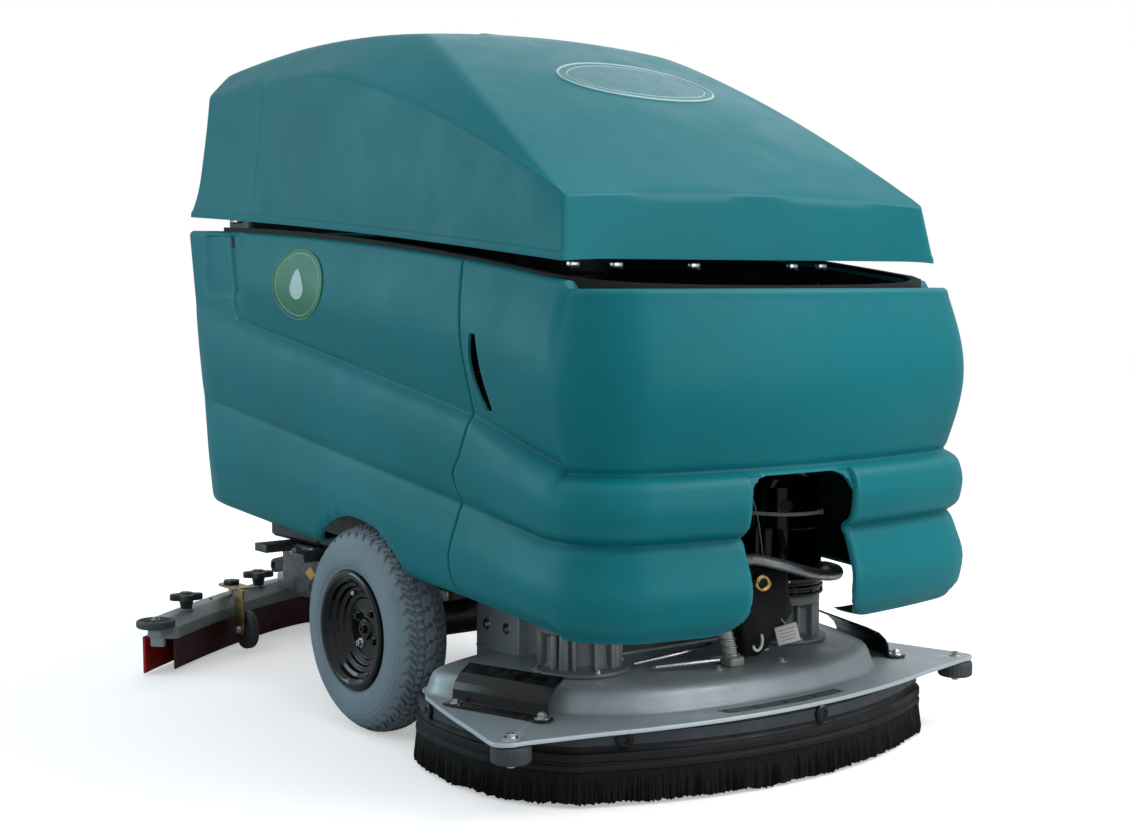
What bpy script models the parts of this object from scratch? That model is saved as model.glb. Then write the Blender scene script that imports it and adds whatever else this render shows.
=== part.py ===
"""Large walk-behind floor scrubber, modelled piece by piece.

Metres, +Z up.  The machine's front faces -Y and its operator stands behind it at +Y.
"right" is the operator's right hand, which is -X.  All dimensions are written with y = 0
over the drive axle; the empty "machine" shifts everything so that the origin is the middle
of the footprint on the floor.
"""
import math

import bpy
import bmesh
from mathutils import Matrix, Vector

for old in list(bpy.data.objects):
    bpy.data.objects.remove(old, do_unlink=True)

# ------------------------------------------------------------------ driving dimensions
Y_SHIFT = -0.100            # drive axle to the middle of the footprint
GAP = 0.0004                # clearance between touching pieces
SIDES = ((-1, "right"), (1, "left"))

WHEEL_R = 0.155             # drive tyre, 4.10/3.50-5 size
TYRE_IN = 0.268             # x of the tyre's inner face
RIM_R = 0.080

BODY_W = 0.335              # half width of the lower body at its grooves
BODY_SKIN = 0.005
CORNER_R = 0.090            # plan radius of the front corners
CORNER_X, CORNER_Y = BODY_W - CORNER_R, -0.493
FRONT_Y = -0.610            # middle of the bowed front
BOW_R = 1.213               # plan radius of the bowed front
BOW_A = math.asin(CORNER_X / (BOW_R - CORNER_R))
REAR_CORNER_R = 0.040
REAR_CORNER_Y = 0.47        # nominal end of the sides
ARCH_R, ARCH_Y = 0.168, 0.010
NOTCH_W, NOTCH_TOP = 0.090, 0.422
NOTCH_X = -0.041            # the notch sits a little right of centre

COVER_W0, COVER_W1 = 0.341, 0.335   # half width of the recovery tank, bottom and crease
COVER_SKIN = 0.005
LID_X, LID_Y0, LID_Y1 = 0.130, 0.120, 0.420
HINGE = (0.352, 0.050, 0.7405)      # middle of the recovery tank's tilt axis
HINGE_SLOPE = 0.088                 # rise of that axis per metre rearward

DECK_Z = 0.103              # top of the deck flange
PLATEAU_Z = 0.135
DECK_SKIN = 0.006
BRUSH_X, BRUSH_Y, BRUSH_R = 0.190, -0.340, 0.178
MOTOR_R, MOTOR_Z0, MOTOR_Z1 = 0.062, 0.206, 0.392
ROLLER_X, ROLLER_Y = 0.4135, -0.4920    # bumper rollers at the deck's front corners

# lift linkage pivots, (y, z)
LINK_UP = 0.050             # upper link sits this far above the lower arm
FRAME_PIVOT = (-0.070, 0.195)
DECK_PIVOT = (-0.240, 0.180)
FRAME_LINK_PIVOT = (FRAME_PIVOT[0], FRAME_PIVOT[1] + LINK_UP)
DECK_LINK_PIVOT = (DECK_PIVOT[0], DECK_PIVOT[1] + LINK_UP)

CASTER_Y, CASTER_TRAIL, CASTER_R = 0.400, 0.030, 0.050
CASTER_AXLE = (0, CASTER_Y + CASTER_TRAIL, CASTER_R)
SQ_PIVOT = (0.445, 0.200)   # squeegee lift pivot (y, z)
SQ_ARM_END = (0.690, 0.142)
SQ_SWING_Y = 0.700

BATTERY = (0.500, 0.168, 0.235)
BATTERY_Z = 0.2360 + GAP    # underside of the batteries
BATTERY_Y0 = -0.052         # front of the foremost battery
BATTERY_YS = [BATTERY_Y0 + (n + 0.5) * (BATTERY[1] + 0.001) for n in range(3)]
TERMINAL_X = 0.205

# ------------------------------------------------------------------ collections, joints
PARTS = bpy.data.collections.new("floor_scrubber")
CUTTERS = bpy.data.collections.new("cutters")
bpy.context.scene.collection.children.link(PARTS)
bpy.context.scene.collection.children.link(CUTTERS)

JOINT_AT = {}
JOINTS = {}


def joint(name, at, parent="machine"):
    """An empty on a joint axis; it carries the pieces of one moving body."""
    empty = bpy.data.objects.new(name, None)
    empty.empty_display_size = 0.03
    PARTS.objects.link(empty)
    base = Vector((0, 0, 0))
    if parent:
        empty.parent = JOINTS[parent]
        base = JOINT_AT[parent]
    empty.location = Vector(at) - base
    JOINTS[name] = empty
    JOINT_AT[name] = Vector(at)


def build_joints():
    joint("machine", (0, 0, 0), parent=None)
    JOINTS["machine"].location = (0, Y_SHIFT, 0)
    joint("chassis_body", (0, 0, 0))
    joint("tank_tilt", HINGE)
    joint("lid_hinge", (0, LID_Y1 + 0.006, 1.052), "tank_tilt")
    joint("shroud_pull", (0, -0.45, 0.45))
    joint("lower_lift", (0, *FRAME_PIVOT))
    joint("deck_level", (0, *DECK_PIVOT), "lower_lift")
    joint("upper_lift", (0, *FRAME_LINK_PIVOT))
    for side, word in SIDES:
        joint(f"drive_{word}", (side * TYRE_IN, 0, WHEEL_R))
        joint(f"brush_{word}_spin", (side * BRUSH_X, BRUSH_Y, 0.08), "deck_level")
        joint(f"bumper_{word}_spin", (side * 0.413, ROLLER_Y, 0.075), "deck_level")
    joint("caster_swivel", (0, CASTER_Y, 0.14))
    joint("caster_roll", CASTER_AXLE, "caster_swivel")
    joint("squeegee_lift", (0, *SQ_PIVOT))
    joint("squeegee_swing", (0, SQ_SWING_Y, 0.14), "squeegee_lift")


# ------------------------------------------------------------------ materials
def material(name, colour, roughness, metallic=0.0):
    mat = bpy.data.materials.new(name)
    mat.use_nodes = True
    shader = mat.node_tree.nodes["Principled BSDF"]
    shader.inputs["Base Color"].default_value = (*colour, 1.0)
    shader.inputs["Roughness"].default_value = roughness
    shader.inputs["Metallic"].default_value = metallic
    mat.diffuse_color = (*colour, 1.0)
    return mat


TEAL = material("teal_moulding", colour=(0.014, 0.150, 0.165), roughness=0.42)
BLACK_STEEL = material("black_painted_steel", colour=(0.012, 0.012, 0.014),
                       roughness=0.45, metallic=0.2)
BLACK_PLASTIC = material("black_plastic", colour=(0.015, 0.015, 0.017), roughness=0.5)
CAST_ALU = material("cast_aluminium", colour=(0.33, 0.36, 0.36), roughness=0.48, metallic=0.8)
BRIGHT = material("bright_steel", colour=(0.62, 0.62, 0.62), roughness=0.3, metallic=1.0)
GREY_TYRE = material("grey_tyre", colour=(0.26, 0.34, 0.39), roughness=0.8)
RIM_BLACK = material("gloss_black_rim", colour=(0.006, 0.006, 0.007), roughness=0.15)
BLACK_RUBBER = material("black_rubber", colour=(0.02, 0.02, 0.022), roughness=0.7)
BRISTLE = material("black_bristle", colour=(0.01, 0.01, 0.011), roughness=0.9)
RED = material("red_blade", colour=(0.30, 0.010, 0.014), roughness=0.5)
ZINC = material("yellow_zinc", colour=(0.42, 0.30, 0.12), roughness=0.4, metallic=0.9)
GREY_HOSE = material("grey_hose", colour=(0.22, 0.24, 0.25), roughness=0.6)
BATTERY_CASE = material("battery_case", colour=(0.03, 0.03, 0.035), roughness=0.55)
RED_PLASTIC = material("red_plastic", colour=(0.55, 0.02, 0.02), roughness=0.35)
GREY_PLASTIC = material("grey_plastic", colour=(0.30, 0.31, 0.32), roughness=0.5)


# ------------------------------------------------------------------ placing and combining
def attach(ob, body, collection):
    """Hang an object, placed in machine coordinates, from the joint of its body."""
    collection.objects.link(ob)
    ob.parent = JOINTS[body]
    ob.location = ob.location - JOINT_AT[body]


def finish(ob, body, mat):
    ob.data.materials.append(mat)
    attach(ob, body, PARTS)


def boolean(ob, operation, body, others):
    for other in others:
        attach(other, body, CUTTERS)
        other.hide_render = True
        other.display_type = "WIRE"
        mod = ob.modifiers.new(operation.lower(), "BOOLEAN")
        mod.operation = operation
        mod.solver = "EXACT"
        mod.object = other


def unite(ob, body, *others):
    boolean(ob, "UNION", body, others)


def cut(ob, body, *others):
    boolean(ob, "DIFFERENCE", body, others)


def solidify(ob, thickness):
    skin = ob.modifiers.new("skin", "SOLIDIFY")
    skin.thickness = thickness
    skin.offset = -1.0
    skin.use_rim = True
    skin.use_even_offset = False


def add_bevel(ob, width):
    bevel = ob.modifiers.new("bevel", "BEVEL")
    bevel.width = width
    bevel.segments = 1
    return bevel


# ------------------------------------------------------------------ basic shapes
# what turns +Z onto the named axis
AXIS_TURN = {"Z": Matrix.Identity(3),
             "X": Matrix.Rotation(math.pi / 2, 3, "Y"),
             "-X": Matrix.Rotation(-math.pi / 2, 3, "Y"),
             "Y": Matrix.Rotation(-math.pi / 2, 3, "X")}
# turns that stand a plate's outline up: its x, y become world x, z or world y, z
FACING_Y = (math.pi / 2, 0, 0)
FACING_X = (math.pi / 2, 0, math.pi / 2)


def smooth_mesh(mesh, angle=35):
    mesh.shade_smooth()
    mesh.set_sharp_from_angle(angle=math.radians(angle))


def mesh_object(name, bm, at=(0, 0, 0), smooth=True):
    mesh = bpy.data.meshes.new(name)
    bm.to_mesh(mesh)
    bm.free()
    if smooth:
        smooth_mesh(mesh)
    ob = bpy.data.objects.new(name, mesh)
    ob.location = at
    return ob


def box(name, at, size, bevel=0.0, turn=(0, 0, 0)):
    bm = bmesh.new()
    bmesh.ops.create_cube(bm, size=1.0)
    bmesh.ops.scale(bm, vec=size, verts=bm.verts)
    ob = mesh_object(name, bm, at, smooth=False)
    ob.rotation_euler = turn
    if bevel:
        add_bevel(ob, bevel)
    return ob


def cylinder(name, at, radius, length, axis="Z", segs=20, bevel=0.0):
    bm = bmesh.new()
    bmesh.ops.create_cone(bm, cap_ends=True, segments=segs, radius1=radius,
                          radius2=radius, depth=length)
    ob = mesh_object(name, bm, at)
    ob.rotation_euler = AXIS_TURN[axis].to_euler()
    if bevel:
        mod = add_bevel(ob, bevel)
        mod.limit_method = "ANGLE"
        mod.angle_limit = math.radians(50)
    return ob


def double_area(ring):
    """Twice the signed area of a closed outline."""
    following = ring[1:] + ring[:1]
    return sum(a[0] * b[1] - b[0] * a[1] for a, b in zip(ring, following))


def lathe(name, at, profile, axis="Z", steps=24, closed=False):
    """profile: (radius, height) pairs; an open one runs from the axis at the top, down its
    outer side, to the axis at the bottom; a closed one is a ring section."""
    points = list(profile)
    if closed and double_area(points) > 0:
        points.reverse()
    count = len(points)
    edges = [(i, i + 1) for i in range(count - 1)]
    if closed:
        edges.append((count - 1, 0))
    mesh = bpy.data.meshes.new(name)
    mesh.from_pydata([(radius, 0.0, z) for radius, z in points], edges, [])
    ob = bpy.data.objects.new(name, mesh)
    ob.location = at
    ob.rotation_euler = AXIS_TURN[axis].to_euler()
    screw = ob.modifiers.new("turn", "SCREW")
    screw.axis = "Z"
    screw.angle = 2 * math.pi
    screw.steps = steps
    screw.render_steps = steps
    screw.use_merge_vertices = True
    screw.merge_threshold = 0.00002
    screw.use_smooth_shade = True
    return ob


def add_polyline(curve, points, cyclic):
    spline = curve.splines.new("POLY")
    spline.points.add(len(points) - 1)
    for target, point in zip(spline.points, points):
        target.co = (*point, 1.0)
    spline.use_cyclic_u = cyclic


def curve_mesh(name, curve):
    """A curve turned into a welded mesh, so that Booleans can use it."""
    source = bpy.data.objects.new(name + "_curve", curve)
    bpy.context.scene.collection.objects.link(source)
    bpy.context.view_layer.update()
    depsgraph = bpy.context.evaluated_depsgraph_get()
    mesh = bpy.data.meshes.new_from_object(source.evaluated_get(depsgraph))
    bpy.data.objects.remove(source, do_unlink=True)
    bm = bmesh.new()
    bm.from_mesh(mesh)
    bmesh.ops.remove_doubles(bm, verts=bm.verts, dist=0.00001)
    bmesh.ops.recalc_face_normals(bm, faces=bm.faces)
    bm.to_mesh(mesh)
    bm.free()
    mesh.name = name
    return bpy.data.objects.new(name, mesh)


def tube(name, points, radius):
    """A round bar with closed ends along straight runs."""
    curve = bpy.data.curves.new(name, "CURVE")
    curve.dimensions = "3D"
    curve.bevel_depth = radius
    curve.bevel_resolution = 2
    curve.use_fill_caps = True
    add_polyline(curve, points, cyclic=False)
    ob = curve_mesh(name, curve)
    smooth_mesh(ob.data, 50)
    return ob


def plate(name, outline, thickness, at=(0, 0, 0), turn=(0, 0, 0), holes=()):
    """A flat outline (a list of x, y) extruded evenly about its plane."""
    curve = bpy.data.curves.new(name, "CURVE")
    curve.dimensions = "2D"
    curve.fill_mode = "BOTH"
    curve.extrude = thickness / 2
    for ring in (outline, *holes):
        add_polyline(curve, [(x, y, 0.0) for x, y in ring], cyclic=True)
    ob = curve_mesh(name, curve)
    ob.location = at
    ob.rotation_euler = turn
    return ob


def circle(radius, count, centre_x):
    angles = [2 * math.pi * i / count for i in range(count)]
    return [(centre_x + radius * math.cos(a), radius * math.sin(a)) for a in angles]


def arc(centre_x, radius, start, end, count):
    """Points on an arc about (centre_x, 0), angles in degrees, both ends included."""
    angles = [math.radians(start + (end - start) * k / count) for k in range(count + 1)]
    return [(centre_x + radius * math.cos(a), radius * math.sin(a)) for a in angles]


def bar(name, start, end, x, thickness, hole, end_radius=0.013):
    """Flat bar in a plane of constant x between two (y, z) eyes, each with a round hole."""
    dy, dz = end[0] - start[0], end[1] - start[1]
    length = math.hypot(dy, dz)
    outline = arc(length, end_radius, -90, 90, 4) + arc(0, end_radius, 90, 270, 4)
    ob = plate(name, outline, thickness, holes=[circle(hole, 8, 0), circle(hole, 8, length)])
    ob.data.transform(Matrix.Translation((x, *start))
                      @ Matrix.Rotation(math.atan2(dz, dy), 4, "X")
                      @ Matrix.Rotation(math.pi / 2, 4, "Z")
                      @ Matrix.Rotation(math.pi / 2, 4, "X"))
    return ob


# ------------------------------------------------------------------ outlines and surfaces
def mirrored(half):
    """A run of points continued by its mirror image in x, back to front."""
    return list(half) + [(-x, *rest) for x, *rest in reversed(half)]


def ring_of(half):
    """A closed outline from a half one whose two ends lie on the middle plane."""
    return list(half) + [(-x, y) for x, y in reversed(half[1:-1])]


def grow(ring, distance):
    """Offset a closed outline outwards, whichever way round it runs."""
    sign = 1 if double_area(ring) > 0 else -1
    out = []
    for i, (x, y) in enumerate(ring):
        before, after = ring[i - 1], ring[(i + 1) % len(ring)]
        tx, ty = after[0] - before[0], after[1] - before[1]
        length = math.hypot(tx, ty)
        out.append((x + sign * ty / length * distance, y - sign * tx / length * distance))
    return out


def grid_faces(bm, rows, close=False):
    """Quads between rows of vertices; close joins each row's last vertex to its first."""
    count = len(rows[0])
    for lower, upper in zip(rows, rows[1:]):
        for i in range(count if close else count - 1):
            j = (i + 1) % count
            bm.faces.new((lower[i], lower[j], upper[j], upper[i]))


def face_towards(bm, index, direction):
    """Flip the whole surface if the face at index looks away from direction."""
    bm.faces.ensure_lookup_table()
    bm.normal_update()
    if bm.faces[index].normal.dot(Vector(direction)) < 0:
        bmesh.ops.reverse_faces(bm, faces=bm.faces)


def ring_wall(name, section, outline):
    """A closed section (offset, z) swept round an outline."""
    bm = bmesh.new()
    rows = [[bm.verts.new((x, y, z)) for x, y in grow(outline, offset)]
            for offset, z in section]
    rows.append(rows[0])
    grid_faces(bm, rows, close=True)
    bmesh.ops.recalc_face_normals(bm, faces=bm.faces)
    return mesh_object(name, bm)


def swept_wall(name, section, path):
    """A closed section (offset to the left of the path, z) swept along an open plan path."""
    bm = bmesh.new()
    rows = []
    for i, (x, y) in enumerate(path):
        before, after = path[max(i - 1, 0)], path[min(i + 1, len(path) - 1)]
        tx, ty = after[0] - before[0], after[1] - before[1]
        length = math.hypot(tx, ty)
        nx, ny = -ty / length, tx / length
        rows.append([bm.verts.new((x + nx * off, y + ny * off, z)) for off, z in section])
    grid_faces(bm, rows, close=True)
    bm.faces.new(rows[0])
    bm.faces.new(rows[-1])
    bmesh.ops.recalc_face_normals(bm, faces=bm.faces)
    return mesh_object(name, bm)


def clamp(value):
    return max(0.0, min(1.0, value))


def ease(start, end, value):
    """Smooth step from 0 at start to 1 at end."""
    t = clamp((value - start) / (end - start))
    return t * t * (3 - 2 * t)


def interpolate(table, value):
    """Straight runs between the stations of a table, held level beyond its ends."""
    if value <= table[0][0]:
        return table[0][1]
    for (a, at_a), (b, at_b) in zip(table, table[1:]):
        if value <= b:
            return at_a + (at_b - at_a) * (value - a) / (b - a)
    return table[-1][1]


# ------------------------------------------------------------------ lower body surfaces
# wavy joint between the front shroud and the solution tank: (z, y)
SEAM = ((0.240, -0.271), (0.290, -0.252), (0.378, -0.272),
        (0.415, -0.258), (0.500, -0.295), (0.700, -0.268))
SEAM_Y = -0.27              # nominal y of that joint
SEAM_GAP = 0.0010           # each part stays this far from it

# rolls of the side: (share of the height between two lines, outward offset)
LOWER_ROLL = ((0.12, 0.0225), (0.42, 0.0275), (0.76, 0.0170))
UPPER_ROLL = ((0.20, 0.0215), (0.50, 0.0255), (0.82, 0.0190))
BELLY_SHARES = (0.19, 0.50, 0.82)
BELLY_DEPTH = 0.0245


def z_top(y):
    t = y + 0.5
    return 0.671 + 0.1475 * t - 0.060 * t * t


def z_bottom(y):
    return 0.236 + 0.0755 * (y + 0.331)


def z_groove_low(y):
    """Level in front, then a straight climb."""
    return 0.343 + 0.14 * max(0.0, y + 0.467)


def z_groove_high(y):
    """A curved climb up to y = -0.276, then a straight one."""
    t = max(0.0, min(y, -0.276) + 0.56)
    return 0.431 + 0.26 * t * t / (t + 0.06) + 0.188 * max(0.0, y + 0.276)


def rear_y(z):
    """The rear wall leans backwards with height."""
    return 0.524 + 0.176 * (z - 0.296)


def body_lines(y):
    """(z, outward offset) of each moulding line at distance y, from the bottom up."""
    full = 1.0 - 0.48 * ease(-0.49, -0.25, y)
    belly = full * (1 - ease(0.29, 0.345, y))
    roll = full * (1 - ease(0.43, 0.50, y))
    bottom, low, high, top = z_bottom(y), z_groove_low(y), z_groove_high(y), z_top(y)
    lines = [(bottom + 0.004, -0.030), (bottom, 0.010 * roll)]
    lines += [(bottom + share * (low - bottom), off * roll) for share, off in LOWER_ROLL]
    lines.append((low, 0.006 * roll))
    lines += [(low + share * (high - low), off * roll) for share, off in UPPER_ROLL]
    lines.append((high, 0.0))
    lines += [(high + share * (top - high),
               BELLY_DEPTH * belly * math.sin(math.pi * share) ** 1.1)
              for share in BELLY_SHARES]
    return lines + [(top - 0.012, 0.001), (top, -0.006), (top - 0.003, -0.030)]


# Each column function gives one column of points on the left side, from bottom to top.
def side_column(y, last_y, seam_gap, end_y):
    """Side column at nominal y; end_y(z) is where the side ends at height z."""
    share = clamp((y - SEAM_Y) / (last_y - SEAM_Y))
    points = []
    for z, offset in body_lines(y):
        seam = interpolate(SEAM, z) + seam_gap
        points.append((BODY_W + offset, seam + share * (end_y(z) - seam), z))
    return points


def tank_column(y):
    return side_column(y, REAR_CORNER_Y, SEAM_GAP, lambda z: rear_y(z) - REAR_CORNER_R)


def shroud_column(y):
    return side_column(y, CORNER_Y, -SEAM_GAP, lambda z: CORNER_Y)


def rear_corner_column(angle):
    points = []
    for z, offset in body_lines(REAR_CORNER_Y + REAR_CORNER_R * math.sin(angle)):
        radius = REAR_CORNER_R + offset
        points.append((BODY_W - REAR_CORNER_R + radius * math.cos(angle),
                       rear_y(z) - REAR_CORNER_R + radius * math.sin(angle), z))
    return points


def rear_middle_column():
    return [(0.0, rear_y(z) + offset, z) for z, offset in body_lines(0.52)]


def front_corner_column(angle):
    return [(CORNER_X + (CORNER_R + offset) * math.cos(angle),
             CORNER_Y - (CORNER_R + offset) * math.sin(angle), z)
            for z, offset in body_lines(-0.56)]


def bow_column(angle):
    return [((BOW_R + offset) * math.sin(angle),
             FRONT_Y + BOW_R - (BOW_R + offset) * math.cos(angle), z)
            for z, offset in body_lines(-0.56)]


def body_shell(name, half):
    """Skin through columns that run from the left seam to the middle, and their mirror."""
    columns = half + [[(-x, y, z) for x, y, z in column] for column in reversed(half[:-1])]
    bm = bmesh.new()
    grid_faces(bm, [[bm.verts.new(p) for p in column] for column in columns])
    face_towards(bm, 8, (1, 0, 0))
    ob = mesh_object(name, bm)
    solidify(ob, BODY_SKIN)
    return ob


def build_solution_tank():
    half = [tank_column(y) for y in (SEAM_Y, -0.12, 0.06, 0.24, 0.345, REAR_CORNER_Y)]
    half += [rear_corner_column(math.radians(a)) for a in (30, 60, 90)]
    half.append(rear_middle_column())
    tank = body_shell("solution_tank", half)
    for side in (-1, 1):
        cut(tank, "chassis_body",
            cylinder(f"arch_cutter_{side}", (side * 0.34, ARCH_Y, WHEEL_R), ARCH_R, 0.16,
                     "X", 28))
    finish(tank, "chassis_body", TEAL)


def notch_outline():
    """Notch in the shroud's lower edge: rounded top corners, flared bottom ones."""
    top_r, flare_r = 0.035, 0.045
    bottom = z_bottom(-0.56)
    flare_x = NOTCH_W + flare_r
    half = [(flare_x, 0.20), (flare_x, bottom - 0.004)]
    for k in range(1, 5):
        a = math.radians(270 - 90 * k / 4)
        half.append((flare_x + flare_r * math.cos(a), bottom + flare_r + flare_r * math.sin(a)))
    for k in range(5):
        a = math.radians(90 * k / 4)
        half.append((NOTCH_W - top_r + top_r * math.cos(a),
                     NOTCH_TOP - top_r + top_r * math.sin(a)))
    return mirrored(half)


def grip_outline():
    """Tapering crescent (y, z) in the side of the shroud: widest near the top."""
    front, back = [], []
    for k in range(7):
        u = k / 6
        z = 0.602 - 0.102 * u
        bend = 0.012 * math.sin(math.pi * u)
        y = -0.312 - 0.026 * u + bend * 0.6
        half_width = 0.0075 * math.sin(math.pi * min(1.0, 0.12 + 0.80 * (1 - u))) + 0.0004
        front.append((y - half_width, z))
        back.append((y + half_width, z))
    return front + back[::-1]


def build_front_shroud():
    half = [shroud_column(y) for y in (SEAM_Y, -0.37, CORNER_Y)]
    half += [front_corner_column((math.pi / 2 - BOW_A) * k / 3) for k in (1, 2, 3)]
    half += [bow_column(BOW_A * k / 2) for k in (1, 0)]
    shroud = body_shell("front_shroud", half)
    cut(shroud, "shroud_pull",
        plate("notch_cutter", notch_outline(), 0.22, (NOTCH_X, -0.60, 0), FACING_Y))
    for side in (-1, 1):
        cut(shroud, "shroud_pull",
            plate(f"grip_cutter_{side}", grip_outline(), 0.05, (side * 0.34, 0, 0), FACING_X))
    finish(shroud, "shroud_pull", TEAL)


# ------------------------------------------------------------------ recovery tank (top cover)
COVER_YS = (-0.485, -0.44, -0.38, -0.31, -0.24, -0.17, -0.10, -0.03, 0.06, 0.17, 0.28, 0.40, 0.50)
FLOOR_UP = 0.004            # the tank's underside lies this far above its lower edge
HINGE_TURN = (math.atan(HINGE_SLOPE) - math.pi / 2, 0, 0)   # +Z onto the hinge axis
WEB_TURN = (math.atan(HINGE_SLOPE), 0, 0)


def cover_z(y):
    """The tank's lower edge."""
    t = y + 0.504
    return 0.694 + 0.1134 * t - 0.0279 * t * t


def side_crease_z(y):
    t = max(0.0, 0.10 - y)
    return (min(0.985, 0.985 - 0.153 * t - 0.327 * t * t)
            - 0.06 * max(0.0, y - 0.33) ** 1.3)


def top_crease(y):
    """x and z of the roof's edge."""
    if y > -0.03:
        return 0.232 + 0.066 * (y + 0.03) / 0.53, 1.046 - 0.255 * (y - 0.17) ** 2
    s = clamp((-0.03 - y) / 0.455)
    return 0.232 + 0.096 * (1 - (1 - s) ** 1.3), 1.036 - 0.257 * (0.65 * s + 0.35 * s * s)


def roof_z(x, y):
    edge_x, edge_z = top_crease(y)
    crown = 0.012 + 0.007 * ease(-0.03, -0.20, y) - 0.010 * ease(-0.30, -0.49, y)
    return edge_z + crown * (1 - (x / edge_x) ** 2)


def cover_rear_y(z):
    return 0.558 - 0.303 * (z - 0.783)


def cover_front_y(z):
    return -0.504 + 0.014 * (z - 0.694) / 0.082


def cover_section(y):
    """Half section (x, z) at station y, from the floor's middle up and over to the roof's."""
    bottom = cover_z(y)
    top_x, top_z = top_crease(y)
    side_x = COVER_W1 - 0.007 * ease(-0.40, -0.49, y)
    side_z = min(side_crease_z(y), top_z)
    points = [(0.0, bottom + FLOOR_UP), (0.30, bottom + FLOOR_UP), (COVER_W0, bottom)]
    for u in (0.34, 0.67):
        points.append((COVER_W0 + (side_x - COVER_W0) * u, bottom + (side_z - bottom) * u))
    points += [(side_x, side_z), (top_x, top_z)]
    for k in (0.70, 0.36, 0.0):
        points.append((top_x * k, roof_z(top_x * k, y)))
    return points


def cover_shell():
    """Sections stretched between the sloping front and rear faces."""
    bm = bmesh.new()
    rows = []
    for y in COVER_YS:
        share = (y - COVER_YS[0]) / (COVER_YS[-1] - COVER_YS[0])
        row = []
        for x, z in ring_of(cover_section(y)):
            front, rear = cover_front_y(z), cover_rear_y(z)
            row.append(bm.verts.new((x, front + (rear - front) * share, z)))
        rows.append(row)
    grid_faces(bm, rows, close=True)
    bm.faces.new(rows[0])
    bm.faces.new(rows[-1])
    # the two creases meet at the front
    bmesh.ops.remove_doubles(bm, verts=bm.verts, dist=0.0008)
    bmesh.ops.recalc_face_normals(bm, faces=bm.faces)
    return mesh_object("recovery_tank", bm)


def hinge_cylinder(name, radius, length, segs, along=0.0):
    """A cylinder on the tank's tilt axis, `along` metres behind its middle."""
    at = (HINGE[0], HINGE[1] + along, HINGE[2] + HINGE_SLOPE * along)
    ob = cylinder(name, at, radius, length, segs=segs)
    ob.rotation_euler = HINGE_TURN
    return ob


def build_recovery_tank():
    tank = cover_shell()
    solidify(tank, COVER_SKIN)
    cut(tank, "tank_tilt",
        box("lid_cutter", (0, (LID_Y0 + LID_Y1) / 2, 1.06), (2 * LID_X, LID_Y1 - LID_Y0, 0.10)))
    # hinge knuckle moulded to the tank's left edge
    knuckle = hinge_cylinder("tank_knuckle", 0.0075, 0.150, 14)
    cut(knuckle, "tank_tilt", hinge_cylinder("knuckle_bore", 0.0040, 0.30, 8))
    unite(tank, "tank_tilt",
          box("tank_knuckle_web", (0.3365, HINGE[1], 0.7498), (0.020, 0.120, 0.0155),
              turn=WEB_TURN),
          knuckle)
    finish(tank, "tank_tilt", TEAL)


def build_tank_lid():
    """Lid that follows the roof, with a latch in front and a hinge knuckle behind."""
    gap, lift = 0.002, 0.0035
    xs = [(-1 + 2 * i / 6) * (LID_X - gap) for i in range(7)]
    ys = [LID_Y0 + gap + (LID_Y1 - LID_Y0 - 2 * gap) * j / 3 for j in range(4)]
    bm = bmesh.new()
    grid_faces(bm, [[bm.verts.new((x, y, roof_z(x, y) + lift)) for x in xs] for y in ys])
    face_towards(bm, 0, (0, 0, 1))
    lid = mesh_object("tank_lid", bm)
    solidify(lid, 0.006)
    unite(lid, "lid_hinge",
          box("lid_latch", (0, LID_Y0 + 0.020, roof_z(0, LID_Y0) + 0.0075),
              (0.060, 0.024, 0.012), 0.003),
          box("lid_knuckle", (0, LID_Y1 - 0.004, roof_z(0, LID_Y1) + 0.006),
              (0.200, 0.016, 0.010), 0.002))
    finish(lid, "lid_hinge", TEAL)


def build_float_shutoff():
    """Collared cylinder standing on the tank's floor."""
    y = 0.20
    foot = cover_z(y) + FLOOR_UP + GAP + 0.004
    profile = [(0.0, 1.020), (0.030, 1.020), (0.030, 0.940), (0.038, 0.935), (0.038, 0.930),
               (0.030, 0.925), (0.030, foot), (0.0, foot)]
    finish(lathe("float_shutoff", (0.0, y, 0.0), profile, steps=16), "tank_tilt", GREY_PLASTIC)


def build_vacuum_motor():
    """Suction fan and motor under the tank's floor."""
    under = cover_z(-0.125) + FLOOR_UP - 0.0006
    # (radius, depth under the floor)
    profile = ((0.0, 0.009), (0.078, 0.009), (0.078, 0.050), (0.060, 0.056), (0.060, 0.120),
               (0.045, 0.138), (0.0, 0.138))
    fan = lathe("vacuum_motor", (0.0, -0.05, 0.0), [(r, under - depth) for r, depth in profile])
    finish(fan, "tank_tilt", BLACK_PLASTIC)


# ------------------------------------------------------------------ frame
# right half of the front hoop's centreline (x, y, z), from its foot up and forward
HOOP_HALF = ((-0.235, -0.078, 0.232), (-0.235, -0.088, 0.34), (-0.235, -0.110, 0.485),
             (-0.235, -0.150, 0.510), (-0.235, -0.480, 0.520), (-0.200, -0.520, 0.520))


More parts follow.
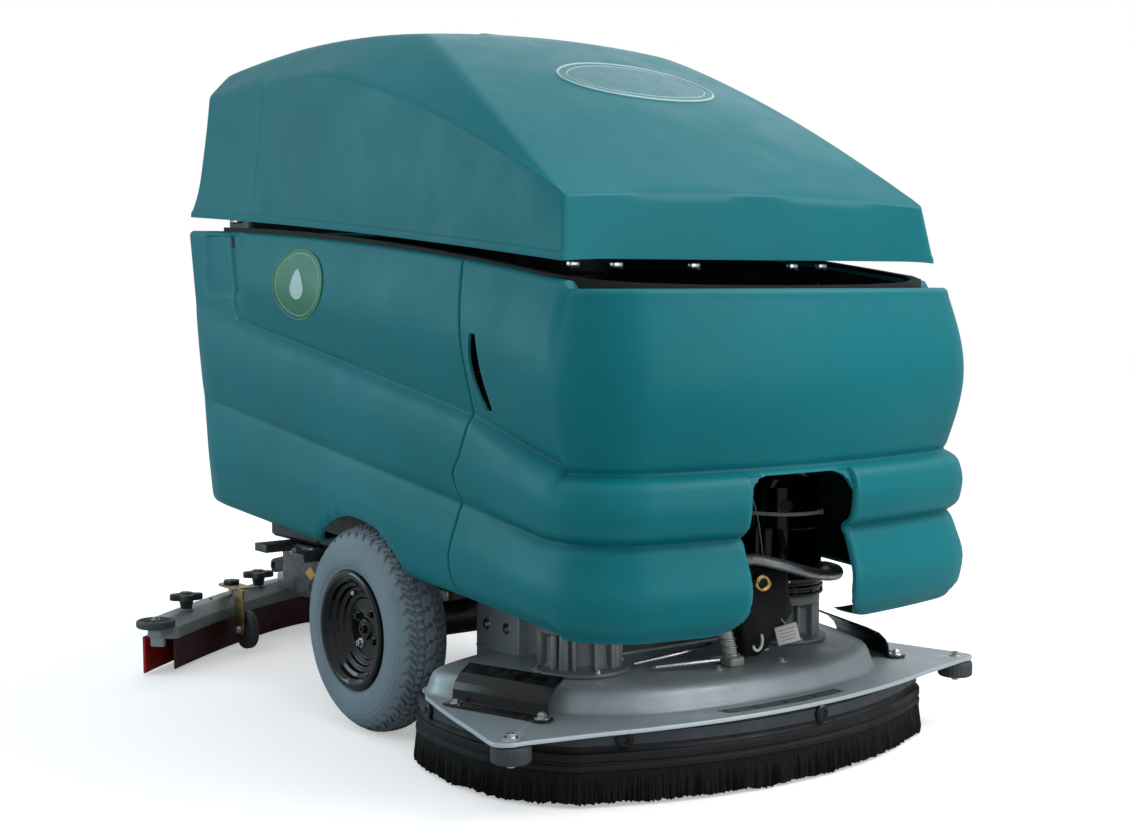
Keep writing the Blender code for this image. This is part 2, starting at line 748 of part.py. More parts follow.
def build_main_frame():
    """Floor plate with rails, lugs, pins, cross members and the front hoop."""
    body = "chassis_body"
    frame = box("main_frame", (0, 0.1875, 0.2275), (0.42, 0.455, 0.016))
    for s in (-1, 1):
        unite(frame, body,
              box(f"rail_{s}", (s * 0.165, 0.16, 0.2150), (0.040, 0.52, 0.040)),
              box(f"lift_lug_{s}", (s * 0.090, FRAME_PIVOT[0] - 0.006, 0.2000),
                  (0.010, 0.056, 0.062)),
              box(f"outrigger_a{s}", (s * 0.240, 0.255, 0.2280), (0.130, 0.040, 0.013)),
              box(f"outrigger_b{s}", (s * 0.240, 0.385, 0.2280), (0.130, 0.040, 0.013)),
              cylinder(f"lift_pin_{s}", (s * 0.098, *FRAME_PIVOT), 0.0065, 0.026, "X", 8),
              box(f"rear_side_{s}", (s * 0.246, 0.330, 0.1925), (0.008, 0.150, 0.083)),
              box(f"squeegee_lug_{s}", (s * 0.106, 0.4300, 0.2000), (0.010, 0.060, 0.036)),
              cylinder(f"squeegee_pin_{s}", (s * 0.116, *SQ_PIVOT), 0.0065, 0.022, "X", 8))
    unite(frame, body,
          box("front_cross", (0, -0.040, 0.2240), (0.34, 0.040, 0.022)),
          box("rear_cross", (0, 0.3980, 0.1940), (0.494, 0.011, 0.082)),
          box("caster_plate", (0, 0.3640, 0.1560), (0.492, 0.146, 0.012)))
    for s in (-1, 1):
        unite(frame, body,
              box(f"jack_pad_{s}", (s * 0.200, 0.3640, 0.1470), (0.060, 0.060, 0.0140)))
    unite(frame, body,
          box("upper_link_lug", (0.0155, -0.0698, 0.2360), (0.010, 0.033, 0.040)),
          cylinder("upper_link_pin", (0.0065, *FRAME_LINK_PIVOT), 0.0050, 0.020, "X", 8),
          box("hoop_foot_r", (-0.225, -0.065, 0.2270), (0.051, 0.070, 0.014)),
          box("hoop_foot_l", (0.225, -0.065, 0.2270), (0.051, 0.070, 0.014)),
          tube("front_hoop", mirrored(HOOP_HALF), 0.012))
    finish(frame, body, BLACK_STEEL)


def build_hinge_rail():
    """Hinge half on the left edge of the lower body: rail, two knuckles and the pin."""
    rail_z = 0.7366
    rail = box("tank_hinge_rail", (0.3340, HINGE[1], rail_z), (0.019, 0.230, 0.0030),
               turn=WEB_TURN)
    for k, along in enumerate((-0.0975, 0.0975)):
        unite(rail, "chassis_body",
              box(f"rail_web_{k}",
                  (0.3470, HINGE[1] + along, rail_z + HINGE_SLOPE * along + 0.0004),
                  (0.012, 0.036, 0.0036), turn=WEB_TURN),
              hinge_cylinder(f"rail_knuckle_{k}", 0.0075, 0.040, 14, along))
    unite(rail, "chassis_body", hinge_cylinder("rail_pin", 0.0034, 0.21, 8))
    finish(rail, "chassis_body", BRIGHT)


# ------------------------------------------------------------------ batteries and cable
def build_batteries():
    """Three batteries one behind the other, each with two terminals and a vent bar."""
    top = BATTERY_Z + BATTERY[2]
    for n, y in enumerate(BATTERY_YS):
        battery = box(f"battery_{n + 1}", (0, y, BATTERY_Z + BATTERY[2] / 2), BATTERY, 0.006)
        for s in (-1, 1):
            unite(battery, "chassis_body",
                  cylinder(f"terminal_{n}_{s}", (s * TERMINAL_X, y, top + 0.006),
                           0.009, 0.018, "Z", 8))
        unite(battery, "chassis_body",
              box(f"vent_bar_{n}", (0, y, top + 0.004), (0.26, 0.05, 0.014)))
        finish(battery, "chassis_body", BATTERY_CASE)


def build_battery_cable():
    """From the front battery's right terminal, across the middle one, to the rear's left."""
    x = TERMINAL_X
    radius = 0.006
    z = BATTERY_Z + BATTERY[2] + 0.015 + 0.0068     # resting on the terminals
    front, middle, rear = BATTERY_YS
    path = [(-x, front, z), (-x, front + 0.03, z + 0.010),
            (-x, middle - 0.03, z + 0.010), (-x, middle, z),
            (0.0, middle + 0.02, z + 0.022),
            (x, middle, z), (x, middle + 0.03, z + 0.010),
            (x, rear - 0.03, z + 0.010), (x, rear, z)]
    finish(tube("battery_cable", path, radius), "chassis_body", RED_PLASTIC)


# ------------------------------------------------------------------ drive
# (radius, distance outwards from the tyre's inner face)
TYRE_SECTION = ((RIM_R + 0.0015, 0.014), (0.108, 0.000), (0.132, 0.005), (0.149, 0.020),
                (WHEEL_R, 0.036), (WHEEL_R, 0.054), (0.149, 0.070), (0.132, 0.085),
                (0.108, 0.090), (RIM_R + 0.0015, 0.0745))
RIM_PROFILE = (
    # outer face: hub, disc, stepped dish and lip
    (0.0, 0.068), (0.016, 0.068), (0.018, 0.062), (0.046, 0.062), (0.056, 0.070),
    (0.066, 0.078), (0.0760, 0.0920), (0.0890, 0.0900),
    # well under the tyre, and the inner lip
    (RIM_R, 0.0765), (RIM_R, 0.0130), (0.0870, 0.0010), (0.0740, 0.0060),
    # inside of the dish, back to the inner end of the hub
    (0.0740, 0.0640), (0.0560, 0.0600), (0.0440, 0.0540), (0.0260, 0.0540),
    (0.0260, -0.0110), (0.0, -0.0110))
# (radius, distance rearwards from its front face)
TRACTION_MOTOR = ((0.0, 0.165), (0.030, 0.165), (0.045, 0.155), (0.045, 0.0), (0.0, 0.0))


def build_transaxle():
    axle = cylinder("drive_transaxle", (0, 0, WHEEL_R), 0.026, 2 * (TYRE_IN - 0.012), "X", 14)
    unite(axle, "chassis_body",
          box("gear_case", (0, 0.0, WHEEL_R), (0.130, 0.100, 0.104), 0.014),
          lathe("traction_motor", (0, 0.045, WHEEL_R), TRACTION_MOTOR, "Y", 16))
    finish(axle, "chassis_body", BLACK_STEEL)


def build_drive_wheel(side, word):
    outwards = "X" if side > 0 else "-X"
    at = (side * TYRE_IN, 0, WHEEL_R)
    tyre = lathe(f"drive_tyre_{word}", at, TYRE_SECTION, outwards, 22, closed=True)
    finish(tyre, f"drive_{word}", GREY_TYRE)
    rim = lathe(f"wheel_rim_{word}", at, RIM_PROFILE, outwards, 16)
    finish(rim, f"drive_{word}", RIM_BLACK)


# ------------------------------------------------------------------ rear caster
# fork leg outline: (y behind the swivel axis, z)
FORK_LEG = ((-0.024, 0.136), (0.030, 0.136), (CASTER_TRAIL + 0.014, 0.060),
            (CASTER_TRAIL + 0.012, 0.040), (CASTER_TRAIL - 0.010, 0.038), (-0.020, 0.110))
CASTER_WHEEL = ((0.0066, -0.020), (0.0066, 0.020), (0.020, 0.020), (0.022, 0.016),
                (0.044, 0.016), (CASTER_R, 0.010), (CASTER_R, -0.010), (0.044, -0.016),
                (0.022, -0.016), (0.020, -0.020))


def build_rear_caster():
    fork = cylinder("rear_caster_fork", (0, CASTER_Y, 0.1405), 0.036, 0.0180, "Z", 14)
    for s in (-1, 1):
        unite(fork, "caster_swivel",
              plate(f"fork_leg_{s}", FORK_LEG, 0.005, (s * 0.026, CASTER_Y, 0), FACING_X))
    unite(fork, "caster_swivel", cylinder("fork_axle", CASTER_AXLE, 0.0060, 0.060, "X", 8))
    finish(fork, "caster_swivel", BRIGHT)
    wheel = lathe("rear_caster_wheel", CASTER_AXLE, CASTER_WHEEL, "X", 14, closed=True)
    finish(wheel, "caster_roll", BLACK_RUBBER)


# ------------------------------------------------------------------ scrub deck
# Half plans (x, y) of the deck, from the middle of its front round the left side to the
# middle of its rear.
SKIRT_R = 0.66              # plan radius of the skirt's front
SKIRT_SIDE = ((0.362, -0.447), (0.384, -0.388), (0.389, -0.325), (0.384, -0.258),
              (0.368, -0.200), (0.346, -0.170), (0.310, -0.163), (0.255, -0.150),
              (0.190, -0.122), (0.110, -0.108), (0.0, -0.104))
# flange behind its bowed front edge, starting with the corner ear
FLANGE_SIDE = ((0.400, -0.515), (0.425, -0.512), (0.441, -0.500), (0.441, -0.480),
               (0.425, -0.420), (0.409, -0.353), (0.392, -0.290), (0.373, -0.230),
               (0.348, -0.178), (0.255, -0.138), (0.150, -0.112), (0.0, -0.108))
# foot of the raised part, point for point with the flange; it widens behind the brackets
PLATEAU = ((0.0, -0.534), (0.075, -0.530), (0.140, -0.520), (0.195, -0.505), (0.240, -0.483),
           (0.275, -0.455), (0.297, -0.425), (0.312, -0.395), (0.324, -0.360), (0.333, -0.325),
           (0.343, -0.292), (0.362, -0.262), (0.366, -0.226), (0.340, -0.188), (0.250, -0.150),
           (0.148, -0.126), (0.0, -0.122))
# wall sections: (offset outwards from the skirt's outline, z)
BAND_SECTION = ((0.0, 0.046), (0.0, 0.066), (-0.006, 0.070), (-0.006, 0.0965),
                (-0.018, 0.0965), (-0.018, 0.046))
BRISTLE_SECTION = ((-0.0175, 0.0455), (-0.001, 0.0455), (0.002, 0.004), (-0.0155, 0.004))


def skirt_outline():
    """A wide front arc, then the side that closes in ahead of the drive tyre."""
    front = []
    for k in range(7):
        x = 0.325 * k / 6
        front.append((x, -0.586 + SKIRT_R - math.sqrt(SKIRT_R ** 2 - x * x)))
    return ring_of(front + list(SKIRT_SIDE))


def build_skirt():
    outline = skirt_outline()
    finish(ring_wall("skirt_band", BAND_SECTION, outline), "deck_level", BLACK_RUBBER)
    finish(ring_wall("skirt_bristles", BRISTLE_SECTION, outline), "deck_level", BRISTLE)


def flange_half():
    xs = [0.300 * k / 4 for k in range(5)]
    return [(x, -0.582 + 0.50 * x * x) for x in xs] + list(FLANGE_SIDE)


def plateau_half(inset):
    """The raised part drawn in by inset, with its ends kept on the middle plane."""
    half = grow(ring_of(PLATEAU), -inset)[:len(PLATEAU)]
    inner = [(max(x, 0.0), y) for x, y in half[1:-1]]
    return [(0.0, half[0][1]), *inner, (0.0, half[-1][1])]


def deck_shell():
    rings = [(flange_half(), DECK_Z), (plateau_half(0.0), DECK_Z + 0.001),
             (plateau_half(0.009), DECK_Z + 0.014), (plateau_half(0.014), PLATEAU_Z - 0.006),
             (plateau_half(0.026), PLATEAU_Z)]
    bm = bmesh.new()
    rows = [[bm.verts.new((x, y, z)) for x, y in ring_of(half)] for half, z in rings]
    grid_faces(bm, rows, close=True)
    bm.faces.new(rows[-1])
    bmesh.ops.recalc_face_normals(bm, faces=bm.faces)
    face_towards(bm, 0, (0, 0, 1))
    return mesh_object("scrub_deck", bm)


def build_scrub_deck():
    """Cast shell with lift lugs, side plates and a post for the upper link."""
    body = "deck_level"
    deck = deck_shell()
    solidify(deck, DECK_SKIN)
    for s in (-1, 1):
        unite(deck, body,
              box(f"deck_lug_{s}", (s * 0.1100, DECK_PIVOT[0], 0.1620), (0.010, 0.036, 0.062)),
              cylinder(f"deck_pin_{s}", (s * 0.1010, *DECK_PIVOT), 0.0065, 0.026, "X", 8),
              box(f"deck_side_plate_{s}", (s * 0.202, -0.1650, 0.1530), (0.012, 0.108, 0.106)))
        cut(deck, body,
            cylinder(f"ear_hole_{s}", (s * ROLLER_X, ROLLER_Y, 0.10), 0.0066, 0.05, "Z", 10),
            cylinder(f"shaft_hole_{s}", (s * BRUSH_X, BRUSH_Y, 0.13), 0.020, 0.05, "Z", 12))
    unite(deck, body,
          box("link_post", (-0.0125, DECK_PIVOT[0], 0.1860), (0.010, 0.030, 0.112)),
          cylinder("link_post_pin", (-0.0050, *DECK_LINK_PIVOT), 0.0050, 0.020, "X", 8))
    finish(deck, body, CAST_ALU)


# ------------------------------------------------------------------ deck lift
ARM_THICKNESS, ARM_HOLE = 0.0076, 0.0075    # bars of the deck's and the squeegee's arms
# (radius, distance rearwards from the axle)
ACTUATOR = ((0.0, 0.300), (0.016, 0.300), (0.020, 0.294), (0.020, 0.100), (0.010, 0.094),
            (0.010, 0.060), (0.0, 0.060))


def build_lower_lift_arm():
    """Two bars joined by a cross tube, between the frame's lugs and the deck's lugs."""
    bar_x = 0.0990
    middle = [(a + b) / 2 for a, b in zip(FRAME_PIVOT, DECK_PIVOT)]
    arm = bar("lower_lift_arm", FRAME_PIVOT, DECK_PIVOT, -bar_x, ARM_THICKNESS, ARM_HOLE)
    unite(arm, "lower_lift",
          bar("arm_bar_left", FRAME_PIVOT, DECK_PIVOT, bar_x, ARM_THICKNESS, ARM_HOLE),
          cylinder("arm_tube", (0, *middle), 0.010, 2 * bar_x, "X", 10))
    finish(arm, "lower_lift", BLACK_STEEL)


def build_upper_lift_link():
    link = bar("upper_lift_link", FRAME_LINK_PIVOT, DECK_LINK_PIVOT, 0.0030, 0.0120, 0.0062,
               end_radius=0.0115)
    finish(link, "upper_lift", BLACK_STEEL)


def build_lift_actuator():
    """Cylinder with a rod at its front, lying to the right of the traction motor."""
    actuator = lathe("lift_actuator", (-0.080, 0.0, 0.1840), ACTUATOR, "Y", 16)
    finish(actuator, "chassis_body", BRIGHT)


# ------------------------------------------------------------------ brush drives
GEARBOX = ((0.0, MOTOR_Z0 - GAP), (0.060, MOTOR_Z0 - GAP), (0.060, 0.192), (0.052, 0.188),
           (0.052, PLATEAU_Z + 0.012), (0.070, PLATEAU_Z + 0.006), (0.070, PLATEAU_Z + GAP),
           (0.0, PLATEAU_Z + GAP))
BRUSH_MOTOR = ((0.0, MOTOR_Z1), (0.036, MOTOR_Z1), (0.054, MOTOR_Z1 - 0.012),
               (0.060, MOTOR_Z1 - 0.022), (0.060, 0.236), (MOTOR_R, 0.234),
               (MOTOR_R, MOTOR_Z0), (0.0, MOTOR_Z0))
DISC_BRUSH = ((0.0, 0.130), (0.018, 0.130), (0.018, 0.084), (0.050, 0.080), (0.070, 0.056),
              (BRUSH_R - 0.006, 0.054), (BRUSH_R - 0.004, 0.036), (BRUSH_R, 0.003),
              (0.060, 0.003), (0.056, 0.034), (0.0, 0.034))
BUMPER_ROLLER = ((0.0, 0.1100), (0.0095, 0.1100), (0.0095, 0.1036), (0.0060, 0.1034),
                 (0.0060, 0.0962), (0.0225, 0.0960), (0.0260, 0.0930), (0.0260, 0.0755),
                 (0.0225, 0.0725), (0.0090, 0.0720), (0.0090, 0.0670), (0.0, 0.0670))
# section of the left bracket: (x, height above its foot)
BRACKET = ((0.0, 0.0), (0.026, 0.0), (0.026, 0.0028), (0.0046, 0.0028), (0.0030, 0.0190),
           (-0.0030, 0.0290), (-0.0150, 0.0395), (-0.0330, 0.0480), (-0.0345, 0.0455),
           (-0.0170, 0.0370), (-0.0058, 0.0270), (0.0, 0.0180))


def build_brush_gearbox(side, word):
    x = side * BRUSH_X
    gearbox = lathe(f"brush_gearbox_{word}", (x, BRUSH_Y, 0), GEARBOX, steps=16)
    rib_r = 0.056
    for k in range(4):
        angle = math.radians(90 * k + 45)
        at = (x + rib_r * math.cos(angle), BRUSH_Y + rib_r * math.sin(angle), 0.166)
        unite(gearbox, "deck_level",
              box(f"rib_{word}_{k}", at, (0.018, 0.005, 0.052), turn=(0, 0, angle)))
    finish(gearbox, "deck_level", CAST_ALU)


def build_brush_motor(side, word):
    motor = lathe(f"brush_motor_{word}", (side * BRUSH_X, BRUSH_Y, 0), BRUSH_MOTOR, steps=20)
    finish(motor, "deck_level", BLACK_PLASTIC)


def build_disc_brush(side, word):
    brush = lathe(f"disc_brush_{word}", (side * BRUSH_X, BRUSH_Y, 0), DISC_BRUSH, steps=18)
    finish(brush, f"brush_{word}_spin", BRISTLE)


def build_bumper_roller(side, word):
    roller = lathe(f"bumper_roller_{word}", (side * ROLLER_X, ROLLER_Y, 0), BUMPER_ROLLER,
                   steps=12)
    finish(roller, f"bumper_{word}_spin", BLACK_RUBBER)


def build_skirt_bracket(side, word):
    """Bent bracket standing on the flange."""
    bracket = plate(f"skirt_bracket_{word}", BRACKET, 0.160)
    bracket.data.transform(Matrix.Rotation(math.pi / 2, 4, "X"))
    if side < 0:
        bracket.data.transform(Matrix.Scale(-1, 4, (1, 0, 0)))
        bracket.data.flip_normals()     # mirroring turned them inwards
    bracket.rotation_euler = (0, 0, side * math.radians(-17))
    bracket.location = (side * 0.3400, -0.3650, DECK_Z + 0.0014)
    finish(bracket, "deck_level", BLACK_STEEL)


def build_motor_conduit():
    """Conduit between the two brush motors, bowed out in front of them."""
    path = []
    for k in range(13):
        u = k / 12
        bow = 0.030 * math.sin(math.pi * u) ** 0.7
        path.append((-BRUSH_X + 2 * BRUSH_X * u, BRUSH_Y - MOTOR_R - 0.0105 - bow,
                     0.258 + 0.010 * math.sin(2 * math.pi * u)))
    finish(tube("motor_conduit", path, 0.0085), "deck_level", GREY_HOSE)


# ------------------------------------------------------------------ squeegee
# wall sections: (offset rearwards from the squeegee's curve, z)
SQ_FRAME_SECTION = ((-0.034, 0.060), (-0.034, 0.080), (-0.016, 0.096), (0.010, 0.096),
                    (0.0150, 0.072), (0.0150, 0.058), (-0.020, 0.058))
SQ_BLADE_SECTION = ((0.0155, 0.002), (0.0200, 0.002), (0.0200, 0.066), (0.0155, 0.066))
KNOB_XS = {"outer": 0.335, "inner": 0.120}
TIP_ROLLER_X, TIP_ROLLER_Y = 0.428, 0.532
TIP_ROLLER = ((0.0, 0.1030), (0.006, 0.1030), (0.006, 0.0990), (0.0300, 0.0985),
              (0.0330, 0.0955), (0.0330, 0.0890), (0.0300, 0.0860), (0.0, 0.0855))
SQ_WHEEL_X, SQ_WHEEL_Y, SQ_WHEEL_Z = 0.205, 0.636, 0.040
SQ_WHEEL = ((0.0052, -0.009), (0.0052, 0.009), (0.030, 0.009), (0.035, 0.006),
            (0.035, -0.006), (0.030, -0.009))


def sq_y(x):
    """The squeegee's curve in plan; its ends sweep forward."""
    return 0.815 - 0.261 * (abs(x) / 0.42) ** 1.35


def sq_path(end_x):
    xs = [end_x * (2 * k / 14 - 1) for k in range(15)]
    return [(x, sq_y(x)) for x in xs]


def build_squeegee_frame():
    body = "squeegee_swing"
    frame = swept_wall("squeegee_frame", SQ_FRAME_SECTION, sq_path(0.405))
    unite(frame, body,
          box("squeegee_block", (0, 0.757, 0.096), (0.120, 0.080, 0.032), 0.005),
          cylinder("suction_neck", (0, 0.782, 0.130), 0.024, 0.050, "Z", 16),
          cylinder("swing_post", (0, SQ_SWING_Y + 0.002, 0.1120), 0.014, 0.024, "Z", 10),
          box("swing_tongue", (0, 0.722, 0.1020), (0.040, 0.050, 0.012)))
    for side, word in SIDES:
        unite(frame, body,
              box(f"tip_arm_{word}", (side * 0.411, 0.5470, 0.0760), (0.060, 0.026, 0.014),
                  turn=(0, 0, side * math.radians(-42))))
    finish(frame, body, CAST_ALU)


def build_squeegee_blade():
    finish(swept_wall("squeegee_blade", SQ_BLADE_SECTION, sq_path(0.425)),
           "squeegee_swing", RED)


def star_points(radius, count, depth):
    points = []
    for k in range(2 * count):
        r = radius - depth * (k % 2)
        points.append((r * math.cos(math.pi * k / count), r * math.sin(math.pi * k / count)))
    return points


def build_star_knobs(side, word):
    for where, knob_x in KNOB_XS.items():
        x, y = side * knob_x, sq_y(knob_x) - 0.012
        body = f"knob_{where}_{word}_turn"
        joint(body, (x, y, 0.12), "squeegee_swing")
        knob = plate(f"star_knob_{where}_{word}", star_points(0.029, 4, 0.011), 0.012,
                     (x, y, 0.1170))
        unite(knob, body,
              cylinder(f"knob_hub_{where}_{word}", (x, y, 0.1110), 0.011, 0.0285, "Z", 8))
        finish(knob, body, BLACK_PLASTIC)


def build_tip_roller(side, word):
    """Flat roller at the end of the squeegee."""
    x, y = side * TIP_ROLLER_X, TIP_ROLLER_Y
    body = f"tip_roller_{word}_spin"
    joint(body, (x, y, 0.09), "squeegee_swing")
    finish(lathe(f"tip_roller_{word}", (x, y, 0), TIP_ROLLER, steps=16), body, BLACK_RUBBER)


def build_squeegee_wheel(side, word):
    """Zinc bracket with its upright wheel."""
    x, y, z = side * SQ_WHEEL_X, SQ_WHEEL_Y, SQ_WHEEL_Z
    bracket = box(f"wheel_bracket_{word}", (x + side * 0.0145, y, 0.0720),
                  (0.004, 0.032, 0.086))
    unite(bracket, "squeegee_swing",
          box(f"bracket_foot_{word}", (x + side * 0.001, y + 0.046, 0.1130),
              (0.036, 0.076, 0.004)),
          cylinder(f"bracket_pin_{word}", (x, y, z), 0.0045, 0.032, "X", 8),
          cylinder(f"bracket_stud_{word}", (x, y + 0.060, 0.1045), 0.006, 0.0160, "Z", 8))
    finish(bracket, "squeegee_swing", ZINC)
    body = f"squeegee_wheel_{word}_spin"
    joint(body, (x, y, z), "squeegee_swing")
    wheel = lathe(f"squeegee_wheel_{word}", (x, y, z), SQ_WHEEL, "X", 16, closed=True)
    finish(wheel, body, BLACK_RUBBER)


def build_squeegee_arm():
    """Two bars and a cross plate that carries the swing pivot."""
    bar_x = 0.1175
    arm = bar("squeegee_arm", SQ_PIVOT, SQ_ARM_END, -bar_x, ARM_THICKNESS, ARM_HOLE)
    unite(arm, "squeegee_lift",
          bar("sq_bar_left", SQ_PIVOT, SQ_ARM_END, bar_x, ARM_THICKNESS, ARM_HOLE),
          box("sq_cross", (0, SQ_ARM_END[0], 0.1400), (2 * bar_x, 0.036, 0.0100)),
          cylinder("sq_pivot_boss", (0, SQ_SWING_Y, 0.1330), 0.016, 0.0170, "Z", 12))
    finish(arm, "squeegee_lift", BLACK_STEEL)


# ------------------------------------------------------------------ console and controls
CONSOLE_Y = 0.6580
PANEL_TOP = 0.9505
KEY_X, BUTTON_X, KNOB_X, STOP_X = -0.140, -0.070, 0.010, 0.115
# holes in the panel: (name, x, radius)
PANEL_HOLES = (("hole_key_switch", KEY_X, 0.0085), ("hole_push_button", BUTTON_X, 0.0108),
               ("hole_speed_knob", KNOB_X, 0.0065), ("hole_emergency_stop", STOP_X, 0.0090))
SPEED_KNOB = ((0.0, 0.9720), (0.012, 0.9720), (0.015, 0.9690), (0.017, PANEL_TOP + 0.0006),
              (0.0058, PANEL_TOP + 0.0005), (0.0058, 0.9430), (0.0, 0.9430))
STOP_BUTTON = ((0.0, 0.9780), (0.012, 0.9770), (0.019, 0.9720), (0.019, 0.9650),
               (0.0082, 0.9630), (0.0082, 0.9469), (0.0, 0.9469))


def build_console():
    console = box("console_housing", (0, CONSOLE_Y, 0.8150), (0.400, 0.092, 0.250), 0.014)
    unite(console, "chassis_body",
          box("console_leg", (0, 0.6390, 0.6200), (0.240, 0.050, 0.170), 0.008))
    finish(console, "chassis_body", BLACK_PLASTIC)


def build_control_panel():
    panel = box("control_panel", (0, CONSOLE_Y, 0.9455), (0.360, 0.080, 0.0100))
    for name, x, radius in PANEL_HOLES:
        cut(panel, "chassis_body",
            cylinder(name, (x, CONSOLE_Y, 0.9480), radius, 0.0110, "Z", 12))
    finish(panel, "chassis_body", GREY_PLASTIC)


def build_key_switch():
    joint("key_turn", (KEY_X, CONSOLE_Y, 0.95))
    key = cylinder("key_switch", (KEY_X, CONSOLE_Y, 0.9487), 0.0078, 0.0118, "Z", 12)
    unite(key, "key_turn",
          box("key_blade", (KEY_X, CONSOLE_Y, 0.9650), (0.003, 0.014, 0.026)),
          cylinder("key_bow", (KEY_X, CONSOLE_Y, 0.9780), 0.011, 0.003, "X", 8))
    finish(key, "key_turn", BRIGHT)


def build_push_button():
    joint("button_push", (BUTTON_X, CONSOLE_Y, 0.95))
    button = cylinder("push_button", (BUTTON_X, CONSOLE_Y, 0.9494), 0.0100, 0.0090, "Z", 14,
                      bevel=0.0012)
    finish(button, "button_push", GREY_PLASTIC)


def build_speed_knob():
    joint("knob_turn", (KNOB_X, CONSOLE_Y, 0.95))
    knob = lathe("speed_knob", (KNOB_X, CONSOLE_Y, 0), SPEED_KNOB, steps=16)
    finish(knob, "knob_turn", BLACK_PLASTIC)


def build_emergency_stop():
    joint("stop_push", (STOP_X, CONSOLE_Y, 0.95))
    stop = lathe("emergency_stop", (STOP_X, CONSOLE_Y, 0), STOP_BUTTON, steps=16)
    finish(stop, "stop_push", RED_PLASTIC)


# ------------------------------------------------------------------ handle, bail and hoses
# centrelines (x, y, z); the first two are right halves, completed by their mirror image
HANDLE_HALF = ((-0.185, 0.7046, 0.850), (-0.185, 0.722, 0.850), (-0.185, 0.738, 0.868),
               (-0.185, 0.757, 0.905), (-0.165, 0.766, 0.920))
BAIL_PIVOT = (0.718, 0.780)     # (y, z)
BAIL_HALF = ((-0.150, *BAIL_PIVOT), (-0.150, 0.758, 0.794), (-0.140, 0.766, 0.797))
SQUEEGEE_HOSE = ((0.060, 0.690, 0.660), (0.060, 0.702, 0.600), (0.056, 0.716, 0.480),
                 (0.040, 0.744, 0.340), (0.008, 0.780, 0.250), (0.0, 0.782, 0.210),
                 (0.0, 0.782, 0.1600))
DRAIN_HOSE = ((0.170, 0.690, 0.660), (0.172, 0.694, 0.600), (0.175, 0.688, 0.480),
              (0.180, 0.670, 0.380), (0.182, 0.650, 0.340))


def build_handle():
    finish(tube("steering_handle", mirrored(HANDLE_HALF), 0.013), "chassis_body", BLACK_STEEL)


def build_drive_bail():
    joint("bail_hinge", (0, *BAIL_PIVOT))
    finish(tube("drive_bail", mirrored(BAIL_HALF), 0.007), "bail_hinge", BLACK_PLASTIC)


def build_hoses():
    finish(tube("squeegee_hose", SQUEEGEE_HOSE, 0.019), "chassis_body", GREY_HOSE)
    finish(tube("drain_hose", DRAIN_HOSE, 0.018), "chassis_body", BLACK_RUBBER)


# ------------------------------------------------------------------ the whole machine
SINGLE_PIECES = (
    build_solution_tank, build_front_shroud,
    build_recovery_tank, build_tank_lid, build_float_shutoff, build_vacuum_motor,
    build_main_frame, build_hinge_rail, build_batteries, build_battery_cable,
    build_transaxle, build_rear_caster,
    build_skirt, build_scrub_deck,
    build_lower_lift_arm, build_upper_lift_link, build_lift_actuator, build_motor_conduit,
    build_squeegee_frame, build_squeegee_blade, build_squeegee_arm,
    build_console, build_control_panel,
    build_key_switch, build_push_button, build_speed_knob, build_emergency_stop,
    build_handle, build_drive_bail, build_hoses)
PAIRED_PIECES = (
    build_drive_wheel,
    build_brush_gearbox, build_brush_motor, build_disc_brush,
    build_bumper_roller, build_skirt_bracket,
    build_star_knobs, build_tip_roller, build_squeegee_wheel)

build_joints()
for build in SINGLE_PIECES:
    build()
for build in PAIRED_PIECES:
    for side, word in SIDES:
        build(side, word)
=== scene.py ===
"""Walk-behind floor scrubber: bodywork, scrub deck, wheels, squeegee and console.

Metres, +Z up. The front faces -Y, the operator stands at +Y and the operator's right is -X.
Shapes are drawn with y = 0 over the drive axle; piece() carries them into the CAD frame.
"""

import math
from contextlib import contextmanager
from functools import cache

import bpy
import bmesh
import numpy as np
from mathutils import Matrix, Vector
from mathutils.bvhtree import BVHTree

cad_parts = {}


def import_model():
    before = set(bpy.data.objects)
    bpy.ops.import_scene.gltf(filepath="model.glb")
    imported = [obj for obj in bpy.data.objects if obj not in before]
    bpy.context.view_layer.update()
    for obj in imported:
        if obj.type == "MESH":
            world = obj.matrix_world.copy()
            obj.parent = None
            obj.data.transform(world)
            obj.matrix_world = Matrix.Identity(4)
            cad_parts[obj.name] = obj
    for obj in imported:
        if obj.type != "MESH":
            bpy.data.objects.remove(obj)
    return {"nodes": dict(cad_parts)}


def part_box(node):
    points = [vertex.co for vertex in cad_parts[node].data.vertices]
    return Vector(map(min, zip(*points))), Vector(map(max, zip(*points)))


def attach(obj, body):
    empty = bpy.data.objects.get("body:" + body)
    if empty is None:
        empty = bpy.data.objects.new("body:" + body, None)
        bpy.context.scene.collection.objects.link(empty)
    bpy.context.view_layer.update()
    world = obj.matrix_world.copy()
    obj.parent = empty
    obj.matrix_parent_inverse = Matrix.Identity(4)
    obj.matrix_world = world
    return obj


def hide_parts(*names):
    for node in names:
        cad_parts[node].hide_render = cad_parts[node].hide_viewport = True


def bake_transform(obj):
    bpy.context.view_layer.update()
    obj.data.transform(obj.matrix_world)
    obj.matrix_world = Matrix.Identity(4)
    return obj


CAD_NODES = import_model()["nodes"]
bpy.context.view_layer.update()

tyre_low, tyre_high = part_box("drive_tyre_left")
AXLE_Y = (tyre_low.y + tyre_high.y) / 2
WHEEL_R = (tyre_high.z - tyre_low.z) / 2
TYRE_IN = tyre_low.x                    # inner face of the left tyre

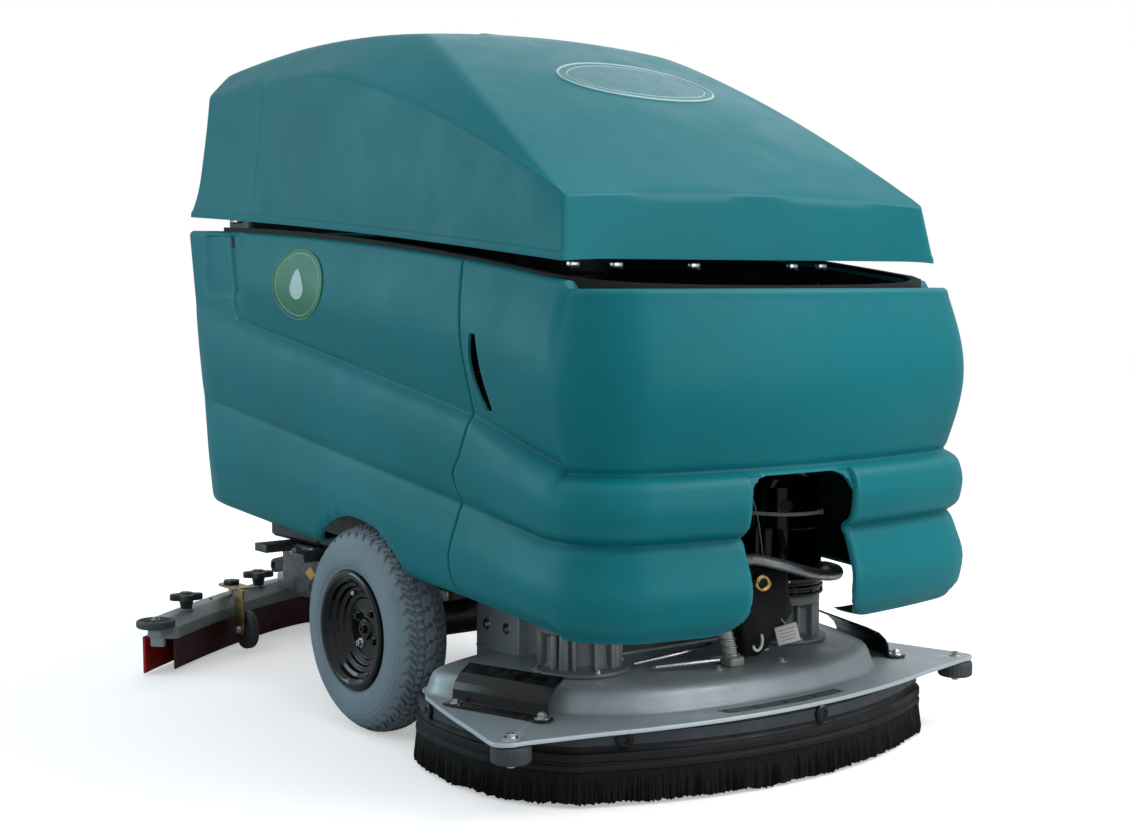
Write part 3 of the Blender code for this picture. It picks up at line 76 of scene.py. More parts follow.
SIDES = (("right", -1), ("left", 1))
FACING_Y = Matrix.Rotation(math.pi / 2, 4, "X")                     # drawing (x, y) -> (x, z)
FACING_X = Matrix.Rotation(math.pi / 2, 4, "Z") @ FACING_Y          # drawing (x, y) -> (y, z)


# ------------------------------------------------------------------ small maths
def clamp(value):
    return max(0.0, min(1.0, value))


def ease(start, end, value):
    """Smooth step from 0 at start to 1 at end."""
    t = clamp((value - start) / (end - start))
    return t * t * (3 - 2 * t)


def turns(count):
    """Angles of count equal steps round a circle."""
    return [2 * math.pi * k / count for k in range(count)]


def around(centre, radius, angle, z):
    """Point at an angle round an upright axis."""
    return (centre[0] + radius * math.cos(angle), centre[1] + radius * math.sin(angle), z)


def outward(sign):
    """Axis that points away from the middle on one side."""
    return "X" if sign > 0 else "-X"


def mirror_x(points):
    """The points mirrored in x, in reverse order."""
    return [(-p[0], *p[1:]) for p in reversed(points)]


def mirror_profile(half):
    """A (radius, height) profile completed by its mirror image in height."""
    return half + [(r, -z) for r, z in reversed(half)]


def whole(half):
    """Closed ring from a half outline that starts and ends on x = 0."""
    return half + mirror_x(half[1:-1])


def fillet(points, radius, segments, closed=True):
    """Rounds the corners of a 2-D polyline; radius is one value or one per point."""
    out = []
    for i, p in enumerate(points):
        corner_r = radius[i] if isinstance(radius, list) else radius
        if (not closed and i in (0, len(points) - 1)) or corner_r <= 0:
            out.append(p)
            continue
        before, after = points[i - 1], points[(i + 1) % len(points)]
        to_before = np.array([before[0] - p[0], before[1] - p[1]], float)
        to_after = np.array([after[0] - p[0], after[1] - p[1]], float)
        len_before, len_after = np.linalg.norm(to_before), np.linalg.norm(to_after)
        if len_before < 1e-9 or len_after < 1e-9:
            out.append(p)
            continue
        to_before, to_after = to_before / len_before, to_after / len_after
        angle = math.acos(float(np.clip(to_before @ to_after, -1, 1)))
        if angle > math.radians(176) or angle < math.radians(3):
            out.append(p)
            continue
        setback = min(corner_r / math.tan(angle / 2), 0.46 * len_before, 0.46 * len_after)
        arc_r = setback * math.tan(angle / 2)
        bisector = (to_before + to_after) / np.linalg.norm(to_before + to_after)
        centre = np.array(p) + bisector * (arc_r / math.sin(angle / 2))
        start, end = np.array(p) + to_before * setback, np.array(p) + to_after * setback
        a0, a1 = math.atan2(*(start - centre)[::-1]), math.atan2(*(end - centre)[::-1])
        sweep = (a1 - a0 + math.pi) % (2 * math.pi) - math.pi
        for k in range(segments + 1):
            t = a0 + sweep * k / segments
            out.append((centre[0] + arc_r * math.cos(t), centre[1] + arc_r * math.sin(t)))
    return out


def rounded_rect(width, height, radius, segments, middle_y=0.0):
    x, y0, y1 = width / 2, middle_y - height / 2, middle_y + height / 2
    return fillet([(-x, y0), (x, y0), (x, y1), (-x, y1)], radius, segments)


def spline(points, per, closed=False):
    """Catmull-Rom curve through 2-D or 3-D points, with per steps in each span."""
    P = [np.array(p, float) for p in points]
    n = len(P)
    out = []
    for i in range(n if closed else n - 1):
        p1, p2 = P[i], P[(i + 1) % n]
        p0 = P[i - 1] if (closed or i > 0) else 2 * p1 - p2
        p3 = P[(i + 2) % n] if (closed or i + 2 < n) else 2 * p2 - p1
        for k in range(per):
            t = k / per
            out.append(0.5 * ((2 * p1) + (-p0 + p2) * t + (2 * p0 - 5 * p1 + 4 * p2 - p3) * t * t
                              + (-p0 + 3 * p1 - 3 * p2 + p3) * t ** 3))
    if not closed:
        out.append(P[-1])
    return out


def resample(points, step, closed=False):
    """Even points along a polyline, about step apart."""
    P = [np.array(p, float) for p in points]
    if closed:
        P = P + [P[0]]
    lengths = [np.linalg.norm(b - a) for a, b in zip(P, P[1:])]
    total = sum(lengths)
    n = max(2, int(round(total / step)))
    out, i, passed = [], 0, 0.0
    for k in range(n if closed else n + 1):
        s = total * k / n
        while i < len(lengths) - 1 and passed + lengths[i] < s:
            passed += lengths[i]
            i += 1
        t = (s - passed) / lengths[i] if lengths[i] > 1e-12 else 0
        out.append(P[i] + (P[i + 1] - P[i]) * min(max(t, 0), 1))
    return out


def left_normals(path):
    """Unit normals on the left of an open 2-D path."""
    out = []
    for i in range(len(path)):
        a, b = path[max(i - 1, 0)], path[min(i + 1, len(path) - 1)]
        length = math.hypot(b[0] - a[0], b[1] - a[1])
        out.append((-(b[1] - a[1]) / length, (b[0] - a[0]) / length))
    return out


def grow(ring, distance):
    """A closed ring moved outward by distance."""
    n = len(ring)
    area2 = sum(ring[i][0] * ring[(i + 1) % n][1] - ring[(i + 1) % n][0] * ring[i][1]
                for i in range(n))
    sign = 1 if area2 > 0 else -1
    out = []
    for i in range(n):
        a, b = ring[i - 1], ring[(i + 1) % n]
        tx, ty = b[0] - a[0], b[1] - a[1]
        length = math.hypot(tx, ty) or 1e-9
        out.append((ring[i][0] + sign * ty / length * distance,
                    ring[i][1] - sign * tx / length * distance))
    return out


def monotone_cubic(xs, ys, x):
    """Monotone cubic through the points, read at x."""
    xs, ys, x = np.array(xs, float), np.array(ys, float), np.array(x, float)
    h = np.diff(xs)
    d = np.diff(ys) / h
    m = np.zeros(len(xs))
    m[1:-1] = np.where(d[:-1] * d[1:] > 0, 2 * d[:-1] * d[1:] / (d[:-1] + d[1:] + 1e-12), 0)
    m[0], m[-1] = d[0] * 1.3, d[-1] * 1.3
    i = np.clip(np.searchsorted(xs, x) - 1, 0, len(xs) - 2)
    t = (x - xs[i]) / h[i]
    return ((2 * t ** 3 - 3 * t ** 2 + 1) * ys[i] + (t ** 3 - 2 * t ** 2 + t) * h[i] * m[i]
            + (-2 * t ** 3 + 3 * t ** 2) * ys[i + 1] + (t ** 3 - t ** 2) * h[i] * m[i + 1])


def flutes(depth, count, low=-1.0, high=1.0):
    """Lathe wave that sinks count flutes between two heights."""
    return lambda a, z: -depth * (0.5 + 0.5 * math.cos(count * a)) if low < z < high else 0.0


# ------------------------------------------------------------------ mesh building
def add_object(name, data):
    ob = bpy.data.objects.new(name, data)
    bpy.context.scene.collection.objects.link(ob)
    return ob


def mesh_object(verts, faces, mat, name="part"):
    mesh = bpy.data.meshes.new(name)
    mesh.from_pydata([tuple(map(float, v)) for v in verts], [], faces)
    mesh.update()
    if mat is not None:
        mesh.materials.append(mat)
    return add_object(name, mesh)


def shade(ob, angle):
    """Smooth shading with edges sharper than angle degrees kept sharp."""
    ob.data.shade_smooth()
    ob.data.set_sharp_from_angle(angle=math.radians(angle))


@contextmanager
def editing(mesh):
    bm = bmesh.new()
    bm.from_mesh(mesh)
    yield bm
    bm.to_mesh(mesh)
    bm.free()


def tidy(bm, merge=0.0):
    """Merges close vertices and turns the faces outward."""
    if merge:
        bmesh.ops.remove_doubles(bm, verts=bm.verts, dist=merge)
    bmesh.ops.recalc_face_normals(bm, faces=bm.faces)


def grid(rows, mat, close_u=False, close_v=False, cap=False, angle=35, merge=0.0):
    """Quads over rows of points. close_u closes each row, close_v joins the last to the first."""
    R, C = len(rows), len(rows[0])
    faces = []
    for i in range(R if close_v else R - 1):
        j = (i + 1) % R
        for k in range(C if close_u else C - 1):
            m = (k + 1) % C
            faces.append((i * C + k, i * C + m, j * C + m, j * C + k))
    if cap:
        faces.append(tuple(range(C))[::-1])
        faces.append(tuple((R - 1) * C + k for k in range(C)))
    ob = mesh_object([p for row in rows for p in row], faces, mat)
    with editing(ob.data) as bm:
        tidy(bm, merge)
    shade(ob, angle)
    return ob


TURN = {"Z": Matrix.Identity(4), "-Z": Matrix.Rotation(math.pi, 4, "X"),
        "X": Matrix.Rotation(math.pi / 2, 4, "Y"), "-X": Matrix.Rotation(-math.pi / 2, 4, "Y"),
        "Y": Matrix.Rotation(-math.pi / 2, 4, "X")}


def along(axis):
    """Matrix that takes +Z to the given direction."""
    if isinstance(axis, str):
        return TURN[axis]
    return Vector(axis).normalized().to_track_quat("Z", "Y").to_matrix().to_4x4()


def lathe(profile, at, axis, steps, mat, radius=0.0, segments=2, closed=False, angle=35,
          wave=None):
    """Revolves (radius, height) points; open profiles start and end on the axis.

    radius and segments round the profile's corners; wave(angle, height) is added to its radii.
    """
    if radius:
        profile = fillet(profile, radius, segments, closed)
    rows = []
    for a in turns(steps):
        row = []
        for r, z in profile:
            if wave:
                r = r + wave(a, z)
            row.append((r * math.cos(a), r * math.sin(a), z))
        rows.append(row)
    ob = grid(rows, mat, close_u=closed, close_v=True, angle=angle, merge=1e-6)
    ob.data.transform(Matrix.Translation(at) @ along(axis))
    return ob


def disc(radius, low, high, at, axis, steps, mat, rounding=0.0, top=None):
    """Solid cylinder, or a cone when top gives another radius."""
    return lathe([(0.0, low), (radius, low), (top or radius, high), (0.0, high)],
                 at, axis, steps, mat, rounding)


def collar(inner, outer, low, high, at, axis, steps, mat, rounding):
    """Ring of rectangular section."""
    return lathe([(inner, low), (outer, low), (outer, high), (inner, high)],
                 at, axis, steps, mat, rounding, closed=True)


def tube(points, radius, sides, mat, closed=False, per=6, curved=True, rings=None, angle=50):
    """Round tube through points; rings=(pitch, depth) corrugates it."""
    P = spline(points, per, closed) if curved else [np.array(p, float) for p in points]
    if rings:
        P = resample(P, rings[0] / 6, closed)
    tangents = []
    for i in range(len(P)):
        a = P[i - 1] if (closed or i > 0) else P[i]
        b = P[(i + 1) % len(P)] if (closed or i < len(P) - 1) else P[i]
        t = b - a
        tangents.append(t / np.linalg.norm(t))
    up = np.array([0, 0, 1.0]) if abs(tangents[0][2]) < 0.9 else np.array([1.0, 0, 0])
    normal = np.cross(tangents[0], up)
    normal /= np.linalg.norm(normal)
    rows, s = [], 0.0
    for i, p in enumerate(P):
        if i:
            s += np.linalg.norm(P[i] - P[i - 1])
            normal = normal - tangents[i] * (normal @ tangents[i])
            normal /= np.linalg.norm(normal)
        across = np.cross(tangents[i], normal)
        r = radius
        if rings:
            r = r + rings[1] * math.cos(2 * math.pi * s / rings[0])
        rows.append([p + normal * r * math.cos(a) + across * r * math.sin(a)
                     for a in turns(sides)])
    return grid(rows, mat, close_u=True, close_v=closed, cap=not closed, angle=angle)


def rod(start, end, radius, sides, mat):
    return tube([start, end], radius, sides, mat, curved=False)


def box(at, size, rounding, segments, mat, spin=0.0, tilt=0.0):
    """Box with rounded edges; spin turns it about Z, tilt about X."""
    bm = bmesh.new()
    bmesh.ops.create_cube(bm, size=1.0)
    bmesh.ops.scale(bm, vec=size, verts=bm.verts)
    if rounding > 0:
        bmesh.ops.bevel(bm, geom=list(bm.edges), offset=min(rounding, 0.49 * min(size)),
                        segments=segments, profile=0.5, affect="EDGES")
    mesh = bpy.data.meshes.new("part")
    bm.to_mesh(mesh)
    bm.free()
    ob = add_object("part", mesh)
    mesh.materials.append(mat)
    mesh.transform(Matrix.Translation(at) @ Matrix.Rotation(spin, 4, "Z")
                   @ Matrix.Rotation(tilt, 4, "X"))
    shade(ob, 50)
    return ob


def evaluated_mesh(ob):
    bpy.context.view_layer.update()
    graph = bpy.context.evaluated_depsgraph_get()
    return bpy.data.meshes.new_from_object(ob.evaluated_get(graph))


def slab(outline, thickness, at=(0, 0, 0), turn=Matrix.Identity(4), bevel=0.0, mat=None,
         holes=(), resolution=2):
    """A flat outline extruded to a thickness, with rounded edges."""
    curve = bpy.data.curves.new("part", "CURVE")
    curve.dimensions = "2D"
    curve.fill_mode = "BOTH"
    curve.extrude = max(thickness / 2 - bevel, 0.00001)
    curve.bevel_depth = bevel
    curve.bevel_resolution = resolution
    curve.offset = -bevel
    for ring in (outline, *holes):
        line = curve.splines.new("POLY")
        line.points.add(len(ring) - 1)
        for p, q in zip(line.points, ring):
            p.co = (q[0], q[1], 0.0, 1.0)
        line.use_cyclic_u = True
    curve_ob = add_object("part_curve", curve)
    mesh = evaluated_mesh(curve_ob)
    bpy.data.objects.remove(curve_ob, do_unlink=True)
    with editing(mesh) as bm:
        tidy(bm, merge=0.00001)
    ob = add_object("part", mesh)
    mesh.materials.clear()
    if mat is not None:
        mesh.materials.append(mat)
    mesh.transform(Matrix.Translation(at) @ turn)
    shade(ob, 40)
    return ob


def bake(ob):
    """Applies the object's modifiers."""
    mesh = evaluated_mesh(ob)
    ob.modifiers.clear()
    ob.data = mesh


def cut(ob, cutter):
    """Subtracts cutter from ob and removes it."""
    def solve(use_self):
        modifier = ob.modifiers.new("cut", "BOOLEAN")
        modifier.operation = "DIFFERENCE"
        modifier.solver = "EXACT"
        modifier.use_self = use_self
        modifier.object = cutter
        bake(ob)

    before = ob.data.copy()
    solve(False)
    # a cut that loses most of the faces is done again, allowing for self-overlap
    if len(ob.data.polygons) < 0.2 * len(before.polygons):
        ob.data = before
        solve(True)
    bpy.data.objects.remove(cutter, do_unlink=True)


def place(parts, matrix):
    """Moves parts, keeping faces outward when the matrix mirrors."""
    for o in parts:
        o.data.transform(matrix)
        if matrix.determinant() < 0:
            o.data.flip_normals()


def piece(name, body, parts, replaces=None):
    """Joins parts into one mesh, moves it to the CAD frame and rides it on a body."""
    mats, bm = [], bmesh.new()
    for o in parts:
        index = []
        for mat in o.data.materials:
            if mat not in mats:
                mats.append(mat)
            index.append(mats.index(mat))
        first = len(bm.faces)
        bm.from_mesh(o.data)
        bm.faces.ensure_lookup_table()
        for f in bm.faces[first:]:
            f.material_index = index[min(f.material_index, len(index) - 1)]
    mesh = bpy.data.meshes.new(name)
    bm.to_mesh(mesh)
    bm.free()
    for mat in mats:
        mesh.materials.append(mat)
    mesh.transform(Matrix.Translation((0, AXLE_Y, 0)))
    for o in parts:
        bpy.data.objects.remove(o, do_unlink=True)
    ob = add_object(name, mesh)
    if body:
        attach(ob, body)
    if replaces:
        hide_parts(replaces)
    return ob


# ------------------------------------------------------------------ material building
def srgb(*levels):
    """Linear colour from 0-255 levels."""
    def linear(c):
        c = c / 255.0
        return c / 12.92 if c <= 0.04045 else ((c + 0.055) / 1.055) ** 2.4
    return tuple(linear(c) for c in levels)


def scaled(colour, factor, lift=0.0):
    return tuple(min(1, x * factor + lift) for x in colour)


class Shader:
    """A Principled material and the nodes that feed it."""

    def __init__(self, name, colour=None):
        self.material = bpy.data.materials.new(name)
        self.material.use_nodes = True
        self.tree = self.material.node_tree
        self.principled = self.tree.nodes["Principled BSDF"]
        self.coords = self.new("TexCoord").outputs["Object"]
        self.geometry = None
        if colour:
            self.material.diffuse_color = (*colour, 1)

    def new(self, kind):
        return self.tree.nodes.new("ShaderNode" + kind)

    def feed(self, socket, value):
        """Links a socket or sets a plain value."""
        if isinstance(value, bpy.types.NodeSocket):
            self.tree.links.new(value, socket)
        else:
            socket.default_value = value

    def pointiness(self):
        self.geometry = self.geometry or self.new("NewGeometry")
        return self.geometry.outputs["Pointiness"]

    def noise(self, scale, detail, rough, stretch=None, distortion=0.0):
        node = self.new("TexNoise")
        source = self.coords
        if stretch:
            mapping = self.new("Mapping")
            mapping.inputs["Scale"].default_value = stretch
            self.feed(mapping.inputs["Vector"], source)
            source = mapping.outputs["Vector"]
        for key, value in (("Scale", scale), ("Detail", detail), ("Roughness", rough),
                           ("Distortion", distortion), ("Vector", source)):
            self.feed(node.inputs[key], value)
        return node.outputs["Fac"]

    def remap(self, value, span, to=(0, 1)):
        node = self.new("MapRange")
        node.clamp = True
        for key, x in zip(("From Min", "From Max", "To Min", "To Max"), (*span, *to)):
            node.inputs[key].default_value = x
        self.feed(node.inputs["Value"], value)
        return node.outputs["Result"]

    def mix(self, factor, first, second):
        node = self.new("Mix")
        node.data_type = "RGBA"
        for socket, value in ((node.inputs[6], first), (node.inputs[7], second)):
            self.feed(socket, (*value, 1.0) if isinstance(value, tuple) else value)
        self.feed(node.inputs[0], factor)
        return node.outputs[2]

    def tint(self, base, over, mask, span, amount=(0, 1)):
        """Lays over on base, by amount where the mask runs through span."""
        return self.mix(self.remap(mask, span, amount), base, over)

    def multiply(self, first, second):
        node = self.new("Math")
        node.operation = "MULTIPLY"
        self.feed(node.inputs[0], first)
        self.feed(node.inputs[1], second)
        return node.outputs[0]

    def bump(self, height, strength, depth, under=None):
        node = self.new("Bump")
        node.inputs["Strength"].default_value = strength
        node.inputs["Distance"].default_value = depth
        self.feed(node.inputs["Height"], height)
        if under is not None:
            self.feed(node.inputs["Normal"], under)
        return node.outputs["Normal"]

    def finish(self, **values):
        """Feeds the Principled inputs, underscores standing for spaces."""
        for key, value in values.items():
            self.feed(self.principled.inputs[key.replace("_", " ")], value)
        return self.material


def surface(name, colour, rough, blotch, grain, gloss=0.08, metal=0.0, wave=0.0, wear=0.0,
            wear_colour=None, dirt=0.0, coat=0.0, coat_rough=0.1, spec=0.5, speck=0.0):
    """General worn surface.

    blotch: (contrast, scale) of slow colour change. grain: (strength, scale, depth) of bumps.
    gloss: spread of the roughness. wave: slow bump. wear: rubbed edges. dirt: dark hollows.
    """
    contrast, scale = blotch
    strength, grain_scale, depth = grain
    n = Shader(name, colour)
    blotches = n.noise(scale, detail=5, rough=0.55)
    fine = n.noise(grain_scale, detail=3, rough=0.6)
    c = n.tint(scaled(colour, 1 - contrast), scaled(colour, 1 + contrast), blotches,
               span=(0.32, 0.68))
    if speck:
        specks = n.noise(grain_scale * 0.5, detail=2, rough=0.7)
        c = n.tint(c, scaled(colour, 1.9, lift=0.02), specks, span=(0.60, 0.74),
                   amount=(0, speck))
    if dirt:
        c = n.tint(c, scaled(colour, 0.25), n.pointiness(), span=(0.42, 0.495),
                   amount=(dirt, 0))
    if wear:
        patches = n.noise(scale=60, detail=4, rough=0.7)
        edges = n.remap(n.pointiness(), span=(0.515, 0.57))
        rubbed = n.multiply(edges, n.remap(patches, span=(0.4, 0.65), to=(0, wear)))
        c = n.mix(rubbed, c, wear_colour or scaled(colour, 1.6, lift=0.03))
    roughness = n.remap(n.noise(scale * 2.7, detail=4, rough=0.6), span=(0.3, 0.7),
                        to=(max(0.02, rough - gloss), min(1, rough + gloss)))
    normal = n.bump(fine, strength, depth)
    if wave:
        slow = n.noise(scale * 1.6, detail=2, rough=0.4)
        normal = n.bump(slow, wave, depth=0.004, under=normal)
    return n.finish(Base_Color=c, Roughness=roughness, Metallic=metal, Normal=normal,
                    Coat_Weight=coat, Coat_Roughness=coat_rough, Specular_IOR_Level=spec)


def teal_material():
    """Moulded plastic: satin, faint orange peel, slightly cloudy colour."""
    base = srgb(3, 115, 125)
    n = Shader("moulded_teal", base)
    clouds = n.noise(scale=3.0, detail=4, rough=0.5)
    c = n.tint(scaled(base, 0.90), scaled(base, 1.10), clouds, span=(0.3, 0.7))
    mottle = n.noise(scale=22.0, detail=5, rough=0.6)
    c = n.tint(c, srgb(16, 118, 126), mottle, span=(0.35, 0.7), amount=(0, 0.16))
    # painted shade in hollows and creases, painted highlight on edges
    c = n.tint(c, srgb(6, 58, 66), n.pointiness(), span=(0.455, 0.497), amount=(0.55, 0))
    c = n.tint(c, srgb(58, 142, 148), n.pointiness(), span=(0.508, 0.55), amount=(0, 0.42))
    # thin pale scuffs
    scuffs = n.noise(scale=9.0, detail=8, rough=0.75, stretch=(1.0, 7.0, 3.0), distortion=0.6)
    c = n.tint(c, srgb(120, 165, 168), scuffs, span=(0.705, 0.76), amount=(0, 0.10))
    peel = n.noise(scale=420.0, detail=2, rough=0.5)
    slow = n.noise(scale=26.0, detail=2, rough=0.4)
    normal = n.bump(peel, strength=0.16, depth=0.0006)
    normal = n.bump(slow, strength=0.10, depth=0.004, under=normal)
    roughness = n.remap(n.noise(scale=14.0, detail=5, rough=0.6), span=(0.3, 0.7),
                        to=(0.36, 0.47))
    return n.finish(Base_Color=c, Roughness=roughness, Normal=normal, Specular_IOR_Level=0.16)


def cast_material(name, colour, speck=0.35):
    """Sand-cast metal: grain, faint blotches, bright rubbed edges."""
    n = Shader(name, colour)
    blotches = n.noise(scale=11.0, detail=6, rough=0.6)
    c = n.tint(scaled(colour, 0.84), scaled(colour, 1.12), blotches, span=(0.3, 0.7))
    # pale and dark specks
    specks = n.noise(scale=700.0, detail=2, rough=0.6)
    c = n.tint(c, scaled(colour, 1.7), specks, span=(0.56, 0.72), amount=(0, speck))
    c = n.tint(c, scaled(colour, 0.55), specks, span=(0.28, 0.42), amount=(speck, 0))
    # darker hollows, brighter edges
    c = n.tint(c, scaled(colour, 0.35), n.pointiness(), span=(0.44, 0.495), amount=(0.55, 0))
    c = n.tint(c, scaled(colour, 1.5, lift=0.05), n.pointiness(), span=(0.515, 0.56),
               amount=(0, 0.6))
    fine = n.noise(scale=520.0, detail=4, rough=0.65)
    normal = n.bump(fine, strength=0.35, depth=0.0006)
    coarse = n.noise(scale=60.0, detail=3, rough=0.5)
    normal = n.bump(coarse, strength=0.12, depth=0.0015, under=normal)
    roughness = n.remap(n.noise(scale=30.0, detail=4, rough=0.6), span=(0.3, 0.7),
                        to=(0.36, 0.52))
    return n.finish(Base_Color=c, Roughness=roughness, Metallic=0.30, Normal=normal)


def bristle_material():
    """Black fibre with fine upright streaks."""
    n = Shader("bristle_fibre")
    streaks = n.noise(scale=900.0, detail=3, rough=0.6, stretch=(1.0, 1.0, 0.03))
    c = n.tint((0.002, 0.002, 0.0025), (0.013, 0.013, 0.014), streaks, span=(0.38, 0.66))
    return n.finish(Base_Color=c, Roughness=0.8, Specular_IOR_Level=0.2,
                    Normal=n.bump(streaks, strength=0.9, depth=0.0012))


def floor_material():
    """Pale floor: nearly white to the camera, darker where it only throws light back up."""
    n = Shader("studio_floor")
    clouds = n.noise(scale=2.0, detail=3, rough=0.5)
    c = n.tint((0.93, 0.93, 0.93), (0.95, 0.95, 0.95), clouds, span=(0.3, 0.7))
    seen = n.new("LightPath").outputs["Is Camera Ray"]
    c = n.mix(seen, (0.50, 0.50, 0.50), c)
    grain = n.noise(scale=160.0, detail=3, rough=0.5)
    return n.finish(Base_Color=c, Roughness=0.6, Specular_IOR_Level=0.1,
                    Normal=n.bump(grain, strength=0.03, depth=0.0003),
                    Emission_Color=(1, 1, 1, 1), Emission_Strength=n.multiply(seen, 0.40))


# ------------------------------------------------------------------ materials
TEAL = teal_material()
BRISTLE = bristle_material()
CAST = cast_material("deck_casting", srgb(158, 170, 175))
CAST_DARK = cast_material("gearbox_casting", srgb(112, 117, 118), speck=0.5)
SQ_CAST = cast_material("squeegee_casting", srgb(142, 150, 150), speck=0.25)
# Inside of the mouldings: the teal darkened as painted shade; the real inside is the same teal,
# only in shadow
TEAL_SHADED_INSIDE = surface("moulded_inside_painted_shade", srgb(8, 34, 38), rough=0.7, blotch=(0.2, 9.0),
                  grain=(0.2, 300, 0.0005))

# enamels and metals
STEEL_BLACK = surface("black_enamel", (0.011, 0.011, 0.013), rough=0.34, blotch=(0.25, 14),
                      grain=(0.12, 350, 0.0004), wave=0.05, wear=0.5,
                      wear_colour=(0.16, 0.16, 0.165), coat=0.25, coat_rough=0.2)
FRAME_BLACK = surface("frame_enamel", (0.016, 0.016, 0.018), rough=0.48, blotch=(0.25, 12),
                      grain=(0.2, 300, 0.0005), gloss=0.1, wear=0.5,
                      wear_colour=(0.13, 0.13, 0.135), dirt=0.3)
GLOSS_BLACK = surface("gloss_black", (0.0022, 0.0022, 0.0030), rough=0.13, blotch=(0.25, 20),
                      grain=(0.05, 260, 0.0003), gloss=0.05, wave=0.04, coat=0.15,
                      coat_rough=0.05, spec=0.32)
BRACKET_BLACK = surface("bracket_black", (0.0045, 0.0045, 0.0052), rough=0.24,
                        blotch=(0.25, 20), grain=(0.08, 260, 0.0003), gloss=0.06, wave=0.05,
                        spec=0.35, wear=0.3, wear_colour=(0.08, 0.08, 0.08))
BRIGHT = surface("zinc_bright", (0.56, 0.56, 0.57), rough=0.28, metal=1.0, blotch=(0.12, 40),
                 grain=(0.2, 900, 0.0003), gloss=0.1, dirt=0.5)
YELLOW_ZINC = surface("yellow_zinc", (0.40, 0.29, 0.13), rough=0.33, metal=0.85,
                      blotch=(0.35, 30), grain=(0.25, 600, 0.0004), gloss=0.12, dirt=0.6,
                      wear=0.4, wear_colour=(0.7, 0.62, 0.42))
BRASS = surface("brass_ring", (0.62, 0.44, 0.15), rough=0.22, metal=1.0, blotch=(0.15, 40),
                grain=(0.15, 500, 0.0003))
CONDUIT = surface("metal_conduit", (0.42, 0.43, 0.44), rough=0.35, metal=0.9,
                  blotch=(0.2, 40), grain=(0.25, 500, 0.0003), gloss=0.1, dirt=0.7)

# rubbers
RUBBER = surface("black_rubber_dusty", (0.0065, 0.0065, 0.0075), rough=0.58,
                 blotch=(0.3, 16), grain=(0.3, 600, 0.0004), gloss=0.1, wear=0.4,
                 wear_colour=(0.035, 0.035, 0.038), dirt=0.3, spec=0.3)
GREY_RUBBER = surface("grey_roller_rubber", srgb(62, 68, 72), rough=0.6, blotch=(0.2, 20),
                      grain=(0.3, 600, 0.0004), gloss=0.1, wear=0.5)
TYRE = surface("grey_tyre_rubber", srgb(118, 136, 147), rough=0.72, blotch=(0.09, 12),
               grain=(0.35, 420, 0.0005), wave=0.05, dirt=0.55, speck=0.06, wear=0.25,
               wear_colour=srgb(165, 178, 186))
TYRE_TREAD = surface("grey_tread_rubber", srgb(112, 124, 132), rough=0.82, blotch=(0.16, 26),
                     grain=(0.4, 420, 0.0006), wave=0.05, dirt=0.85, speck=0.10, wear=0.30,
                     wear_colour=srgb(158, 168, 174))
RED = surface("red_linatex", srgb(172, 24, 28), rough=0.45, blotch=(0.2, 25),
              grain=(0.2, 500, 0.0004), gloss=0.1, wear=0.3)
DARK_RED = surface("dark_red_rubber", srgb(74, 24, 28), rough=0.5, blotch=(0.2, 25),
                   grain=(0.2, 500, 0.0004), gloss=0.1, wear=0.2)
HOSE = surface("grey_hose", srgb(118, 122, 124), rough=0.5, blotch=(0.12, 20),
               grain=(0.25, 500, 0.0004), dirt=0.5)
BAND_STRAP = surface("band_face", srgb(52, 60, 67), rough=0.5, metal=0.15, blotch=(0.2, 26),
                     grain=(0.3, 500, 0.0004), gloss=0.1, dirt=0.5, speck=0.15)
# near-black painted shade for the gap under the cover
DARK_GAP = surface("gap_painted_shade", (0.006, 0.007, 0.008), rough=0.8, blotch=(0.2, 20),
                   grain=(0.4, 500, 0.0006), gloss=0.05)

# plastics
PLASTIC = surface("black_plastic_grain", (0.014, 0.014, 0.016), rough=0.46,
                  blotch=(0.18, 18), grain=(0.35, 900, 0.0003), gloss=0.07, wear=0.35,
                  wear_colour=(0.05, 0.05, 0.055))
GREY_PLASTIC = surface("grey_plastic_grain", srgb(150, 152, 154), rough=0.45,
                       blotch=(0.07, 18), grain=(0.3, 900, 0.0003), gloss=0.06, wear=0.2)
LIGHT_NYLON = surface("nylon_tie", srgb(205, 210, 208), rough=0.4, blotch=(0.06, 18),
                      grain=(0.15, 500, 0.0003), gloss=0.06)
BATTERY = surface("battery_case", (0.025, 0.026, 0.030), rough=0.45, blotch=(0.2, 15),
                  grain=(0.25, 700, 0.0003), wear=0.3)
RED_GLOSS = surface("red_gloss", srgb(196, 22, 20), rough=0.22, blotch=(0.08, 20),
                    grain=(0.06, 400, 0.0002), gloss=0.05, coat=0.5)
CABLE_RED = surface("red_cable", srgb(150, 26, 24), rough=0.4, blotch=(0.12, 20),
                    grain=(0.2, 400, 0.0003), gloss=0.06)
CLEAR = surface("milky_tube", srgb(150, 160, 150), rough=0.25, blotch=(0.1, 20),
                grain=(0.1, 400, 0.0002), gloss=0.05, coat=0.4)
YELLOW_BAIL = surface("yellow_bail_plastic", srgb(196, 158, 30), rough=0.4,
                      blotch=(0.06, 20), grain=(0.2, 500, 0.0003), gloss=0.06)


def printed(name, colour, rough, blotch, grain=(0.08, 400, 0.0002)):
    """Flat print or label."""
    return surface(name, colour, rough, blotch, grain, gloss=0.05)


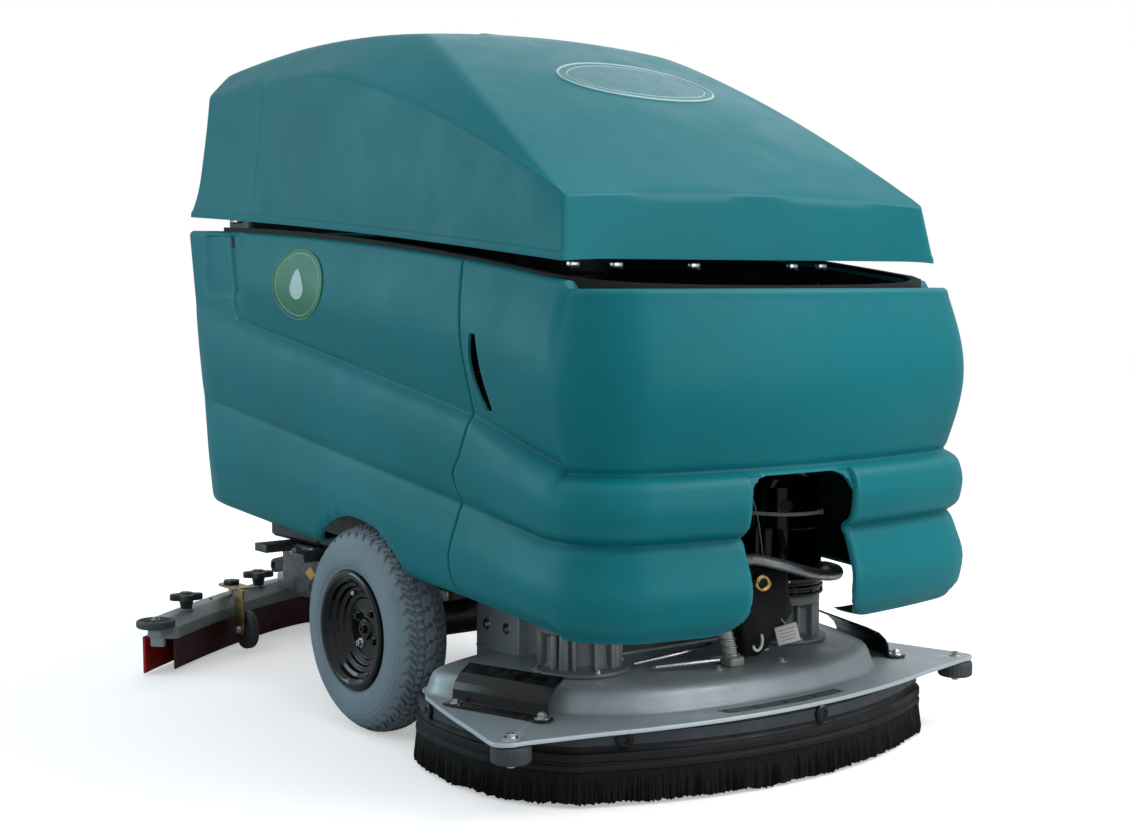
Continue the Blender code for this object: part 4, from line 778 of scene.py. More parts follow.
WHITE_LABEL = printed("blank_label", srgb(225, 225, 220), rough=0.5, blotch=(0.03, 20))
YELLOW_LABEL = printed("plain_yellow_label", srgb(196, 160, 60), rough=0.5, blotch=(0.05, 20))
PALE = printed("pale_print", srgb(178, 205, 205), rough=0.45, blotch=(0.04, 20))
GREEN_PRINT = printed("leaf_green_print", srgb(92, 150, 74), rough=0.45, blotch=(0.08, 14))
DECAL = printed("dark_decal", srgb(62, 70, 70), rough=0.42, blotch=(0.08, 30),
                grain=(0.1, 500, 0.0002))
DECAL_LINE = printed("decal_outline", srgb(28, 32, 33), rough=0.45, blotch=(0.1, 30),
                     grain=(0.1, 500, 0.0002))
DISC_GREEN = printed("disc_print", srgb(22, 112, 80), rough=0.42, blotch=(0.08, 14),
                     grain=(0.1, 400, 0.0002))
OVAL_FIELD = printed("oval_field", srgb(28, 116, 124), rough=0.4, blotch=(0.06, 14),
                     grain=(0.1, 400, 0.0002))


def bolt(at, axis, radius, height, mat=BRIGHT, washer=1.7, socket=True):
    """Hexagonal bolt head on a washer; washer is its radius over the head's, 0 for none."""
    parts, base = [], 0.0
    if washer:
        rim = radius * washer
        parts.append(lathe([(0.0, 0.0), (rim, 0.0), (rim, 0.0011), (rim - 0.0004, 0.0015),
                            (0.0, 0.0015)], at, axis, 24, mat))
        base = 0.0014
    top = base + height
    profile = [(0.0, base - 0.0004), (radius, base - 0.0004), (radius, top - radius * 0.12),
               (radius * 0.88, top)]
    if socket:
        floor = top - radius * 0.3
        profile += [(radius * 0.46, top), (radius * 0.42, floor), (0.0, floor)]
    else:
        profile.append((0.0, top))
    parts.append(lathe(profile, at, axis, 6, mat, angle=20))
    return parts


# ------------------------------------------------------------------ lower body: sizes
BODY_W, CORNER_R = 0.335, 0.090         # half width and front corner radius
CORNER_X, CORNER_Y = BODY_W - CORNER_R, -0.493
FRONT_Y, BOW_R = -0.610, 1.213          # bowed front
BOW_A = math.asin(CORNER_X / (BOW_R - CORNER_R))
REAR_CORNER_R = 0.040
SEAM_Y, TANK_SIDE_END = -0.27, 0.47     # nominal seam between shroud and tank, end of the side
SEAM_GAP = 0.0011                       # half the gap at the seam
WALL = 0.0046
ARCH_R, ARCH_Y = 0.168, 0.010
NOTCH_W, NOTCH_TOP, NOTCH_X = 0.090, 0.422, -0.041      # notch low in the front

# (z, y) points of the wavy seam
SEAM = spline([(0.225, -0.278), (0.250, -0.262), (0.290, -0.252), (0.340, -0.263),
               (0.378, -0.271), (0.398, -0.264), (0.415, -0.262), (0.440, -0.280),
               (0.500, -0.294), (0.600, -0.281), (0.700, -0.268)], 5)
SEAM_HEIGHTS, SEAM_STATIONS = np.array(SEAM).T

# (y, z) points of the crease that leaves the upper groove and turns up the side
CREASE_LINE = spline([(0.020, 0.545), (0.160, 0.570), (0.270, 0.588), (0.318, 0.599),
                      (0.340, 0.622), (0.3445, 0.670), (0.3445, 0.745)], 6)


def cosine_steps(n):
    return [(1 - math.cos(math.pi * k / n)) / 2 for k in range(n + 1)]


LOW_STEPS, MID_STEPS, TOP_STEPS = cosine_steps(16), cosine_steps(18), cosine_steps(38)


def z_top(y):
    t = y + 0.5
    return 0.671 + 0.1475 * t - 0.060 * t * t


def z_bottom(y):
    return 0.236 + 0.0755 * (y + 0.331)


def z_groove_low(y):
    return 0.343 + 0.14 * max(0.0, y + 0.467)


def z_groove_high(y):
    t = max(0.0, min(y, -0.276) + 0.56)
    return 0.431 + 0.26 * t * t / (t + 0.06) + 0.188 * max(0.0, y + 0.276)


def rear_y(z):
    return 0.524 + 0.176 * (z - 0.296)


def side_cut(y, z):
    """Depth of the narrow crease on the side."""
    nearest = 1.0
    for (y0, z0), (y1, z1) in zip(CREASE_LINE, CREASE_LINE[1:]):
        ly, lz = y1 - y0, z1 - z0
        t = clamp(((y - y0) * ly + (z - z0) * lz) / (ly * ly + lz * lz))
        nearest = min(nearest, math.hypot(y - y0 - ly * t, z - z0 - lz * t))
    return 0.0044 * math.exp(-(nearest / 0.0060) ** 2)


def body_profile(y):
    """(z, offset) pairs of the lower body's wall at station y, bottom to top."""
    full = 1.0 - 0.48 * ease(-0.49, -0.25, y)
    belly = full * (1 - ease(0.29, 0.345, y))
    roll = full * (1 - ease(0.43, 0.50, y))
    bottom, low, high, top = z_bottom(y), z_groove_low(y), z_groove_high(y), z_top(y)
    foot_r, top_r, bulge = 0.012, 0.009, 0.0245
    # lip turned under, and the rounded foot
    pts = [(bottom + 0.0050, -0.030), (bottom + 0.0030, -0.022)]
    pts += [(bottom + foot_r - foot_r * math.sin(a), 0.010 * roll - foot_r + foot_r * math.cos(a))
            for a in (1.5, 1.2, 0.9, 0.6, 0.3)]
    # swells below, between and above the two grooves
    start = bottom + foot_r
    swell = monotone_cubic([0, 0.12, 0.42, 0.76, 1],
                           [0.0135 * roll, 0.0225 * roll, 0.0275 * roll, 0.0170 * roll,
                            0.006 * roll], LOW_STEPS)
    pts += [(start + (low - start) * u, o) for u, o in zip(LOW_STEPS, swell)]
    swell = monotone_cubic([0, 0.20, 0.50, 0.82, 1],
                           [0.006 * roll, 0.0215 * roll, 0.0255 * roll, 0.0190 * roll, 0.0],
                           MID_STEPS)
    pts += [(low + (high - low) * u, o) for u, o in list(zip(MID_STEPS, swell))[1:]]
    end = top - top_r
    for u in TOP_STEPS[1:]:
        z = high + u * (end - high)
        pts.append((z, bulge * belly * math.sin(math.pi * u * 0.985) ** 1.1 - side_cut(y, z)))
    # rounded top edge and lip turned in
    edge = bulge * belly * math.sin(math.pi * 0.985) ** 1.1
    pts += [(end + top_r * math.sin(a), edge - top_r + top_r * math.cos(a))
            for a in (0.35, 0.7, 1.05, 1.4)]
    pts += [(top - 0.0004, -0.016), (top - 0.0030, -0.026)]
    # sink each groove a little deeper than the swells alone would
    z = np.array([p[0] for p in pts])
    offset = np.array([p[1] for p in pts])
    sink = 0.0026 * roll * full
    offset[7:-6] -= (sink * np.exp(-((z[7:-6] - low) / 0.0050) ** 2)
                     + sink * ease(0.05, -0.02, y) * np.exp(-((z[7:-6] - high) / 0.0050) ** 2))
    # round off the V of the grooves
    smoothed = offset.copy()
    for i in range(9, len(pts) - 8):
        weight = np.exp(-((z - z[i]) / 0.0024) ** 2)
        weight[:7] = 0
        weight[-6:] = 0
        smoothed[i] = (weight @ offset) / weight.sum()
    return list(zip(z, smoothed))


@cache
def wall_profiles(y):
    """The outer wall line at y and the same line one wall thickness further in."""
    outer = body_profile(y)
    P = np.array([(o, z) for z, o in outer])
    T = np.gradient(P, axis=0)
    T /= np.linalg.norm(T, axis=1)[:, None] + 1e-12
    inner = P + np.stack([-T[:, 1], T[:, 0]], axis=1) * WALL
    return outer, [(z, o) for o, z in inner]


def curl(distance, r=0.003):
    """How far a wall rounds inward at this distance from its edge."""
    return r - math.sqrt(max(r * r - (r - distance) ** 2, 0.0)) if distance < r else 0.0


def arch_pull(y, z):
    """Inward curl beside the wheel arch."""
    return curl(max(math.hypot(y - ARCH_Y, z - WHEEL_R) - ARCH_R, 0.0), r=0.008)


def notch_half():
    """(x, z) outline of the notch's +X half, flared at its foot."""
    r_top, r_low = 0.035, 0.045
    foot = z_bottom(-0.56)
    half = [(NOTCH_W + r_low, 0.20), (NOTCH_W + r_low, foot - 0.006)]
    half += [(NOTCH_W + r_low + r_low * math.cos(a), foot + r_low + r_low * math.sin(a))
             for a in np.radians(np.linspace(262, 180, 12))]
    half += [(NOTCH_W - r_top + r_top * math.cos(a), NOTCH_TOP - r_top + r_top * math.sin(a))
             for a in np.radians(np.linspace(0, 90, 12))]
    return half


NOTCH_RING = notch_half() + mirror_x(notch_half())
NOTCH_EDGES = [(np.array(a), np.array(b)) for a, b in zip(NOTCH_RING[1:-1], NOTCH_RING[2:-1])]


def notch_pull(x, z):
    """Inward curl beside the notch."""
    p = np.array([x - NOTCH_X, z])
    if abs(p[0]) > 0.16 or z > 0.46:
        return 0.0
    nearest = 1.0
    for a, b in NOTCH_EDGES:
        edge = b - a
        t = min(1.0, max(0.0, float((p - a) @ edge / (edge @ edge))))
        nearest = min(nearest, float(np.linalg.norm(p - a - edge * t)))
    inside = abs(p[0]) < NOTCH_W and z < NOTCH_TOP
    return curl(0.0 if inside and nearest > 0.001 else nearest, r=0.007)


def rear_recess(y, z):
    """Shallow sunk rectangle on the side near the back, under the top edge."""
    middle_y, middle_z, half_y, half_z = 0.4410, 0.699, 0.070, 0.051
    inside = min(half_y - abs(y - middle_y), half_z - abs(z - middle_z))
    return 0.0040 * ease(0.0, 0.0045, inside)


def wall_point(kind, at, sign, z, offset):
    """A point of the wall. at is y on the sides, x across the back, else an angle."""
    if kind in ("tank", "shroud"):
        seam = np.interp(z, SEAM_HEIGHTS, SEAM_STATIONS)
        if kind == "tank":
            seam += SEAM_GAP
            y = seam + (clamp((at - SEAM_Y) / (TANK_SIDE_END - SEAM_Y))
                        * (rear_y(z) - REAR_CORNER_R - seam))
            pull = arch_pull(y, z) + rear_recess(y, z) + curl(y - seam)
        else:
            seam -= SEAM_GAP
            y = seam + clamp((at - SEAM_Y) / (CORNER_Y - SEAM_Y)) * (CORNER_Y - seam)
            pull = curl(seam - y)
        return (sign * (BODY_W + offset - pull), y, z)
    if kind == "rear_corner":
        r = REAR_CORNER_R + offset
        return (sign * (BODY_W - REAR_CORNER_R + r * math.cos(at)),
                rear_y(z) - REAR_CORNER_R + r * math.sin(at), z)
    if kind == "rear":
        return (sign * at, rear_y(z) + offset, z)
    if kind == "front_corner":
        r = CORNER_R + offset
        return (sign * (CORNER_X + r * math.cos(at)), CORNER_Y - r * math.sin(at), z)
    r = BOW_R + offset - notch_pull(sign * (BOW_R + offset) * math.sin(at), z)
    return (sign * r * math.sin(at), FRONT_Y + BOW_R - r * math.cos(at), z)


def column(kind, at, sign):
    """One upright section: outer wall bottom to top, then the inner wall top to bottom."""
    station = {"tank": at, "shroud": at, "rear": 0.52,
               "rear_corner": TANK_SIDE_END + REAR_CORNER_R * math.sin(at)}.get(kind, -0.56)
    outer, inner = ([wall_point(kind, at, sign, z, o) for z, o in profile]
                    for profile in wall_profiles(station))
    return outer + inner[::-1]


def shell(half):
    """Thick wall through the half's (kind, at) columns and their mirror images."""
    cols = [column(k, v, 1) for k, v in half] + [column(k, v, -1) for k, v in reversed(half[:-1])]
    C = len(cols[0])
    n = C // 2
    ob = grid(cols, TEAL, close_u=True)
    with editing(ob.data) as bm:
        bm.verts.ensure_lookup_table()
        # close the wall's two free ends
        for base in (0, (len(cols) - 1) * C):
            for i in range(n - 1):
                bm.faces.new([bm.verts[base + j] for j in (i, i + 1, C - 2 - i, C - 1 - i)])
        tidy(bm)
        bm.faces.ensure_lookup_table()
        # the inner wall takes the dark inside teal, painted shade
        for k in range((len(cols) - 1) * C):
            if n <= k % C < C - 1:
                bm.faces[k].material_index = 1
    ob.data.materials.append(TEAL_SHADED_INSIDE)
    return ob


def fine_steps(start, end, near, coarse, fine, band):
    """Stations from start to end, fine within band of any value in near."""
    out, v = [start], start
    while v < end - 1e-9:
        v += fine if any(abs(v - n) < band for n in near) else coarse
        out.append(min(v, end))
    return out


def beside_seam(sign):
    """Tight stations next to the seam."""
    return [SEAM_Y + sign * d for d in (0, 0.0003, 0.0009, 0.0019, 0.0033)]


def build_solution_tank():
    side = beside_seam(1) + fine_steps(-0.262, TANK_SIDE_END, near=(-0.16, 0.18, 0.345, 0.371),
                                       coarse=0.0065, fine=0.0032, band=0.026)
    half = [("tank", y) for y in side]
    half += [("rear_corner", math.radians(a)) for a in range(9, 91, 9)]
    half += [("rear", x) for x in np.linspace(0.28, 0.0, 15)]
    tank = shell(half)
    for _, sign in SIDES:
        cut(tank, disc(ARCH_R, 0.09, -0.09, (sign * 0.34, ARCH_Y, WHEEL_R), "X", 96, None))
    shade(tank, 40)
    piece("solution_tank_moulding", "chassis", [tank], "solution_tank")


def shroud_slot():
    """(y, z) outline of the bent, tapering slot in each side of the shroud."""
    front, back = [], []
    for k in range(25):
        u = k / 24
        z = 0.602 - 0.102 * u
        bend = 0.012 * math.sin(math.pi * u)
        y = -0.312 - 0.026 * u + bend * 0.6
        w = 0.0130 * math.sin(math.pi * min(1.0, 0.12 + 0.80 * (1 - u))) ** 0.5 + 0.0004
        front.append((y - w, z))
        back.append((y + w, z))
    return front + back[::-1]


def build_front_shroud():
    half = [("shroud", y) for y in beside_seam(-1) + list(np.linspace(-0.28, CORNER_Y, 26))]
    half += [("front_corner", (math.pi / 2 - BOW_A) * k / 16) for k in range(1, 17)]
    across = fine_steps(0.0, CORNER_X, near=(0.05, 0.131, 0.094, 0.176), coarse=0.0055,
                        fine=0.0035, band=0.02)
    half += [("bow", math.asin(x / BOW_R)) for x in across[-2::-1]]
    shroud = shell(half)
    cut(shroud, slab(NOTCH_RING, 0.24, (NOTCH_X, -0.60, 0), FACING_Y))
    for _, sign in SIDES:
        cut(shroud, slab(shroud_slot(), 0.06, (sign * 0.345, 0, 0), FACING_X))
    shade(shroud, 40)
    piece("front_shroud_moulding", "shroud", [shroud], "front_shroud")


# ------------------------------------------------------------------ recovery tank cover and lid
COVER_W0, COVER_W1 = 0.341, 0.335       # half width at the foot and at the side crease
LID_X, LID_Y0, LID_Y1 = 0.130, 0.120, 0.420
LID_MID = (LID_Y0 + LID_Y1) / 2
COVER_STATIONS = (
    -0.485, -0.462, -0.42, -0.37, -0.32, -0.27, -0.22, -0.17, -0.12, -0.075, -0.03, 0.015, 0.07,
    0.13, 0.19, 0.25, 0.284, 0.2925, 0.30, 0.34, 0.40, 0.455, 0.485, 0.50)
STEP_ROWS = ((16, 0.75), (18, 0.55))    # stations beside the step in the side, and crease there
FLOOR_N, SIDE_N, ROOF_N = 6, 8, 5       # points of a half section
SHOULDER = FLOOR_N + SIDE_N - 1         # index of the roof's edge
ROOF_TOP = SHOULDER + ROOF_N            # index of the roof's middle


def cover_z(y):
    t = y + 0.504
    return 0.694 + 0.1134 * t - 0.0279 * t * t


def side_crease_z(y):
    t = max(0.0, 0.10 - y)
    return min(0.985, 0.985 - 0.153 * t - 0.327 * t * t) - 0.06 * max(0.0, y - 0.33) ** 1.3


def top_crease(y):
    """(x, z) of the roof's edge."""
    if y > -0.03:
        return 0.232 + 0.066 * (y + 0.03) / 0.53, 1.046 - 0.255 * (y - 0.17) ** 2
    s = clamp((-0.03 - y) / 0.455)
    return 0.232 + 0.096 * (1 - (1 - s) ** 1.3), 1.036 - 0.257 * (0.65 * s + 0.35 * s * s)


def roof_z(x, y):
    edge_x, edge_z = top_crease(y)
    crown = 0.012 + 0.007 * ease(-0.03, -0.20, y) - 0.010 * ease(-0.30, -0.49, y)
    return edge_z + crown * (1 - (x / edge_x) ** 2)


def cover_rear_y(z):
    return 0.558 - 0.303 * (z - 0.783)


def cover_front_y(z):
    return -0.504 + 0.014 * (z - 0.694) / 0.082


def cover_section(y):
    """Closed ring of points at a station: floor, lip, side, chamfer and roof."""
    base = cover_z(y)
    edge_x, edge_z = top_crease(y)
    crease_x = COVER_W1 - 0.007 * ease(-0.40, -0.49, y)
    crease_z = min(side_crease_z(y), edge_z)
    step = 0.0095 * ease(0.2875, 0.2965, y)
    half = [(COVER_W0 * k * 0.95, base + 0.003) for k in (0.0, 0.2, 0.4, 0.6, 0.8, 1.0)]
    half += [(COVER_W0 + 0.0005, base), (COVER_W0 + 0.0008, base + 0.0085),
             (COVER_W0 - 0.0016, base + 0.0120)]
    half += [(COVER_W0 + (crease_x - COVER_W0) * u - step * (1 - 0.5 * u),
              base + (crease_z - base) * u) for u in (0.22, 0.5, 0.78)]
    half += [(crease_x - step * 0.3, crease_z), (edge_x, edge_z)]
    half += [(edge_x * k, roof_z(edge_x * k, y)) for k in (0.8, 0.6, 0.4, 0.2, 0.0)]
    t = (y - COVER_STATIONS[0]) / (COVER_STATIONS[-1] - COVER_STATIONS[0])
    return [(x, cover_front_y(z) + (cover_rear_y(z) - cover_front_y(z)) * t, z)
            for x, z in whole(half)]


def cap_cover(bm, ring):
    """Closes an end with a grid: floor points against roof points, side points between."""
    middle = None
    for sign in (1, -1):
        def at(i):
            return ring[i if sign > 0 else (len(ring) - i) % len(ring)]
        low, high = at(FLOOR_N).co.z, at(SHOULDER).co.z
        cols = [middle] if middle else []
        for c in range(len(cols), FLOOR_N - 1):
            floor, roof = at(c), at(ROOF_TOP - c)
            col = [floor]
            for j in range(FLOOR_N, SHOULDER):
                f = (at(j).co.z - low) / (high - low)
                col.append(bm.verts.new((
                    floor.co.x + (roof.co.x - floor.co.x) * f,
                    floor.co.y + (roof.co.y - floor.co.y) * f,
                    floor.co.z + (roof.co.z - floor.co.z) * (0.02 + 0.98 * f))))
            cols.append(col + [roof])
        middle = cols[0]
        cols.append([at(j) for j in range(FLOOR_N - 1, SHOULDER + 1)])
        for a, b in zip(cols, cols[1:]):
            for j in range(len(a) - 1):
                bm.faces.new((a[j], b[j], b[j + 1], a[j + 1]))


def cover_cage():
    """Coarse cage of the cover with part-sharp creases."""
    bm = bmesh.new()
    V = [[bm.verts.new(p) for p in cover_section(y)] for y in COVER_STATIONS]
    C = len(V[0])
    for i in range(len(V) - 1):
        for k in range(C):
            m = (k + 1) % C
            bm.faces.new((V[i][k], V[i][m], V[i + 1][m], V[i + 1][k]))
    cap_cover(bm, V[0])
    cap_cover(bm, V[-1])
    layer = bm.edges.layers.float.new("crease_edge")

    def crease(a, b, weight):
        edge = bm.edges.get((a, b))
        edge[layer] = max(edge[layer], weight)

    # along the machine: lip, side crease, roof edge
    for index, weight in ((FLOOR_N, 0.55), (FLOOR_N + 1, 0.5), (FLOOR_N + 2, 0.5),
                          (SHOULDER - 1, 0.62), (SHOULDER, None)):
        for i in range(len(V) - 1):
            w = weight or 0.40 + 0.16 * ease(-0.03, -0.3, COVER_STATIONS[i])
            for k in (index, C - index):
                crease(V[i][k], V[i + 1][k], w)
    # across it: both ends, and the step in the sides
    for k in range(C):
        m = (k + 1) % C
        crease(V[0][k], V[0][m], 0.52)
        crease(V[-1][k], V[-1][m], 0.40)
        if FLOOR_N + 2 <= k < SHOULDER or C - SHOULDER <= k < C - FLOOR_N - 2:
            for row, weight in STEP_ROWS:
                crease(V[row][k], V[row][m], weight)
    tidy(bm, merge=0.0002)
    mesh = bpy.data.meshes.new("cover")
    bm.to_mesh(mesh)
    bm.free()
    mesh.materials.append(TEAL)
    return add_object("cover", mesh)


def build_cover():
    cover = cover_cage()
    subsurf = cover.modifiers.new("s", "SUBSURF")
    subsurf.levels = subsurf.render_levels = 3
    bake(cover)
    # pocket under the lid, its walls in the dark inside teal that paints shade
    cut(cover, box((0, LID_MID, 0.95), (2 * LID_X - 0.004, LID_Y1 - LID_Y0 - 0.004, 0.33),
                   0.018, 3, TEAL_SHADED_INSIDE))
    shade(cover, 46)
    # hinge knuckle on the +X side, and its web
    web = box((0.3370, 0.050, 0.7500), (0.019, 0.120, 0.013), 0.002, 2, TEAL,
              tilt=math.atan(0.088))
    knuckle = collar(0.0040, 0.0075, -0.075, 0.075, (0.352, 0.050, 0.7405), (0, 0.996, 0.0877),
                     24, TEAL, 0.001)
    piece("recovery_tank_moulding", "tank", [cover, web, knuckle], "recovery_tank")


# (share of the outline, height over the roof) from the turned-down edge in, then underneath
LID_PROFILE = (
    (1.0, -0.0030), (1.0, 0.0012), (0.997, 0.0030), (0.988, 0.0038), (0.955, 0.0040),
    (0.95, 0.0028), (0.93, 0.0026), (0.75, 0.0028), (0.5, 0.0028), (0.25, 0.0028),
    (0.02, 0.0028), (0.02, -0.0026), (0.5, -0.0026), (0.97, -0.0030))


def build_lid():
    """Crowned panel with a latch at the front edge and a hinge bar at the back."""
    ring = resample(rounded_rect(2 * LID_X - 0.006, LID_Y1 - LID_Y0 - 0.006, 0.022, 8, LID_MID),
                    0.006, True)
    rows = []
    for f, lift in LID_PROFILE:
        inset = [(x * f, LID_MID + (y - LID_MID) * f) for x, y in ring]
        rows.append([(x, y, roof_z(x, y) + lift) for x, y in inset])
    parts = [grid(rows, TEAL, close_u=True, close_v=True, angle=50)]
    latch_z = roof_z(0, LID_Y0 + 0.02)
    parts.append(box((0, LID_Y0 + 0.021, latch_z + 0.0065), (0.058, 0.024, 0.0110),
                     0.0048, 5, TEAL))
    parts.append(box((0, LID_Y0 + 0.011, latch_z + 0.0075), (0.040, 0.006, 0.0060),
                     0.0022, 3, PLASTIC))
    hinge_z = roof_z(0, LID_Y1)
    for half_length, radius, sides, mat in ((0.098, 0.0048, 20, TEAL),
                                            (0.100, 0.0022, 12, BRIGHT)):
        y, z = LID_Y1 - 0.004, hinge_z + 0.0060
        parts.append(rod((-half_length, y, z), (half_length, y, z), radius, sides, mat))
    for x in (-0.07, 0.0, 0.07):
        parts.append(box((x, LID_Y1 - 0.012, hinge_z + 0.0042), (0.030, 0.018, 0.0045),
                         0.0015, 2, TEAL))
    piece("tank_lid_panel", "lid", parts, "tank_lid")


build_solution_tank()
build_front_shroud()
build_cover()
build_lid()


# ------------------------------------------------------------------ drive tyres and rims
TYRE_MID = 0.045                        # height of the tyre's middle plane from its inner face
TREAD_N = 40                            # tread blocks round the tyre
TYRE_STEPS = 480
# (radius, height) points of the tyre's section, outer side to inner side
TYRE_SECTION = (
    (0.0815, 0.0745), (0.0860, 0.0815), (0.0955, 0.0878), (0.1080, 0.0900), (0.1210, 0.0885),
    (0.1320, 0.0845), (0.1420, 0.0772), (0.1490, 0.0690), (0.1535, 0.0600), (0.1550, 0.0500),
    (0.1550, 0.0400), (0.1535, 0.0300), (0.1490, 0.0210), (0.1420, 0.0128), (0.1320, 0.0055),
    (0.1210, 0.0015), (0.1080, 0.0), (0.0955, 0.0022), (0.0860, 0.0085), (0.0815, 0.0155))
# raised rings on the sidewall: radius, width, height
SIDEWALL_RINGS = ((0.1005, 0.0008, 0.0006), (0.1235, 0.0007, 0.0005), (0.1300, 0.0007, 0.0005),
                  (0.0915, 0.0012, 0.0010))
# (radius, height) points of the dished rim
RIM_PROFILE = (
    (0.0, 0.0660), (0.0150, 0.0660), (0.0172, 0.0615), (0.0450, 0.0610), (0.0475, 0.0640),
    (0.0545, 0.0655), (0.0560, 0.0700), (0.0630, 0.0715), (0.0650, 0.0775), (0.0705, 0.0800),
    (0.0725, 0.0865), (0.0765, 0.0895), (0.0795, 0.0918), (0.0850, 0.0918), (0.0885, 0.0900),
    (0.0885, 0.0870), (0.0830, 0.0810), (0.0800, 0.0765), (0.0800, 0.0130), (0.0865, 0.0030),
    (0.0850, 0.0015), (0.0740, 0.0060), (0.0740, 0.0640), (0.0560, 0.0600), (0.0440, 0.0540),
    (0.0260, 0.0540), (0.0260, -0.0110), (0.0, -0.0110))


def tread(a, h):
    """Radius change cut into the tyre at angle a and height h across its width."""
    u = abs(h - TYRE_MID)
    sign = 1 if h > TYRE_MID else -1
    phase = a * TREAD_N / (2 * math.pi)
    if u < 0.0085:                                   # centre blocks
        f = (phase + 0.18 * sign * (u > 0.004)) % 1
        depth = 0.0042 if f < 0.24 else 0.0
    elif u < 0.0108:                                 # groove
        depth = 0.0046
    elif u < 0.0190:                                 # narrow toothed row
        f = (phase * 2 + 0.5) % 1
        depth = 0.0036 if f < 0.34 else (0.0008 if u > 0.0165 and f > 0.8 else 0.0)
    elif u < 0.0208:                                 # bridged groove
        f = (phase + 0.5) % 1
        depth = 0.0040 if f > 0.12 else 0.0016
    else:                                            # shoulder: hooked lugs
        v = (u - 0.0208) / 0.0150
        f = (phase + 0.30 * abs((v * 2) % 2 - 1)) % 1
        depth = 0.0046 if f < 0.30 else (0.0026 if 0.52 < f < 0.64 and v < 0.55 else 0.0)
        depth *= 1 - 0.35 * v
    return -depth * (1 - ease(0.0300, 0.0385, u))


def make_tyre(side, sign):
    profile = []
    for r, h in resample(spline(TYRE_SECTION, 10), 0.0011):
        raised = sum(d * math.exp(-((r - c) / w) ** 2) for c, w, d in SIDEWALL_RINGS)
        profile.append((float(r), float(h + raised * (1 if h > TYRE_MID else -1))))
    rows = []
    for a in turns(TYRE_STEPS):
        row = []
        for r, h in profile:
            cut_r = r + (tread(a, h) if r > 0.134 else 0.0)
            row.append((cut_r * math.cos(a), cut_r * math.sin(a), h))
        rows.append(row)
    ob = grid(rows, TYRE, close_u=True, close_v=True, angle=32)
    ob.data.transform(Matrix.Translation((sign * TYRE_IN, 0, WHEEL_R)) @ along(outward(sign)))
    # the tread is dirtier than the sidewalls
    ob.data.materials.append(TYRE_TREAD)
    for p in ob.data.polygons:
        if math.hypot(p.center.y, p.center.z - WHEEL_R) > 0.1425:
            p.material_index = 1
    piece(f"drive_tyre_{side}_lugged", f"drive_wheel_{side}", [ob], f"drive_tyre_{side}")


def make_rim(side, sign):
    """Dished rim with four bolts, a hub nut and a valve stem."""
    parts = [lathe(RIM_PROFILE, (0, 0, 0), "Z", 96, GLOSS_BLACK, 0.0014, 3, angle=50)]
    # the four bolts are alike: one is bright zinc as a painted highlight, three are gloss black as
    # painted shade
    for k in range(4):
        at = around((0, 0), 0.028675, math.radians(-56 + 90 * k), 0.0612)
        parts += bolt(at, "Z", 0.0052, 0.0055, BRIGHT if k == 0 else GLOSS_BLACK, 1.5)
    parts += bolt((0, 0, 0.0655), "Z", 0.0070, 0.0045, GLOSS_BLACK, 1.5)
    valve = math.radians(100)
    parts.append(lathe(
        [(0.0, 0.0), (0.0042, 0.0), (0.0042, 0.004), (0.0030, 0.006), (0.0030, 0.016),
         (0.0036, 0.0163), (0.0036, 0.0225), (0.0028, 0.0235), (0.0, 0.0235)],
        around((0, 0), 0.0600, valve, 0.0690), (0.12 * math.cos(valve), -0.05, 0.9), 16, BRIGHT))
    # drawing x runs rearward, drawing y up, drawing z outward
    frame = Matrix(((0, 0, sign, 0), (1, 0, 0, 0), (0, 1, 0, 0), (0, 0, 0, 1)))
    place(parts, Matrix.Translation((sign * TYRE_IN, 0, WHEEL_R)) @ frame)
    piece(f"wheel_rim_{side}_dished", f"drive_wheel_{side}", parts, f"wheel_rim_{side}")


for side, sign in SIDES:
    make_tyre(side, sign)
    make_rim(side, sign)


# ------------------------------------------------------------------ deck casting
EAR = (0.4135, -0.492)                  # bumper roller axis, +X side
MOTOR = (0.190, -0.340)                 # brush motor axis, +X side
DECK_MID_Y = -0.33
# (x, y) points of the flange's +X half, front to back; the bowed front comes first
FLANGE_PTS = [(0.075 * k, -0.582 + 0.50 * (0.075 * k) ** 2) for k in range(5)] + [
    (0.400, -0.515), (0.425, -0.512), (0.441, -0.500), (0.441, -0.480), (0.425, -0.420),
    (0.409, -0.353), (0.392, -0.290), (0.373, -0.230), (0.346, -0.187), (0.255, -0.147),
    (0.150, -0.114), (0.0, -0.108)]
# the same for the foot of the raised plateau
PLATEAU_PTS = [
    (0.0, -0.534), (0.075, -0.530), (0.140, -0.520), (0.195, -0.505), (0.240, -0.483),
    (0.275, -0.455), (0.297, -0.425), (0.312, -0.395), (0.324, -0.360), (0.333, -0.325),
    (0.343, -0.292), (0.362, -0.262), (0.366, -0.226), (0.340, -0.188), (0.250, -0.150),
    (0.148, -0.126), (0.0, -0.122)]


def curve_at(points, t, tension):
    """Hermite curve through a half outline, mirrored past its ends; t counts points."""
    padded = mirror_x(points[1:2]) + points + mirror_x(points[-2:-1])
    k = min(int(t), len(points) - 2)
    f = t - k
    before, a, b, after = padded[k:k + 4]
    return tuple((2 * f ** 3 - 3 * f * f + 1) * a[i]
                 + (f ** 3 - 2 * f * f + f) * tension * (b[i] - before[i])
                 + (-2 * f ** 3 + 3 * f * f) * b[i]
                 + (f ** 3 - f * f) * tension * (after[i] - a[i]) for i in (0, 1))


